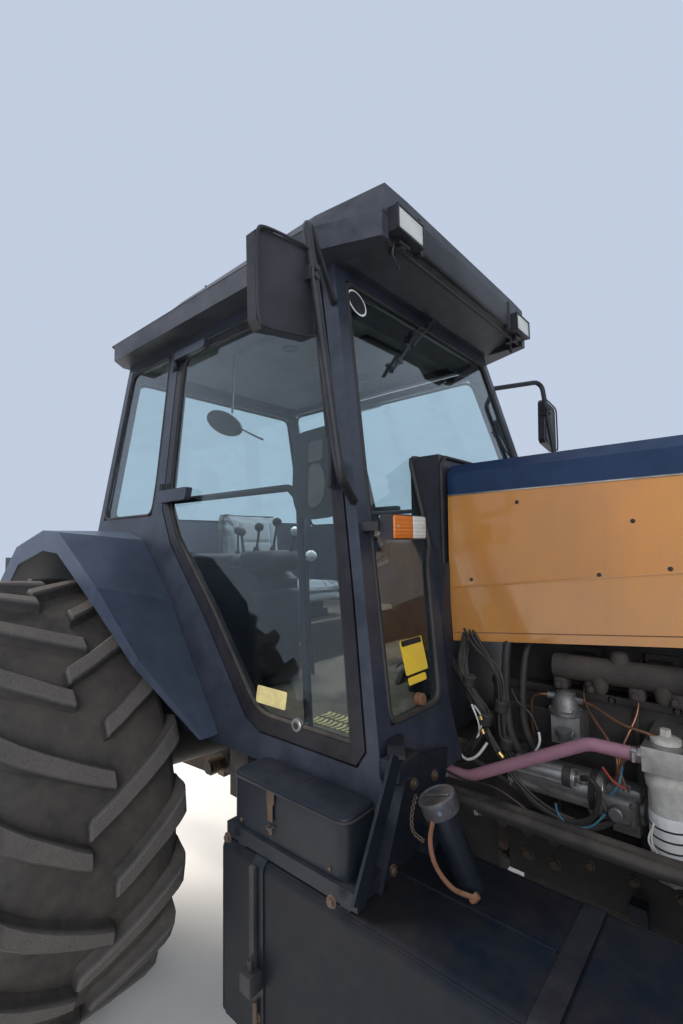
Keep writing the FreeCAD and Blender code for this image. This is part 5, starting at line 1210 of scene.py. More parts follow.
# %% Black wires
black = Shape()
wires(black, [at(1.46, -0.33, 1.40), at(1.478, -0.41, 1.29), at(1.52, -0.42, 1.21),
              at(1.553, -0.42, 1.14),
              at(1.516, -0.42, 1.07), at(1.47, -0.40, 1.0), at(1.41, -0.38, 0.965)], 11, 0.012,
      0.0042, 3)
wires(black, [at(1.41, -0.30, 1.46), at(1.50, -0.37, 1.37), at(1.584, -0.38, 1.27),
              at(1.591, -0.38, 1.10),
              at(1.622, -0.38, 1.03), at(1.70, -0.35, 0.99)], 7, 0.010, 0.0045, 5)
wires(black, [at(1.41, -0.35, 1.30), at(1.50, -0.40, 1.18), at(1.60, -0.40, 1.02),
              at(1.70, -0.39, 0.93),
              at(1.83, -0.38, 0.90), at(1.90, -0.36, 0.95)], 6, 0.010, 0.0040, 8)
black.tube([at(1.62, -0.30, 1.46), at(1.60, -0.345, 1.36), at(1.597, -0.36, 1.20),
            at(1.61, -0.355, 1.08),
            at(1.66, -0.33, 0.98)], 0.013, 12, 8)
black.tube([at(1.66, -0.26, 1.40), at(1.645, -0.32, 1.32), at(1.640, -0.34, 1.15),
            at(1.67, -0.33, 1.04)],
           0.011, 12, 8)
for p in (at(1.552, -0.42, 1.145), at(1.500, -0.415, 1.25), at(1.588, -0.38, 1.18),
          at(1.60, -0.38, 1.07)):
    black.rod(p - Vector((0.004, 0, 0.018)), p + Vector((0.004, 0, 0.018)), 0.0215, 14, 0.004)
black.tube([at(1.405, -0.47, 0.985), at(1.50, -0.485, 0.975), at(1.62, -0.50, 0.985),
            at(1.74, -0.49, 0.93)],
           0.0035, 6, 8)
black.build("wires_black", "chassis", RUBBER, "hose_rubber")

# %% [markdown]
# ## White, blue and red wires
# A few coloured wires with brass ends hang in front of the loom and draw the eye in the photograph.

# %% White, blue and red wires
pale_wires = Shape()
pale_wires.tube([at(1.462, -0.43, 1.028), at(1.498, -0.445, 1.018), at(1.534, -0.445, 1.038),
                 at(1.561, -0.43, 1.078)],
                0.0042, 8, 8)
pale_wires.tube([at(1.698, -0.375, 1.125), at(1.703, -0.385, 1.10), at(1.694, -0.40, 1.075),
                 at(1.68, -0.41, 1.055)],
                0.0036, 8, 8)
wires(pale_wires, [at(1.525, -0.44, 1.19), at(1.548, -0.44, 1.14), at(1.53, -0.44, 1.09)], 3, 0.008,
      0.0022, 4)
wires(pale_wires, [at(1.99, -0.455, 1.00), at(1.985, -0.46, 0.96), at(2.00, -0.455, 0.925)], 2, 0.006,
      0.0022, 6)
pale_wires.build("wires_white", "chassis", WIRE_WHITE)
thin = Shape()
thin.tube([at(1.618, -0.37, 1.235), at(1.64, -0.375, 1.20), at(1.676, -0.375, 1.172),
           at(1.695, -0.375, 1.13)],
          0.0030, 6, 8)
thin.build("wire_loom_tail", "chassis", RUBBER, "hose_rubber")
blue = Shape()
blue.tube([at(1.744, -0.395, 0.945), at(1.752, -0.395, 0.915), at(1.785, -0.392, 0.897),
           at(1.831, -0.386, 0.908),
           at(1.868, -0.378, 0.95)], 0.0030, 8, 8)
blue.tube([at(1.880, -0.375, 1.00), at(1.905, -0.385, 1.04), at(1.912, -0.36, 1.08)], 0.0028, 8, 8)
blue.build("wires_blue", "chassis", WIRE_BLUE)
red = Shape()
red.tube([at(1.868, -0.385, 1.075), at(1.895, -0.395, 1.050), at(1.920, -0.385, 1.035)], 0.0032, 8, 8)
red.build("wire_red", "chassis", WIRE_RED)
sleeves = Shape()
for p, q in ((at(1.556, -0.455, 1.125), at(1.562, -0.455, 1.112)),
             (at(1.545, -0.44, 1.158), at(1.549, -0.44, 1.146)),
             (at(1.592, -0.42, 1.055), at(1.606, -0.42, 1.042))):
    sleeves.rod(p, q, 0.0065, 10, 0.001)
sleeves.build("wire_terminals", "chassis", BRASS)

# %% [markdown]
# ## Lift pump and fuel pipes
# The pump is a turned dome with a ring of screws. Copper pipes carry fuel to the filter and the
# injectors.

# %% Lift pump and fuel pipes
pump = Shape()
pump.lathe(at(1.76, -0.318, 1.176), (0, 0, 1), [(0, 0.044), (0.003, 0.047), (0.012, 0.047),
                                                (0.015, 0.040), (0.040, 0.036),
                                             (0.058, 0.028), (0.068, 0.012), (0.070, 0.004)], 28)
for k in range(6):
    turn = math.pi / 3 * k + 0.3
    spot = at(1.76, -0.318, 1.188) + Vector((math.cos(turn), math.sin(turn), 0)) * 0.041
    pump.rod(spot, spot + Vector((0, 0, 0.008)), 0.0045, 6)
pump.rod(at(1.712, -0.325, 1.225), at(1.735, -0.325, 1.225), 0.010, 12)
pump.rod(at(1.790, -0.325, 1.222), at(1.812, -0.325, 1.222), 0.009, 6)
pump.lathe(at(1.762, -0.352, 1.105), (0, 0, 1), [(0, 0.008), (0.004, 0.016), (0.022, 0.018),
        (0.030, 0.022), (0.036, 0.022)], 20)
pump.block(at(1.735, -0.352, 1.118), at(1.790, -0.328, 1.138), 0.004)
pump.rod(at(1.772, -0.352, 1.088), at(1.772, -0.352, 1.108), 0.008, 6)
pump.build("lift_pump", "chassis", ALLOY, "fitting_metal")
pipes = Shape()
pipes.tube([at(1.812, -0.325, 1.222), at(1.85, -0.345, 1.218), at(1.92, -0.385, 1.20),
            at(1.985, -0.405, 1.195),
            at(2.005, -0.405, 1.185)], 0.0042, 8, 8)
pipes.tube([at(1.712, -0.325, 1.225), at(1.69, -0.325, 1.222), at(1.66, -0.31, 1.20),
            at(1.645, -0.28, 1.12),
            at(1.64, -0.245, 1.02)], 0.0042, 8, 8)
for k in range(4):
    x = 1.80 + 0.135 * k
    pipes.tube([at(1.885 + 0.012 * k, -0.345, 1.005), at(1.89 + 0.012 * k, -0.335, 1.10),
                at(x, -0.262, 1.20),
                at(x, -0.225, 1.28), at(x, -0.175, 1.33)], 0.0034, 8, 8)
pipes.build("fuel_pipes", "chassis", COPPER)

# %% [markdown]
# ## Injection pump
# A cast body between two turned ends, with four unions for the pipes above it.

# %% Injection pump
feed = Shape()
feed.block(at(1.845, -0.365, 0.925), at(1.945, -0.262, 0.995), 0.016, 3)
feed.block(at(1.865, -0.350, 0.985), at(1.950, -0.285, 1.020), 0.010, 2)
feed.lathe(at(1.815, -0.315, 0.955), (1, 0, 0), [(0, 0.040), (0.006, 0.046), (0.020, 0.046),
        (0.026, 0.036), (0.034, 0.036)], 28)
feed.lathe(at(1.942, -0.315, 0.958), (1, 0, 0), [(0, 0.034), (0.012, 0.034), (0.018, 0.022),
        (0.040, 0.020), (0.046, 0.012)], 24)
feed.rod(at(1.895, -0.365, 0.960), at(1.895, -0.392, 0.960), 0.018, 20, 0.003)
feed.block(at(1.86, -0.275, 0.86), at(1.93, -0.232, 0.955), 0.004)
for k in range(4):
    feed.rod(at(1.885 + 0.012 * k, -0.345, 1.002), at(1.885 + 0.012 * k, -0.345, 1.030), 0.0055, 6)
feed.tube([at(1.87, -0.37, 0.955), at(1.862, -0.382, 0.985), at(1.86, -0.385, 1.02)], 0.0045, 8, 5)
bolts(feed, [at(x, -0.366, z) for x, z in ((1.858, 0.937), (1.932, 0.937), (1.858, 0.984),
                                           (1.932, 0.984))], (0, -1, 0), 0.006, 0.006)
feed.build("injection_pump", "chassis", ALLOY, "fitting_metal")

# %% [markdown]
# ## Starter and its cables
# The solid gives the starter's two cylinders. Bands, terminals and a heavy cable tell what they
# are.

# %% Starter and its cables
starter = Shape()
for x in (1.606, 1.845):
    band(starter, at(x, -0.330, 0.985), (1, 0, 0), 0.0515, 0.003, 0.012)
starter.lathe(at(1.854, -0.330, 0.985), (1, 0, 0), [(0, 0.050), (0.008, 0.046), (0.014, 0.024),
        (0.018, 0.010)], 32)
starter.lathe(at(1.794, -0.395, 1.030), (1, 0, 0), [(0, 0.024), (0.008, 0.022), (0.012, 0.016)], 24)
for y, z in ((-0.408, 1.040), (-0.384, 1.020)):
    starter.rod(at(1.80, y, z), at(1.826, y, z), 0.0050, 12)
    starter.rod(at(1.810, y, z), at(1.816, y, z), 0.0090, 6)
bolts(starter, [at(1.608, -0.372, 1.018), at(1.608, -0.372, 0.952)], (-1, 0, 0), 0.006, 0.006)
starter.build("starter_details", "chassis", BRIGHT, "fitting_metal")
black_parts = Shape()
band(black_parts, at(1.826, -0.330, 0.985), (1, 0, 0), 0.0518, 0.0017, 0.019)
band(black_parts, at(1.770, -0.395, 1.030), (1, 0, 0), 0.0258, 0.0017, 0.024, sides=24)
black_parts.tube([at(1.820, -0.408, 1.040), at(1.845, -0.415, 1.045), at(1.862, -0.41, 1.01),
                  at(1.84, -0.40, 0.94),
                  at(1.77, -0.39, 0.905), at(1.66, -0.375, 0.93), at(1.55, -0.37, 0.97),
                  at(1.41, -0.36, 1.0)], 0.0075, 10, 8)
black_parts.build("starter_cables", "chassis", RUBBER, "hose_rubber")

# %% [markdown]
# ## Fuel filter
# The filter is a pale can under a cast head. Its label keeps its bands and loses its print.

# %% Fuel filter
can = Shape()
can.lathe(at(2.02, -0.400, 0.862), (0, 0, 1), [(0, 0.036), (0.004, 0.0445), (0.014, 0.0455),
                                               (0.018, 0.0446), (0.206, 0.0446),
                                              (0.214, 0.049), (0.232, 0.051), (0.240, 0.049),
                                               (0.256, 0.0446)], 40)
can.lathe(at(2.02, -0.400, 1.179), (0, 0, 1), [(0, 0.030), (0.002, 0.034), (0.012, 0.034),
                                               (0.016, 0.028), (0.019, 0.014)], 32)
can.rod(at(2.02, -0.400, 1.196), at(2.02, -0.400, 1.214), 0.013, 6)
can.rod(at(2.02, -0.400, 0.838), at(2.02, -0.400, 0.866), 0.011, 6)
can.build("filter_can", "chassis", FILTER, "fitting_metal")
wrap = band(Shape(), at(2.02, -0.400, 0.915), (0, 0, 1), 0.0448, 0.0006, 0.100, 0.0005, 40)
wrap.build("filter_label", "chassis", WHITE_LABEL)
marks = Shape()
for k in range(3):
    band(marks, at(2.02, -0.400, 0.935 + 0.024 * k), (0, 0, 1), 0.0453, 0.0004, 0.005, 0.0003, 40)
marks.build("filter_label_bands", "chassis", TRIM)
adapter = Shape()
adapter.rod(at(1.9745, -0.440, 1.150), at(1.985, -0.440, 1.150), 0.021, 6)
adapter.rod(at(2.0, -0.405, 1.178), at(2.0, -0.405, 1.198), 0.010, 6)
adapter.rod(at(1.968, -0.425, 1.162), at(1.982, -0.425, 1.162), 0.009, 6)
adapter.build("filter_unions", "chassis", COPPER)

# %% [markdown]
# ## Exhaust manifold
# Cast bosses carry the studs. Their rough brown finish tells that they run hot.

# %% Exhaust manifold
studs = Shape()
for x in (1.79, 1.99, 2.19):
    for dx in (-0.045, 0.045):
        studs.block(at(x + dx - 0.020, -0.315, 1.242), at(x + dx + 0.020, -0.262, 1.300), 0.010, 3)
        studs.rod(at(x + dx, -0.318, 1.262), at(x + dx, -0.332, 1.262), 0.0085, 6)
for x in (1.856, 2.008, 2.16):
    studs.lathe(at(x, -0.312, 1.298), (0, 0, -1), [(0, 0.024), (0.020, 0.022), (0.040, 0.018),
            (0.050, 0.010)], 20)
for x in (1.905, 2.09):
    studs.lathe(at(x, -0.300, 1.335), (0, 0, 1), [(0, 0.026), (0.022, 0.024), (0.034, 0.020),
            (0.040, 0.010)], 20)
studs.build("manifold_bosses", "chassis", MANIFOLD, "rusty_iron")

# %% [markdown]
# ## Engine block
# Core plugs, ribs, flanges and bolts break up the block's flat side. They are real parts of every
# engine of this kind, placed by guess where the photograph is dark.

# %% Engine block
block = Shape()
for hand in (-1, 1):
    for k in range(4):
        x = 1.60 + 0.225 * k
        if hand > 0 or x > 2.05:
            block.lathe(at(x, hand * 0.233, 0.93), (0, hand, 0),
                        [(0, 0.030), (0.004, 0.032), (0.008, 0.030), (0.010, 0.024), (0.006, 0.020)],
                        28)
        block.block(at(x + 0.095, hand * 0.228, 0.66), at(x + 0.111, hand * 0.246, 1.20), 0.005)
    for low, high in ((1.208, 1.232), (0.645, 0.672)):
        block.block(at(1.502, hand * 0.230, low), at(2.398, hand * 0.252, high), 0.005)
    cover_edge = 0.246 if hand > 0 else -0.230
    block.block(at(1.515, 0.230 if hand > 0 else -0.252, 1.04), at(1.70, cover_edge, 1.16), 0.008, 3)
    bolts(block, [at(1.53 + 0.093 * k, hand * 0.250, 0.658) for k in range(10)], (0, hand, 0), 0.008,
          0.008)
    bolts(block, [at(1.55 + 0.16 * k, hand * 0.250, 1.220) for k in range(6)], (0, hand, 0), 0.008,
          0.008)
block.build("block_details", "chassis", ENGINE, "engine_paint")
cover = Shape()
for k in range(4):
    x = 1.62 + 0.22 * k
    cover.rod(at(x, 0, 1.462), at(x, 0, 1.484), 0.016, 24, 0.004)
    cover.rod(at(x, 0, 1.480), at(x, 0, 1.494), 0.009, 6)
cover.lathe(at(2.33, 0.04, 1.462), (0, 0, 1), [(0, 0.034), (0.02, 0.034), (0.024, 0.040),
                                               (0.038, 0.038), (0.042, 0.02)], 28)
for hand in (-1, 1):
    bolts(cover, [at(x, hand * 0.140, 1.389) for x in (1.66, 1.84, 2.02, 2.20)], (0, 0, 1), 0.009,
          0.010)
cover.build("cover_details", "chassis", BRIGHT, "fitting_metal")

# %% [markdown]
# ## Fan, pulleys and belt
# The belt is a loop that leaves one pulley and meets the other. Blades are one plate turned six
# times.

# %% Fan, pulleys and belt
fan = Shape()
fan.lathe(at(2.40, 0, 1.29), (1, 0, 0), [(0, 0.040), (0.02, 0.040), (0.024, 0.085), (0.030, 0.092),
                                         (0.036, 0.085), (0.050, 0.085),
                                         (0.056, 0.092), (0.062, 0.085), (0.066, 0.045),
                                         (0.14, 0.045), (0.15, 0.060), (0.165, 0.060), (0.17, 0.03)],
          36)
fan.lathe(at(2.40, 0, 0.84), (1, 0, 0), [(0, 0.045), (0.02, 0.045), (0.024, 0.095), (0.030, 0.102),
                                         (0.036, 0.095), (0.050, 0.095),
                                         (0.056, 0.102), (0.062, 0.095), (0.066, 0.03)], 36)
blade = Shape()
blade.plate([at(2.548, -0.03, 1.29 + 0.05), at(2.562, 0.03, 1.29 + 0.05),
             at(2.575, 0.055, 1.29 + 0.205), at(2.535, -0.045, 1.29 + 0.205)],
            Vector((0.003, -0.0015, 0)))
for k in range(6):
    turn = Matrix.Rotation(math.pi / 3 * k, 3, "X")
    hub = at(0, 0, 1.29)
    hub.x = 0
    fan.add([turn @ (v - hub) + hub for v in blade.verts], blade.faces)
fan.build("fan_and_pulleys", "chassis", CHASSIS, "chassis_grey")
belt = Shape()
loop = [at(2.442, math.cos(t) * 0.090, 1.29 + math.sin(t) * 0.090)
        for t in (0.0, 0.6, 1.2, 1.6, 2.0, 2.6, math.pi)]
loop += [at(2.442, -math.cos(t) * 0.098, 0.84 - math.sin(t) * 0.098)
         for t in (0.0, 0.6, 1.2, 1.6, 2.0, 2.6, math.pi)]
belt.tube(loop, 0.008, 8, 1, True)
belt.tube([at(2.36, 0.05, 1.42), at(2.44, 0.06, 1.50), at(2.56, 0.08, 1.66), at(2.66, 0.09, 1.815)],
          0.024, 16, 8)
belt.build("belt_and_water_hose", "chassis", RUBBER, "hose_rubber")

# %% [markdown]
# ## Left side of the engine
# The photograph doesn't show this side. Plain fittings of the usual kind keep it from being bare.

# %% Left side of the engine
left = Shape()
left.lathe(at(2.13, 0.315, 1.12), (1, 0, 0), [(0, 0.052), (0.006, 0.062), (0.12, 0.062),
                                              (0.128, 0.054), (0.134, 0.030), (0.165, 0.026)], 32)
left.block(at(2.16, 0.232, 1.06), at(2.22, 0.30, 1.10), 0.005)
left.lathe(at(1.86, 0.315, 0.83), (0, 0, 1), [(0, 0.040), (0.006, 0.047), (0.13, 0.047),
                                              (0.135, 0.052), (0.15, 0.052)], 32)
left.block(at(1.82, 0.232, 0.965), at(1.90, 0.36, 1.03), 0.010, 2)
left.build("left_fittings", "chassis", ALLOY, "fitting_metal")
air = Shape()
air.tube([at(1.75, 0.262, 1.30), at(2.25, 0.262, 1.30)], 0.038, 18, 1)
for x in (1.80, 1.99, 2.18):
    air.tube([at(x, 0.262, 1.30), at(x, 0.20, 1.31), at(x, 0.16, 1.31)], 0.028, 14, 4)
air.tube([at(2.25, 0.262, 1.30), at(2.36, 0.262, 1.33), at(2.46, 0.255, 1.45), at(2.49, 0.24, 1.60)],
         0.040, 18, 8)
air.build("air_manifold", "chassis", TRIM, "trim_black")

# %% [markdown]
# ## Walls and lids
# A box of folded sheet is a ring with a floor, and its lid is a plate with soft edges. Both come
# from one outline.

# %% Walls and lids
def shell(shape, outline, z0, z1, wall, floor=0.0):
    """An upright ring of plan points with a wall, closed below when it has a floor."""
    inner = inset(outline, wall)
    count = len(outline)
    rings = [[at(*p, z0) for p in outline], [at(*p, z1) for p in outline],
             [at(*p, z1) for p in inner], [at(*p, z0 + floor) for p in inner]]
    faces = []
    for r in range(3 if floor else 4):
        for k in range(count):
            n = (k + 1) % count
            low, high = r * count, (r + 1) % 4 * count
            faces.append([low + k, low + n, high + n, high + k])
    if floor:
        faces += [list(range(count))[::-1], [3 * count + k for k in range(count)]]
    return shape.add([p for ring in rings for p in ring], faces)


def slab(shape, outline, z0, z1, soft):
    """A plan outline as a plate with softened upper and lower edges."""
    rows = [(soft, z0), (0, z0 + soft), (0, z1 - soft), (soft, z1)]
    rings = [[at(*p, z) for p in (inset(outline, amount) if amount else outline)] for amount, z in rows]
    count = len(outline)
    faces = [[r * count + k, r * count + (k + 1) % count, (r + 1) * count + (k + 1) % count,
              (r + 1) * count + k]
             for r in range(3) for k in range(count)]
    faces += [list(range(count))[::-1], [3 * count + k for k in range(count)]]
    return shape.add([p for ring in rings for p in ring], faces)

# %% [markdown]
# ## Toolbox
# These replace the toolbox's solids, so that its corners are as round as pressed sheet. The hasp
# rides on the lid and the staple stays on the box.

# %% Toolbox
plan = [(1.117, -1.045), (1.516, -1.045), (1.516, -0.925), (1.117, -0.925)]
box_plan = softened(plan, 0.034, 5)
box_walls = Shape()
shell(box_walls, box_plan, 0.958, 1.076, 0.003, 0.003)
item = box_walls.build("toolbox_walls", "chassis", FRAME_BLACK, "toolbox_black", 50)
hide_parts("toolbox")
lid = Shape()
slab(lid, box_plan, 1.0763, 1.0883, 0.004)
item = lid.build("toolbox_lid_plate", "lid", FRAME_BLACK, "toolbox_black", 50)
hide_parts("toolbox_lid")
rim = Shape()
rim.tube([at(x, y, 1.0792) for x, y in inset(box_plan, -0.0012)], 0.0030, 8, 1, True)
rim.block(at(1.309, -1.040, 1.0875), at(1.312, -0.930, 1.0892), 0.0006, 1)
rim.build("toolbox_rim", "lid", TRIM, "toolbox_black")
hasp = Shape()
hasp.block(at(1.262, -1.0505, 1.052), at(1.290, -1.0475, 1.080), 0.001)
hasp.block(at(1.266, -1.0515, 1.010), at(1.286, -1.0490, 1.056), 0.001)
hasp.build("toolbox_hasp", "lid", IRON, "worn_steel")
latch = Shape()
latch.tube([at(1.268, -1.044, 0.998), at(1.268, -1.054, 0.996), at(1.276, -1.057, 0.995),
            at(1.284, -1.054, 0.996),
            at(1.284, -1.044, 0.998)], 0.0022, 8, 5)
latch.rod(at(1.276, -1.0445, 0.984), at(1.276, -1.050, 0.984), 0.007, 14)
for x in (1.16, 1.47):
    latch.rod(at(x, -1.044, 0.975), at(x, -1.049, 0.975), 0.0045, 10)
latch.build("toolbox_staple", "chassis", IRON, "worn_steel")

# %% [markdown]
# ## Tank seams and straps
# A moulded tank has welded seams. Thin tubes on its edges catch the light as they do.

# %% Tank seams and straps
tank = Shape()
for x0, x1 in ((1.112, 1.228), (1.274, 1.901), (1.947, 2.100)):
    for y, z in ((-1.0595, 0.9105), (-1.0595, 0.4875), (-0.7105, 0.9105)):
        tank.tube([at(x0, y, z), at(x1, y, z)], 0.0032, 8, 1)
tank.tube([at(1.279, -0.885, 0.9185), at(1.896, -0.885, 0.9185)], 0.0030, 8, 1)
for x in (1.111, 2.101):
    ring = [(-1.064, 0.892), (-1.042, 0.914), (-0.728, 0.914), (-0.706, 0.892), (-0.706, 0.506),
            (-0.728, 0.484),
            (-1.042, 0.484), (-1.064, 0.506)]
    tank.tube([at(x, y, z) for y, z in ring], 0.0045, 8, 1, True)
tank.build("tank_seams", "chassis", TANK, "tank_black")
plug = Shape()
plug.rod(at(1.60, -0.885, 0.470), at(1.60, -0.885, 0.482), 0.022, 6)
for x in (1.251, 1.924):
    bolts(plug, [at(x, -1.0715, 0.56)], (0, -1, 0), 0.008, 0.008)
    plug.rod(at(x, -1.078, 0.50), at(x, -1.078, 0.60), 0.006, 10)
plug.build("tank_plugs", "chassis", IRON, "worn_steel")
foot = Shape()
foot.block(at(1.232, -1.083, 0.66), at(1.252, -1.0695, 0.905), 0.003)
foot.block(at(1.226, -1.108, 0.628), at(1.268, -1.069, 0.676), 0.006)
foot.rod(at(1.247, -1.090, 0.676), at(1.247, -1.090, 0.700), 0.008, 6)
foot.build("tank_strap_foot", "chassis", TRIM, "frame_black")

# %% [markdown]
# ## Filler cap, hose and chain
# The cap is turned round the neck's own axis. The chain is small rings, each turned against the
# last.

# %% Filler cap, hose and chain
top = at(1.6324, -0.8583, 1.1067)
way = Vector((-45, -32, 150)).normalized()
cap = Shape()
across = way.cross(Vector((0, 1, 0))).normalized()
cap.lathe(top - way * 0.034, way, [(0, 0.0415), (0.002, 0.0428), (0.028, 0.0428), (0.033, 0.0445),
                                   (0.037, 0.0440),
                                   (0.039, 0.0410), (0.0375, 0.0385), (0.0360, 0.0365),
                                   (0.0360, 0.004)], 44)
cap.rod(top + way * 0.004 - across * 0.034, top + way * 0.004 + across * 0.034, 0.0035, 10)
for k in range(3):
    turn = 2 * math.pi / 3 * k
    out = across * math.cos(turn) + way.cross(across) * math.sin(turn)
    cap.rod(top - way * 0.014 + out * 0.040, top - way * 0.014 + out * 0.0465, 0.006, 10)
cap.build("filler_cap", "chassis", CAP_METAL, "worn_steel")
hose = Shape()
hose.tube([at(1.640, -0.888, 1.072), at(1.640, -0.903, 1.030), at(1.654, -0.905, 0.985),
           at(1.684, -0.890, 0.945),
           at(1.718, -0.862, 0.926)], 0.0052, 10, 8)
hose.rod(at(1.714, -0.865, 0.917), at(1.727, -0.857, 0.932), 0.008, 8)
hose.build("breather_hose", "chassis", RUST)
chain = Shape()
route = rounded([top - way * 0.004 + Vector((-0.046, -0.016, 0)), at(1.586, -0.890, 1.070),
                 at(1.592, -0.898, 1.035),
                 at(1.616, -0.892, 1.018)], 7, False)
for k, (p, q) in enumerate(zip(route, route[1:])):
    along = (q - p).normalized()
    flat_side = along.cross(Vector((0, 1, 0)) if k % 2 else Vector((1, 0, 0))).normalized()
    middle = (p + q) / 2
    reach = (q - p).length * 0.62
    ring = [middle + along * (reach * math.cos(t)) + flat_side * (0.0042 * math.sin(t))
            for t in [2 * math.pi * i / 8 for i in range(8)]]
    chain.tube(ring, 0.0013, 6, 1, True)
chain.build("cap_chain", "chassis", IRON, "worn_steel")

# %% [markdown]
# ## Bracket and frame bolts
# A folded plate ties the cab's corner to the steps, and bolts show where the frame is held.

# %% Bracket and frame bolts
gusset = Shape()
outline = [(-0.985, 0.884), (-0.848, 1.155), (-0.620, 1.118), (-0.640, 1.030), (-0.742, 0.955),
           (-0.838, 0.878)]
gusset.plate([at(1.526, y, z) for y, z in outline], Vector((0.007, 0, 0)))
gusset.plate([at(1.520, -0.985, 0.884), at(1.520, -0.848, 1.155), at(1.556, -0.848, 1.155),
              at(1.556, -0.985, 0.884)],
             Vector((0, -0.005, 0.0015)))
gusset.plate([at(1.533, -0.742, 0.955), at(1.533, -0.838, 0.878), at(1.575, -0.838, 0.878),
              at(1.575, -0.742, 0.955)],
             Vector((0, 0.004, -0.005)))
gusset.block(at(1.500, -0.905, 1.120), at(1.560, -0.800, 1.172), 0.010, 3)
gusset.build("cab_corner_bracket", "chassis", FRAME_BLACK, "frame_black")
joins = Shape()
bolts(joins, [at(1.534, -0.800, 1.085), at(1.534, -0.700, 1.070), at(1.534, -0.900, 0.925)],
      (1, 0, 0), 0.010, 0.008)
bolts(joins, [at(1.500, -1.075, 0.935), at(1.14, -1.075, 0.935)], (0, -1, 0), 0.009, 0.008)
for hand in (-1, 1):
    y = hand * 0.2925
    for x in (1.54, 1.62, 1.70, 2.30, 2.38, 3.05, 3.14, 3.23):
        bolts(joins, [at(x, y, 0.715), at(x, y, 0.785)], (0, hand, 0), 0.013, 0.012)
    bolts(joins, [at(1.80 + 0.11 * k, y, 0.75) for k in range(3)], (0, hand, 0), 0.010, 0.010)
joins.build("frame_bolts", "chassis", IRON, "worn_steel")

# %% [markdown]
# ## Front drive shaft
# The shaft to the front axle has a joint at each end. It is fixed here, and only its form is shown.

# %% Front drive shaft
shaft = Shape()
start, end = at(1.15, 0.10, 0.50), at(2.72, 0.06, 0.545)
line = (end - start).normalized()
shaft.rod(start, end, 0.022, 20)
for p in (start, end - line * 0.09):
    shaft.lathe(p, line, [(0, 0.040), (0.012, 0.042), (0.020, 0.030), (0.05, 0.034), (0.07, 0.030),
                          (0.088, 0.042), (0.098, 0.040)], 24)
shaft.build("front_drive_shaft", "chassis", CHASSIS, "chassis_grey")

# %% [markdown]
# ## Couplers, shield and plate
# Oil couplers, the power shaft's shield and its splines are at the rear, where they are guessed
# from the usual kind. The plate is blank.

# %% Couplers, shield and plate
rear = Shape()
for k, y in enumerate((-0.15, -0.09, 0.09, 0.15)):
    rear.rod(at(-0.262, y, 1.015), at(-0.330, y, 1.015), 0.017, 20, 0.003)
    rear.rod(at(-0.330, y, 1.015), at(-0.348, y, 1.015), 0.021, 20, 0.004)
rear.block(at(-0.285, -0.185, 0.985), at(-0.262, 0.185, 1.045), 0.006)
rear.build("hydraulic_couplers", "chassis", BRIGHT, "worn_steel")
shield = Shape()
arc = [(-0.105, 0.60), (-0.105, 0.70), (-0.075, 0.735), (0.075, 0.735), (0.105, 0.70), (0.105, 0.60)]
for (y0, z0), (y1, z1) in zip(arc, arc[1:]):
    shield.plate([at(-0.266, y0, z0), at(-0.266, y1, z1), at(-0.375, y1, z1), at(-0.375, y0, z0)],
                 Vector((0, (z1 - z0), -(y1 - y0))).normalized() * -0.004)
shield.build("power_shaft_shield", "chassis", FRAME_BLACK, "frame_black")
plate = Shape()
plate.block(at(-0.392, -0.26, 1.56), at(-0.3855, 0.26, 1.67), 0.002)
plate.build("blank_plate", "chassis", WHITE_LABEL)
splines = Shape()
tooth = Shape().block(at(-0.350, -0.0028, 0.655), at(-0.300, 0.0028, 0.6595), 0.0008, 1)
for k in range(12):
    turn = Matrix.Rotation(math.pi / 6 * k, 3, "X")
    hub = Vector((0, 0, 0.640))
    splines.add([turn @ (v - hub) + hub for v in tooth.verts], tooth.faces)
splines.build("power_shaft_splines", "chassis", BRIGHT, "worn_steel")

# %% [markdown]
# ## Gearbox covers
# A round cover with six bolts and two ribs break up the gearbox's side.

# %% Gearbox covers
side_gear = Shape()
for hand in (-1, 1):
    side_gear.lathe(at(0.72, hand * 0.184, 0.80), (0, hand, 0),
                    [(0, 0.075), (0.010, 0.078), (0.016, 0.070), (0.018, 0.030), (0.026, 0.026)], 32)
    bolts(side_gear, [at(0.72 + 0.062 * math.cos(t), hand * 0.200, 0.80 + 0.062 * math.sin(t))
                      for t in [math.pi / 3 * k for k in range(6)]], (0, hand, 0), 0.007, 0.007)
    for x in (0.45, 1.00):
        side_gear.block(at(x - 0.012, hand * 0.180, 0.56), at(x + 0.012, hand * 0.196, 0.98), 0.006)
side_gear.build("gearbox_details", "chassis", CHASSIS, "chassis_grey")

# %% [markdown]
# ## Door hardware
# Hinge covers and the latch ride on the doors, so they are built on each door's body and swing with
# it.

# %% Door hardware
def on_door(shape, outline, out, inner, hand):
    """A flat plate on the door's leaning plane; out and inner are its distances from that plane."""
    front = [side(x, z, out, hand) for x, z in outline]
    return shape.plate(front, Vector((0, hand * (inner - out), 0)))


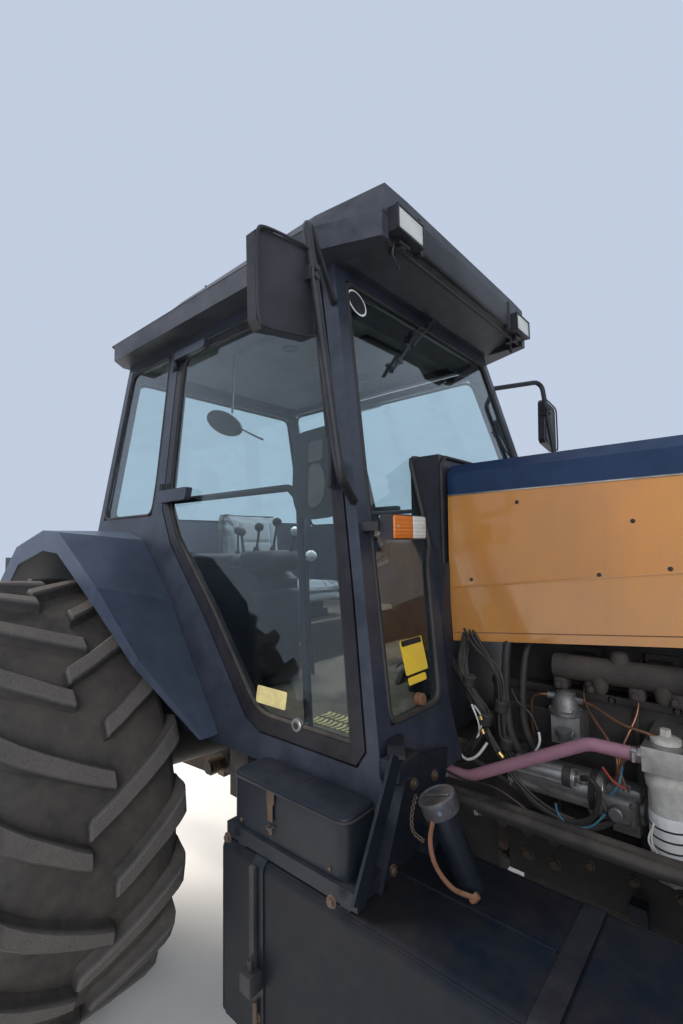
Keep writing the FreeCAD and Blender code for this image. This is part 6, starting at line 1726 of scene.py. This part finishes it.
HINGES = ((0.238, 0.452, 1.880, 1.936), (0.152, 0.400, 2.575, 2.618))
PANEL = softened([(1.005, 2.075), (1.215, 2.085), (1.238, 1.775), (1.085, 1.768), (1.035, 1.84)],
                 0.05, 6)
CUP = softened([(1.085, 2.035), (1.150, 2.038), (1.156, 1.965), (1.092, 1.962)], 0.012)
GRIP = softened([(1.100, 1.955), (1.152, 1.955), (1.182, 1.900), (1.186, 1.830), (1.150, 1.805),
                 (1.118, 1.812)], 0.03, 6)
for name, hand in (("right", -1), ("left", 1)):
    body = "door_%s_body" % name
    arms = Shape()
    for x0, x1, z0, z1 in HINGES:
        on_door(arms, softened([(x0, z0), (x1, z0 + 0.004), (x1, z1), (x0, z1)], 0.012), 0.030, 0.001,
                hand)
    arms.build("hinge_arms_" + name, body, CAB, "cab_grey")
    panel = on_door(Shape(), PANEL, -0.030, -0.052, hand)
    panel.build("latch_panel_" + name, body, TRIM, "interior_plastic")
    handle = on_door(Shape(), CUP, -0.0285, -0.032, hand)
    on_door(handle, GRIP, -0.0265, -0.032, hand)
    handle.build("latch_handle_" + name, body, HANDLE, "interior_plastic")

# %% [markdown]
# ## Fender seam and handrail
# A seam follows the fender's front edge. The handrail is one tube, bent like the real one.

# %% Fender seam and handrail
trim = Shape()
for hand in (-1, 1):
    trim.tube([at(x, hand * y, z) for x, y, z in ((0.103, 0.789, 1.725), (0.35, 0.828, 1.512),
            (0.60, 0.866, 1.292), (0.847, 0.903, 1.075))],
              0.004, 8, 1)
trim.build("fender_seam", "chassis", RUBBER)
grips = Shape()
grips.tube([side(1.480, 1.16, 0.0, 1), side(1.484, 1.18, 0.045, 1), side(1.44, 1.42, 0.05, 1),
            side(1.39, 1.62, 0.045, 1),
            side(1.385, 1.64, 0.0, 1)], 0.011, 12, 8)
grips.build("step_handrail", "chassis", TRIM, "trim_black")

# %% [markdown]
# ## Roof lining and console
# Pale lining brightens the cab from above, and shows through the glass.

# %% Roof lining and console
lining = Shape()
lining.block(at(-0.30, -0.56, 2.668), at(1.08, 0.56, 2.684), 0.006)
lining.block(at(0.30, -0.40, 2.640), at(0.98, 0.40, 2.672), 0.010, 3)
lining.build("headliner", "chassis", PALE_INSIDE, "interior_plastic")
console = Shape()
for y in (-0.28, 0.28):
    console.lathe(at(0.55, y, 2.642), (0, 0, -1), [(0, 0.040), (0.006, 0.040), (0.010, 0.032),
            (0.006, 0.024)], 24)
console.block(at(0.72, -0.16, 2.622), at(0.92, 0.16, 2.644), 0.008, 3)
visor = [screen(y, z, -0.045) for y, z in ((-0.52, 2.63), (0.52, 2.63), (0.54, 2.53), (-0.54, 2.53))]
console.plate(visor, Vector((-0.008, 0, -0.002)))
console.build("roof_console", "chassis", INSIDE, "interior_plastic")

# %% [markdown]
# ## Interior mirror
# A turned form is stretched into an oval, because the mirror's shell is round in section but wide.

# %% Interior mirror
inner_mirror = Shape()
inner_mirror.lathe(at(0.20, -0.40, 2.315), (0.25, -0.94, -0.2),
                   [(0, 0.02), (0.002, 0.05), (0.014, 0.062), (0.022, 0.060), (0.026, 0.05)], 36)
stretch = Matrix.Rotation(math.radians(24), 3, "Y")
middle = at(0.20, -0.40, 2.315)
inner_mirror.verts = [middle + stretch @ Vector(((v - middle).x * 2.3, (v - middle).y,
        (v - middle).z * 0.95)) for v in inner_mirror.verts]
inner_mirror.tube([at(0.235, -0.385, 2.36), at(0.225, -0.37, 2.50), at(0.22, -0.36, 2.670)], 0.0055,
                  8, 5)
inner_mirror.tube([at(0.30, -0.40, 2.275), at(0.42, -0.40, 2.215), at(0.50, -0.41, 2.180)], 0.0045, 8,
                  4)
inner_mirror.build("interior_mirror", "chassis", TRIM, "interior_plastic")

# %% [markdown]
# ## Console tops and gauges
# Consoles have rounded tops, and the gauges are blank dials.

# %% Console tops and gauges
panel = Shape()
panel.block(at(0.47, -0.545, 1.575), at(0.70, -0.345, 1.668), 0.040, 4)
panel.block(at(-0.19, -0.555, 1.60), at(0.46, -0.335, 1.652), 0.022, 3)
panel.block(at(1.03, -0.185, 1.585), at(1.16, 0.185, 1.712), 0.030, 4)
panel.block(at(0.60, -0.59, 1.10), at(0.66, -0.33, 1.50), 0.020, 3)
panel.build("console_tops", "chassis", INSIDE, "interior_plastic")
dials = Shape()
for y, r in ((-0.105, 0.040), (0.0, 0.052), (0.105, 0.040)):
    dials.lathe(at(1.034, y, 1.650), (-1, 0, 0.12),
                [(0, r), (0.006, r), (0.009, r * 0.93), (0.006, r * 0.88), (0.005, r * 0.3)], 32)
dials.build("blank_gauges", "chassis", BRIGHT)
dark = Shape()
for y, r in ((-0.105, 0.035), (0.0, 0.046), (0.105, 0.035)):
    dark.lathe(at(1.0305, y, 1.6505), (-1, 0, 0.12), [(0, r), (0.002, r), (0.0025, r * 0.2)], 32)
dark.build("gauge_faces", "chassis", TRIM)

# %% [markdown]
# ## Levers
# Each lever is a rod with a rubber boot and a knob. The knob's colour tells what it works, so knobs
# are separate.

# %% Levers
levers, knobs, bright = Shape(), Shape(), Shape()
for x, y, z, lean, height in ((0.560, -0.500, 1.66, 0.02, 0.10), (0.615, -0.455, 1.66, 0.03, 0.12),
                              (0.670, -0.400, 1.65, 0.03, 0.09),
                              (0.40, -0.44, 1.645, -0.02, 0.10), (0.30, -0.40, 1.645, 0.0, 0.11)):
    foot, head = at(x, y, z), at(x + lean, y, z + height)
    levers.rod(foot, head, 0.0055, 10)
    levers.lathe(foot, (0, 0, 1), [(-0.004, 0.022), (0.004, 0.021), (0.010, 0.014), (0.018, 0.013),
                                   (0.024, 0.008)], 20)
    target = bright if x == 0.670 else knobs
    target.lathe(head - Vector((0, 0, 0.010)), (0, 0, 1),
                 [(0, 0.007), (0.006, 0.016), (0.018, 0.021), (0.030, 0.018), (0.038, 0.008)], 24)
levers.tube([at(0.700, -0.30, 1.12), at(0.690, -0.31, 1.35), at(0.70, -0.33, 1.55),
             at(0.735, -0.345, 1.63)], 0.009, 12, 8)
levers.tube([at(0.56, -0.315, 1.11), at(0.55, -0.32, 1.28), at(0.545, -0.325, 1.42)], 0.008, 10, 6)
levers.build("levers", "chassis", TRIM, "interior_plastic")
bright.lathe(at(0.735, -0.345, 1.618), (0.2, 0, 1),
             [(0, 0.010), (0.008, 0.020), (0.022, 0.026), (0.036, 0.022), (0.046, 0.010)], 24)
bright.build("bright_knobs", "chassis", WHITE_LABEL)
knobs.build("dark_knobs", "chassis", TRIM)
orange = Shape()
orange.tube([at(0.425, -0.325, 1.30), at(0.430, -0.318, 1.40), at(0.470, -0.312, 1.475),
             at(0.525, -0.315, 1.46), at(0.545, -0.322, 1.40)],
            0.011, 12, 8)
orange.tube([at(0.575, -0.318, 1.40), at(0.572, -0.312, 1.25), at(0.590, -0.310, 1.15),
             at(0.630, -0.310, 1.15), at(0.648, -0.315, 1.25)],
            0.012, 12, 8)
orange.build("orange_levers", "chassis", LEVER)

# %% [markdown]
# ## Pedals and mats
# Pedals are leaning blocks on arms. The mats' tread is one rib repeated by the row group.

# %% Pedals and mats
pedals = Shape()
for y, z in ((0.14, 1.235), (-0.24, 1.235), (-0.36, 1.215)):
    pedals.block(at(1.215, y - 0.045, z - 0.036), at(1.232, y + 0.045, z + 0.036), 0.006, 3,
                 Matrix.Rotation(0.5, 3, "Y"))
    pedals.rod(at(1.230, y, z - 0.005), at(1.288, y, z + 0.06), 0.008, 10)
    pedals.tube([at(1.210, y - 0.045, z + 0.030), at(1.204, y, z + 0.037),
                 at(1.210, y + 0.045, z + 0.030)], 0.004, 8, 4)
pedals.build("pedals", "chassis", BRIGHT, "worn_steel")
mat = Shape()
mat.block(at(0.50, -0.70, 1.0905), at(1.26, 0.70, 1.0985), 0.003)
mat.block(at(-0.28, -0.31, 1.2905), at(0.42, 0.31, 1.2985), 0.003)
mat.build("floor_mats", "chassis", FLOOR_MAT, "floor_rubber")
tread = Shape()
rib = Shape()
rib.plate([at(1.040, -0.680, 1.0975), at(1.052, -0.680, 1.0975), at(1.060, -0.655, 1.0975),
           at(1.048, -0.655, 1.0975)], Vector((0, 0, 0.004)))
rib.plate([at(1.048, -0.655, 1.0975), at(1.060, -0.655, 1.0975), at(1.052, -0.630, 1.0975),
           at(1.040, -0.630, 1.0975)], Vector((0, 0, 0.004)))
line = repeated(rib, ROW, 10, (0.0205, 0, 0), WIRE_WHITE)
tread.join(line)
line = repeated(moved(rib, (0, 0.062, 0)), ROW, 10, (0.0205, 0, 0), WIRE_WHITE)
tread.join(line)
tread.build("mat_tread", "chassis", CREAM_LABEL)

# %% [markdown]
# ## Seat bellows and wheel boss
# Folded rubber hides the seat's spring. The boss turns with the steering wheel.

# %% Seat bellows and wheel boss
bellows = Shape()
for k in range(5):
    z = 1.301 + 0.0165 * k
    bellows.block(at(0.085 - 0.004 * (k % 2), -0.145, z),
                  at(0.355 + 0.004 * (k % 2), 0.145, z + 0.013), 0.006, 2)
bellows.build("seat_bellows", "chassis", RUBBER, "hose_rubber")
wheel = Shape()
axis = Vector((-0.55, 0, 0.835)).normalized()
wheel.lathe(at(0.905, 0, 1.668) + axis * 0.004, axis,
            [(0, 0.045), (0.004, 0.052), (0.014, 0.050), (0.020, 0.040), (0.023, 0.015)], 32)
wheel.build("steering_wheel_boss", "steering", TRIM, "interior_plastic")

# %% [markdown]
# ## Filling a cushion
# Foam swells between its seams. Sculpting would do, but a short cloth simulation with pressure
# swells every side by itself. The underside is pinned, and no point may go far.

# %% Filling a cushion
VOXEL = 0.007        # metres between the cushion's points
PRESSURE = 4.0       # what fills the cushion
LONGEST = 0.020      # the farthest that a point may swell
STEPS = 20           # frames of the simulation


def puffed(name, shape, pinned):
    """Fill a closed shape like a cushion; pinned says which points stay."""
    item = placed(name, shape.mesh(name))
    remesh = item.modifiers.new("voxels", "REMESH")
    remesh.mode = "VOXEL"
    remesh.voxel_size = VOXEL
    dense = evaluated(item)
    item.modifiers.clear()
    item.data = dense
    start = [v.co.copy() for v in dense.vertices]
    held = item.vertex_groups.new(name="held")
    held.add([i for i, p in enumerate(start) if pinned(p)], 1.0, "REPLACE")
    cloth = item.modifiers.new("cloth", "CLOTH")
    cloth.settings.use_pressure = True
    cloth.settings.uniform_pressure_force = PRESSURE
    cloth.settings.effector_weights.gravity = 0.0
    cloth.settings.vertex_group_mass = "held"
    cloth.settings.quality = 4
    for moment in range(1, STEPS + 1):
        bpy.context.scene.frame_set(moment)
    swollen = evaluated(item)
    ends = [v.co.copy() for v in swollen.vertices]
    item.modifiers.clear()
    bpy.context.scene.frame_set(1)
    for vertex, a, b in zip(dense.vertices, start, ends):
        travel = b - a
        vertex.co = a + travel * (min(1.0, LONGEST / travel.length) if travel.length > 1e-9
                                  else 0.0)
    bpy.data.meshes.remove(swollen)
    dense.update()
    smooth = item.modifiers.new("smooth", "SUBSURF")
    smooth.levels = smooth.render_levels = 1
    result = shape_of(evaluated(item))
    bpy.data.objects.remove(item)
    return result

# %% [markdown]
# ## Seams and corded edge
# Stitching pulls the cover down along a line. Points near each row are pressed in, and a thread is
# laid on the surface found there.

# %% Seams and corded edge
def sewn(shape, rows, way, depth):
    """Press a channel along each row of points, seen along way, and lay its seam in it."""
    for row in rows:
        for i, v in enumerate(shape.verts):
            if v.z < 1.40:
                continue
            near = 1.0
            for p, q in zip(row, row[1:]):
                span = q - p
                share = min(1.0, max(0.0, (v - p).dot(span) / span.length_squared))
                gap = v - (p + span * share)
                near = min(near, (gap - way * gap.dot(way)).length)
                if near < 0.001:
                    break
            if near < 0.04 and (v - row[0]).dot(way) < 0.26:
                shape.verts[i] = v + way * (depth * math.exp(-(near / 0.011) ** 2))
    tree = BVHTree.FromPolygons(shape.verts, shape.faces)
    lines = Shape()
    for row in rows:
        spots = [tree.ray_cast(p, way)[0] for p in row]
        spots = [p - way * 0.0004 for p in spots if p]
        if len(spots) > 2:
            lines.tube(spots, 0.0018, 6, 2)
    return lines


def piping(lines, shape, ring):
    """A corded edge on the surface nearest to each point of the ring."""
    tree = BVHTree.FromPolygons(shape.verts, shape.faces)
    lines.tube([tree.find_nearest(p)[0] for p in ring], 0.0042, 8, 2, True)

# %% [markdown]
# ## The block before it swells
# The block is smaller than the cushion and slightly crowned, since the pressure adds the rest.

# %% The block before it swells
def cushion_block(low, high, crown):
    """A box with a crowned top and sides that pull in at the middle."""
    bm = bmesh.new()
    bmesh.ops.create_grid(bm, x_segments=14, y_segments=14, size=0.5)
    bmesh.ops.solidify(bm, geom=list(bm.faces), thickness=1.0)
    size = Vector(high) - Vector(low)
    middle = (Vector(high) + Vector(low)) / 2
    top = max(v.co.z for v in bm.verts)
    bottom = min(v.co.z for v in bm.verts)
    for v in bm.verts:
        share = (v.co.z - bottom) / (top - bottom) - 0.5
        x, y = v.co.x, v.co.y
        pull = 1 - 0.035 * (1 - (2 * y) ** 2) if abs(x) > 0.49 else 1.0
        side_pull = 1 - 0.03 * (1 - (2 * x) ** 2) if abs(y) > 0.49 else 1.0
        rise = crown * (1 - (2 * x) ** 2) * (1 - (2 * y) ** 2) if share > 0 else 0.0
        v.co = middle + Vector((x * size.x * pull, y * size.y * side_pull, share * size.z + rise))
    bmesh.ops.recalc_face_normals(bm, faces=list(bm.faces))
    bm.verts.index_update()
    return Shape().add_bmesh(bm)

# %% [markdown]
# ## Seat cushion
# The cushion replaces its solid. Two long and two cross rows of stitching divide it.

# %% Seat cushion
seat_low, seat_high = at(0.012, -0.226, 1.3915), at(0.449, 0.226, 1.470)
base = puffed("seat_form", cushion_block(seat_low, seat_high, 0.008), lambda p: p.z < 1.3945)
base.verts = [Vector((v.x, v.y, max(v.z, 1.3905))) for v in base.verts]
rows = [[at(0.035 + 0.020 * k, y, 1.6) for k in range(20)] for y in (-0.105, 0.105)]
rows.append([at(0.150, -0.095 + 0.019 * k, 1.6) for k in range(11)])
rows.append([at(0.300, -0.095 + 0.019 * k, 1.6) for k in range(11)])
stitched = sewn(base, rows, Vector((0, 0, -1)), 0.007)
edge = softened([(-0.02, -0.26), (0.48, -0.26), (0.48, 0.26), (-0.02, 0.26)], 0.08, 8)
piping(stitched, base, [at(x, y, 1.452) for x, y in edge])
item = base.build("seat_pad", "chassis", SEAT, "seat_fabric", 60)
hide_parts("seat_cushion")
stitched.build("seat_pad_seams", "chassis", TRIM, "seat_fabric")

# %% [markdown]
# ## Backrest
# The back is the same kind of block, turned upright, narrowed at the shoulders and leaned back.

# %% Backrest
lean = math.atan2(0.049, 0.465)
tilt = Matrix.Rotation(-lean, 3, "Y")
foot_of_back = at(-0.070, 0, 1.430)
back_block = cushion_block(Vector((-0.222, -0.215, -0.040)), Vector((0.222, 0.215, 0.030)), 0.010)
turned = Matrix(((0, 0, 1), (0, 1, 0), (-1, 0, 0)))
raised = []
for v in back_block.verts:
    p = turned @ v
    p.z += 0.232
    shoulder = max(0.0, (p.z - 0.33) / 0.13)
    p.y *= 1 - 0.16 * min(shoulder, 1.0) ** 2
    raised.append(foot_of_back + tilt @ p)
back_block.verts = raised
back = puffed("back_form", back_block, lambda p: ((p - foot_of_back) @ tilt).x < -0.0365)
way = tilt @ Vector((-1, 0, 0))
rows = [[foot_of_back + tilt @ Vector((0.2, y * (1 - 0.0012 * k), 0.035 + 0.019 * k))
         for k in range(20)] for y in (-0.115, 0.115)]
for height in (0.15, 0.28):
    rows.append([foot_of_back + tilt @ Vector((0.2, -0.105 + 0.021 * k, height)) for k in range(11)])
stitched = sewn(back, rows, way, 0.006)
edge = softened([(-0.25, -0.01), (0.25, -0.01), (0.245, 0.36), (0.19, 0.49), (-0.19, 0.49),
                 (-0.245, 0.36)], 0.08, 8)
piping(stitched, back, [foot_of_back + tilt @ Vector((0.016, y, z)) for y, z in edge])
item = back.build("seat_back_pad", "chassis", SEAT, "seat_fabric", 60)
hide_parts("seat_backrest")
stitched.build("seat_back_seams", "chassis", TRIM, "seat_fabric")

# %% [markdown]
# ## Wheel nuts and hub caps
# Eight nuts hold each wheel. A ray from outside finds the disc, so each nut sits on the real face
# whatever the rim's dish is.

# %% Wheel nuts and hub caps
for label, spot, circle, cap_radius in (("rear", (0.0, REAR_AXLE_Z), 0.145, 0.046),
                                        ("front", FRONT_AXLE, 0.125, 0.040)):
    for name, hand in (("right", -1), ("left", 1)):
        mesh = nodes["%s_rim_%s" % (label, name)].data
        tree = BVHTree.FromPolygons([v.co for v in mesh.vertices],
                                    [list(p.vertices) for p in mesh.polygons])
        inward = Vector((0, -hand, 0))

        def face(radius, turn):
            start = at(spot[0] + radius * math.cos(turn), hand * 1.6, spot[1] + radius * math.sin(turn))
            return tree.ray_cast(start, inward)[0]

        found = [p for p in (face(circle, math.pi / 4 * k + 0.2) for k in range(8)) if p]
        nuts = Shape()
        for p in found:
            nuts.rod(p, p - inward * 0.004, 0.019, 20)
            nuts.rod(p - inward * 0.004, p - inward * 0.020, 0.0135, 6, 0.002)
            nuts.rod(p - inward * 0.020, p - inward * 0.034, 0.0070, 12)
        nuts.build("wheel_nuts_%s_%s" % (label, name), "%s_wheel_%s" % (label, name), IRON,
                   "worn_steel")
        ring = face(0.050, 0.4)
        hub = Shape()
        if ring:
            middle = Vector((at(spot[0], 0, 0).x, ring.y, spot[1]))
            hub.lathe(middle, -inward, [(-0.004, cap_radius), (0.006, cap_radius),
                                        (0.010, cap_radius - 0.003),
                                        (0.014, cap_radius - 0.012), (0.015, 0.006)], 36)
        stem = face(0.30, 1.9)
        if stem:
            hub.rod(stem, stem - inward * 0.030, 0.0045, 10)
            hub.rod(stem - inward * 0.028, stem - inward * 0.042, 0.0060, 10)
        hub.build("hub_cap_%s_%s" % (label, name), "%s_wheel_%s" % (label, name), TRIM, "worn_steel")
        print(label, name, "nuts on", len(found), "places, hub at", ring and round(ring.y, 3))

# %% [markdown]
# ## Camera
# The camera stands where the photograph was taken. It was found by fitting wheels, cab and bonnet
# to the picture.

# %% Camera
def look_from(place, yaw, pitch, roll, lens_mm):
    camera = bpy.data.cameras.new("camera")
    camera.sensor_width = 36
    camera.lens = lens_mm
    camera.clip_start = 0.05
    item = placed("camera", camera)
    yaw, pitch, roll = (math.radians(a) for a in (yaw, pitch, roll))
    ahead = Vector((math.cos(pitch) * math.cos(yaw), math.cos(pitch) * math.sin(yaw), math.sin(pitch)))
    level = ahead.cross(Vector((0, 0, 1))).normalized()
    upward = level.cross(ahead)
    right = level * math.cos(roll) + upward * math.sin(roll)
    up = upward * math.cos(roll) - level * math.sin(roll)
    axes = Matrix((right, up, -ahead)).transposed().to_4x4()
    item.matrix_world = Matrix.Translation(place) @ axes
    bpy.context.scene.camera = item


look_from(at(2.2335, -1.8744, 1.6844), 130.729, 3.9196, -0.9091, 17.176)

# %% [markdown]
# ## Floor and sky
# A plain floor catches shadows, and a pale sky fills them. Both are the stage, not the part.

# %% Floor and sky
floor = bpy.data.meshes.new("floor")
floor.from_pydata([(-30, -30, 0), (30, -30, 0), (30, 30, 0), (-30, 30, 0)], [], [[0, 1, 2, 3]])
floor_item = placed("floor", floor)
made, n, shader = surface("studio_floor")
n.fill(shader, Base_Color=n.blend(n.noise(n.place(), 0.8), (0.60, 0.58, 0.55), (0.66, 0.645, 0.62)),
       Roughness=0.9)
floor.materials.append(made)

world = bpy.data.worlds.new("studio")
world.use_nodes = True
bpy.context.scene.world = world
w = Nodes(world.node_tree)
world.node_tree.nodes.clear()
sky = w.add("ShaderNodeBackground", Color=(0.72, 0.82, 1.0, 1.0), Strength=0.75)
world_out = w.add("ShaderNodeOutputWorld")
world.node_tree.links.new(sky.outputs[0], world_out.inputs[0])

# %% [markdown]
# ## Lights
# Large lamps give the soft light of a studio. They are hidden from the camera, and all but one from
# mirrors.

# %% Lights
def area_light(name, place, target, size, power, colour, mirrored=False):
    """A square lamp that glass and metal mirror only where wanted."""
    lamp = bpy.data.lights.new(name, "AREA")
    lamp.size = size
    lamp.energy = power
    lamp.color = colour
    item = placed(name, lamp)
    item.location = place
    item.rotation_euler = (Vector(target) - Vector(place)).to_track_quat("-Z", "Y").to_euler()
    item.visible_camera = False
    item.visible_transmission = False
    item.visible_glossy = mirrored


area_light("key", (-6.5, -3.0, 6.5), (0, 0, 1.2), 3.0, 1500, (1.0, 0.95, 0.88))
area_light("fill", (5.0, -6.0, 4.0), (0, 0, 1.2), 5.0, 420, (0.93, 0.96, 1.0), True)
area_light("cab_inside", at(0.55, 0, 2.60), at(0.50, -0.1, 1.2), 0.7, 45, (0.88, 0.96, 1.0))
area_light("far_side", (3.0, 7.0, 5.0), (0, 0, 1.2), 5.0, 500, (1.0, 0.98, 0.95))
bpy.context.scene.view_settings.view_transform = "Standard"
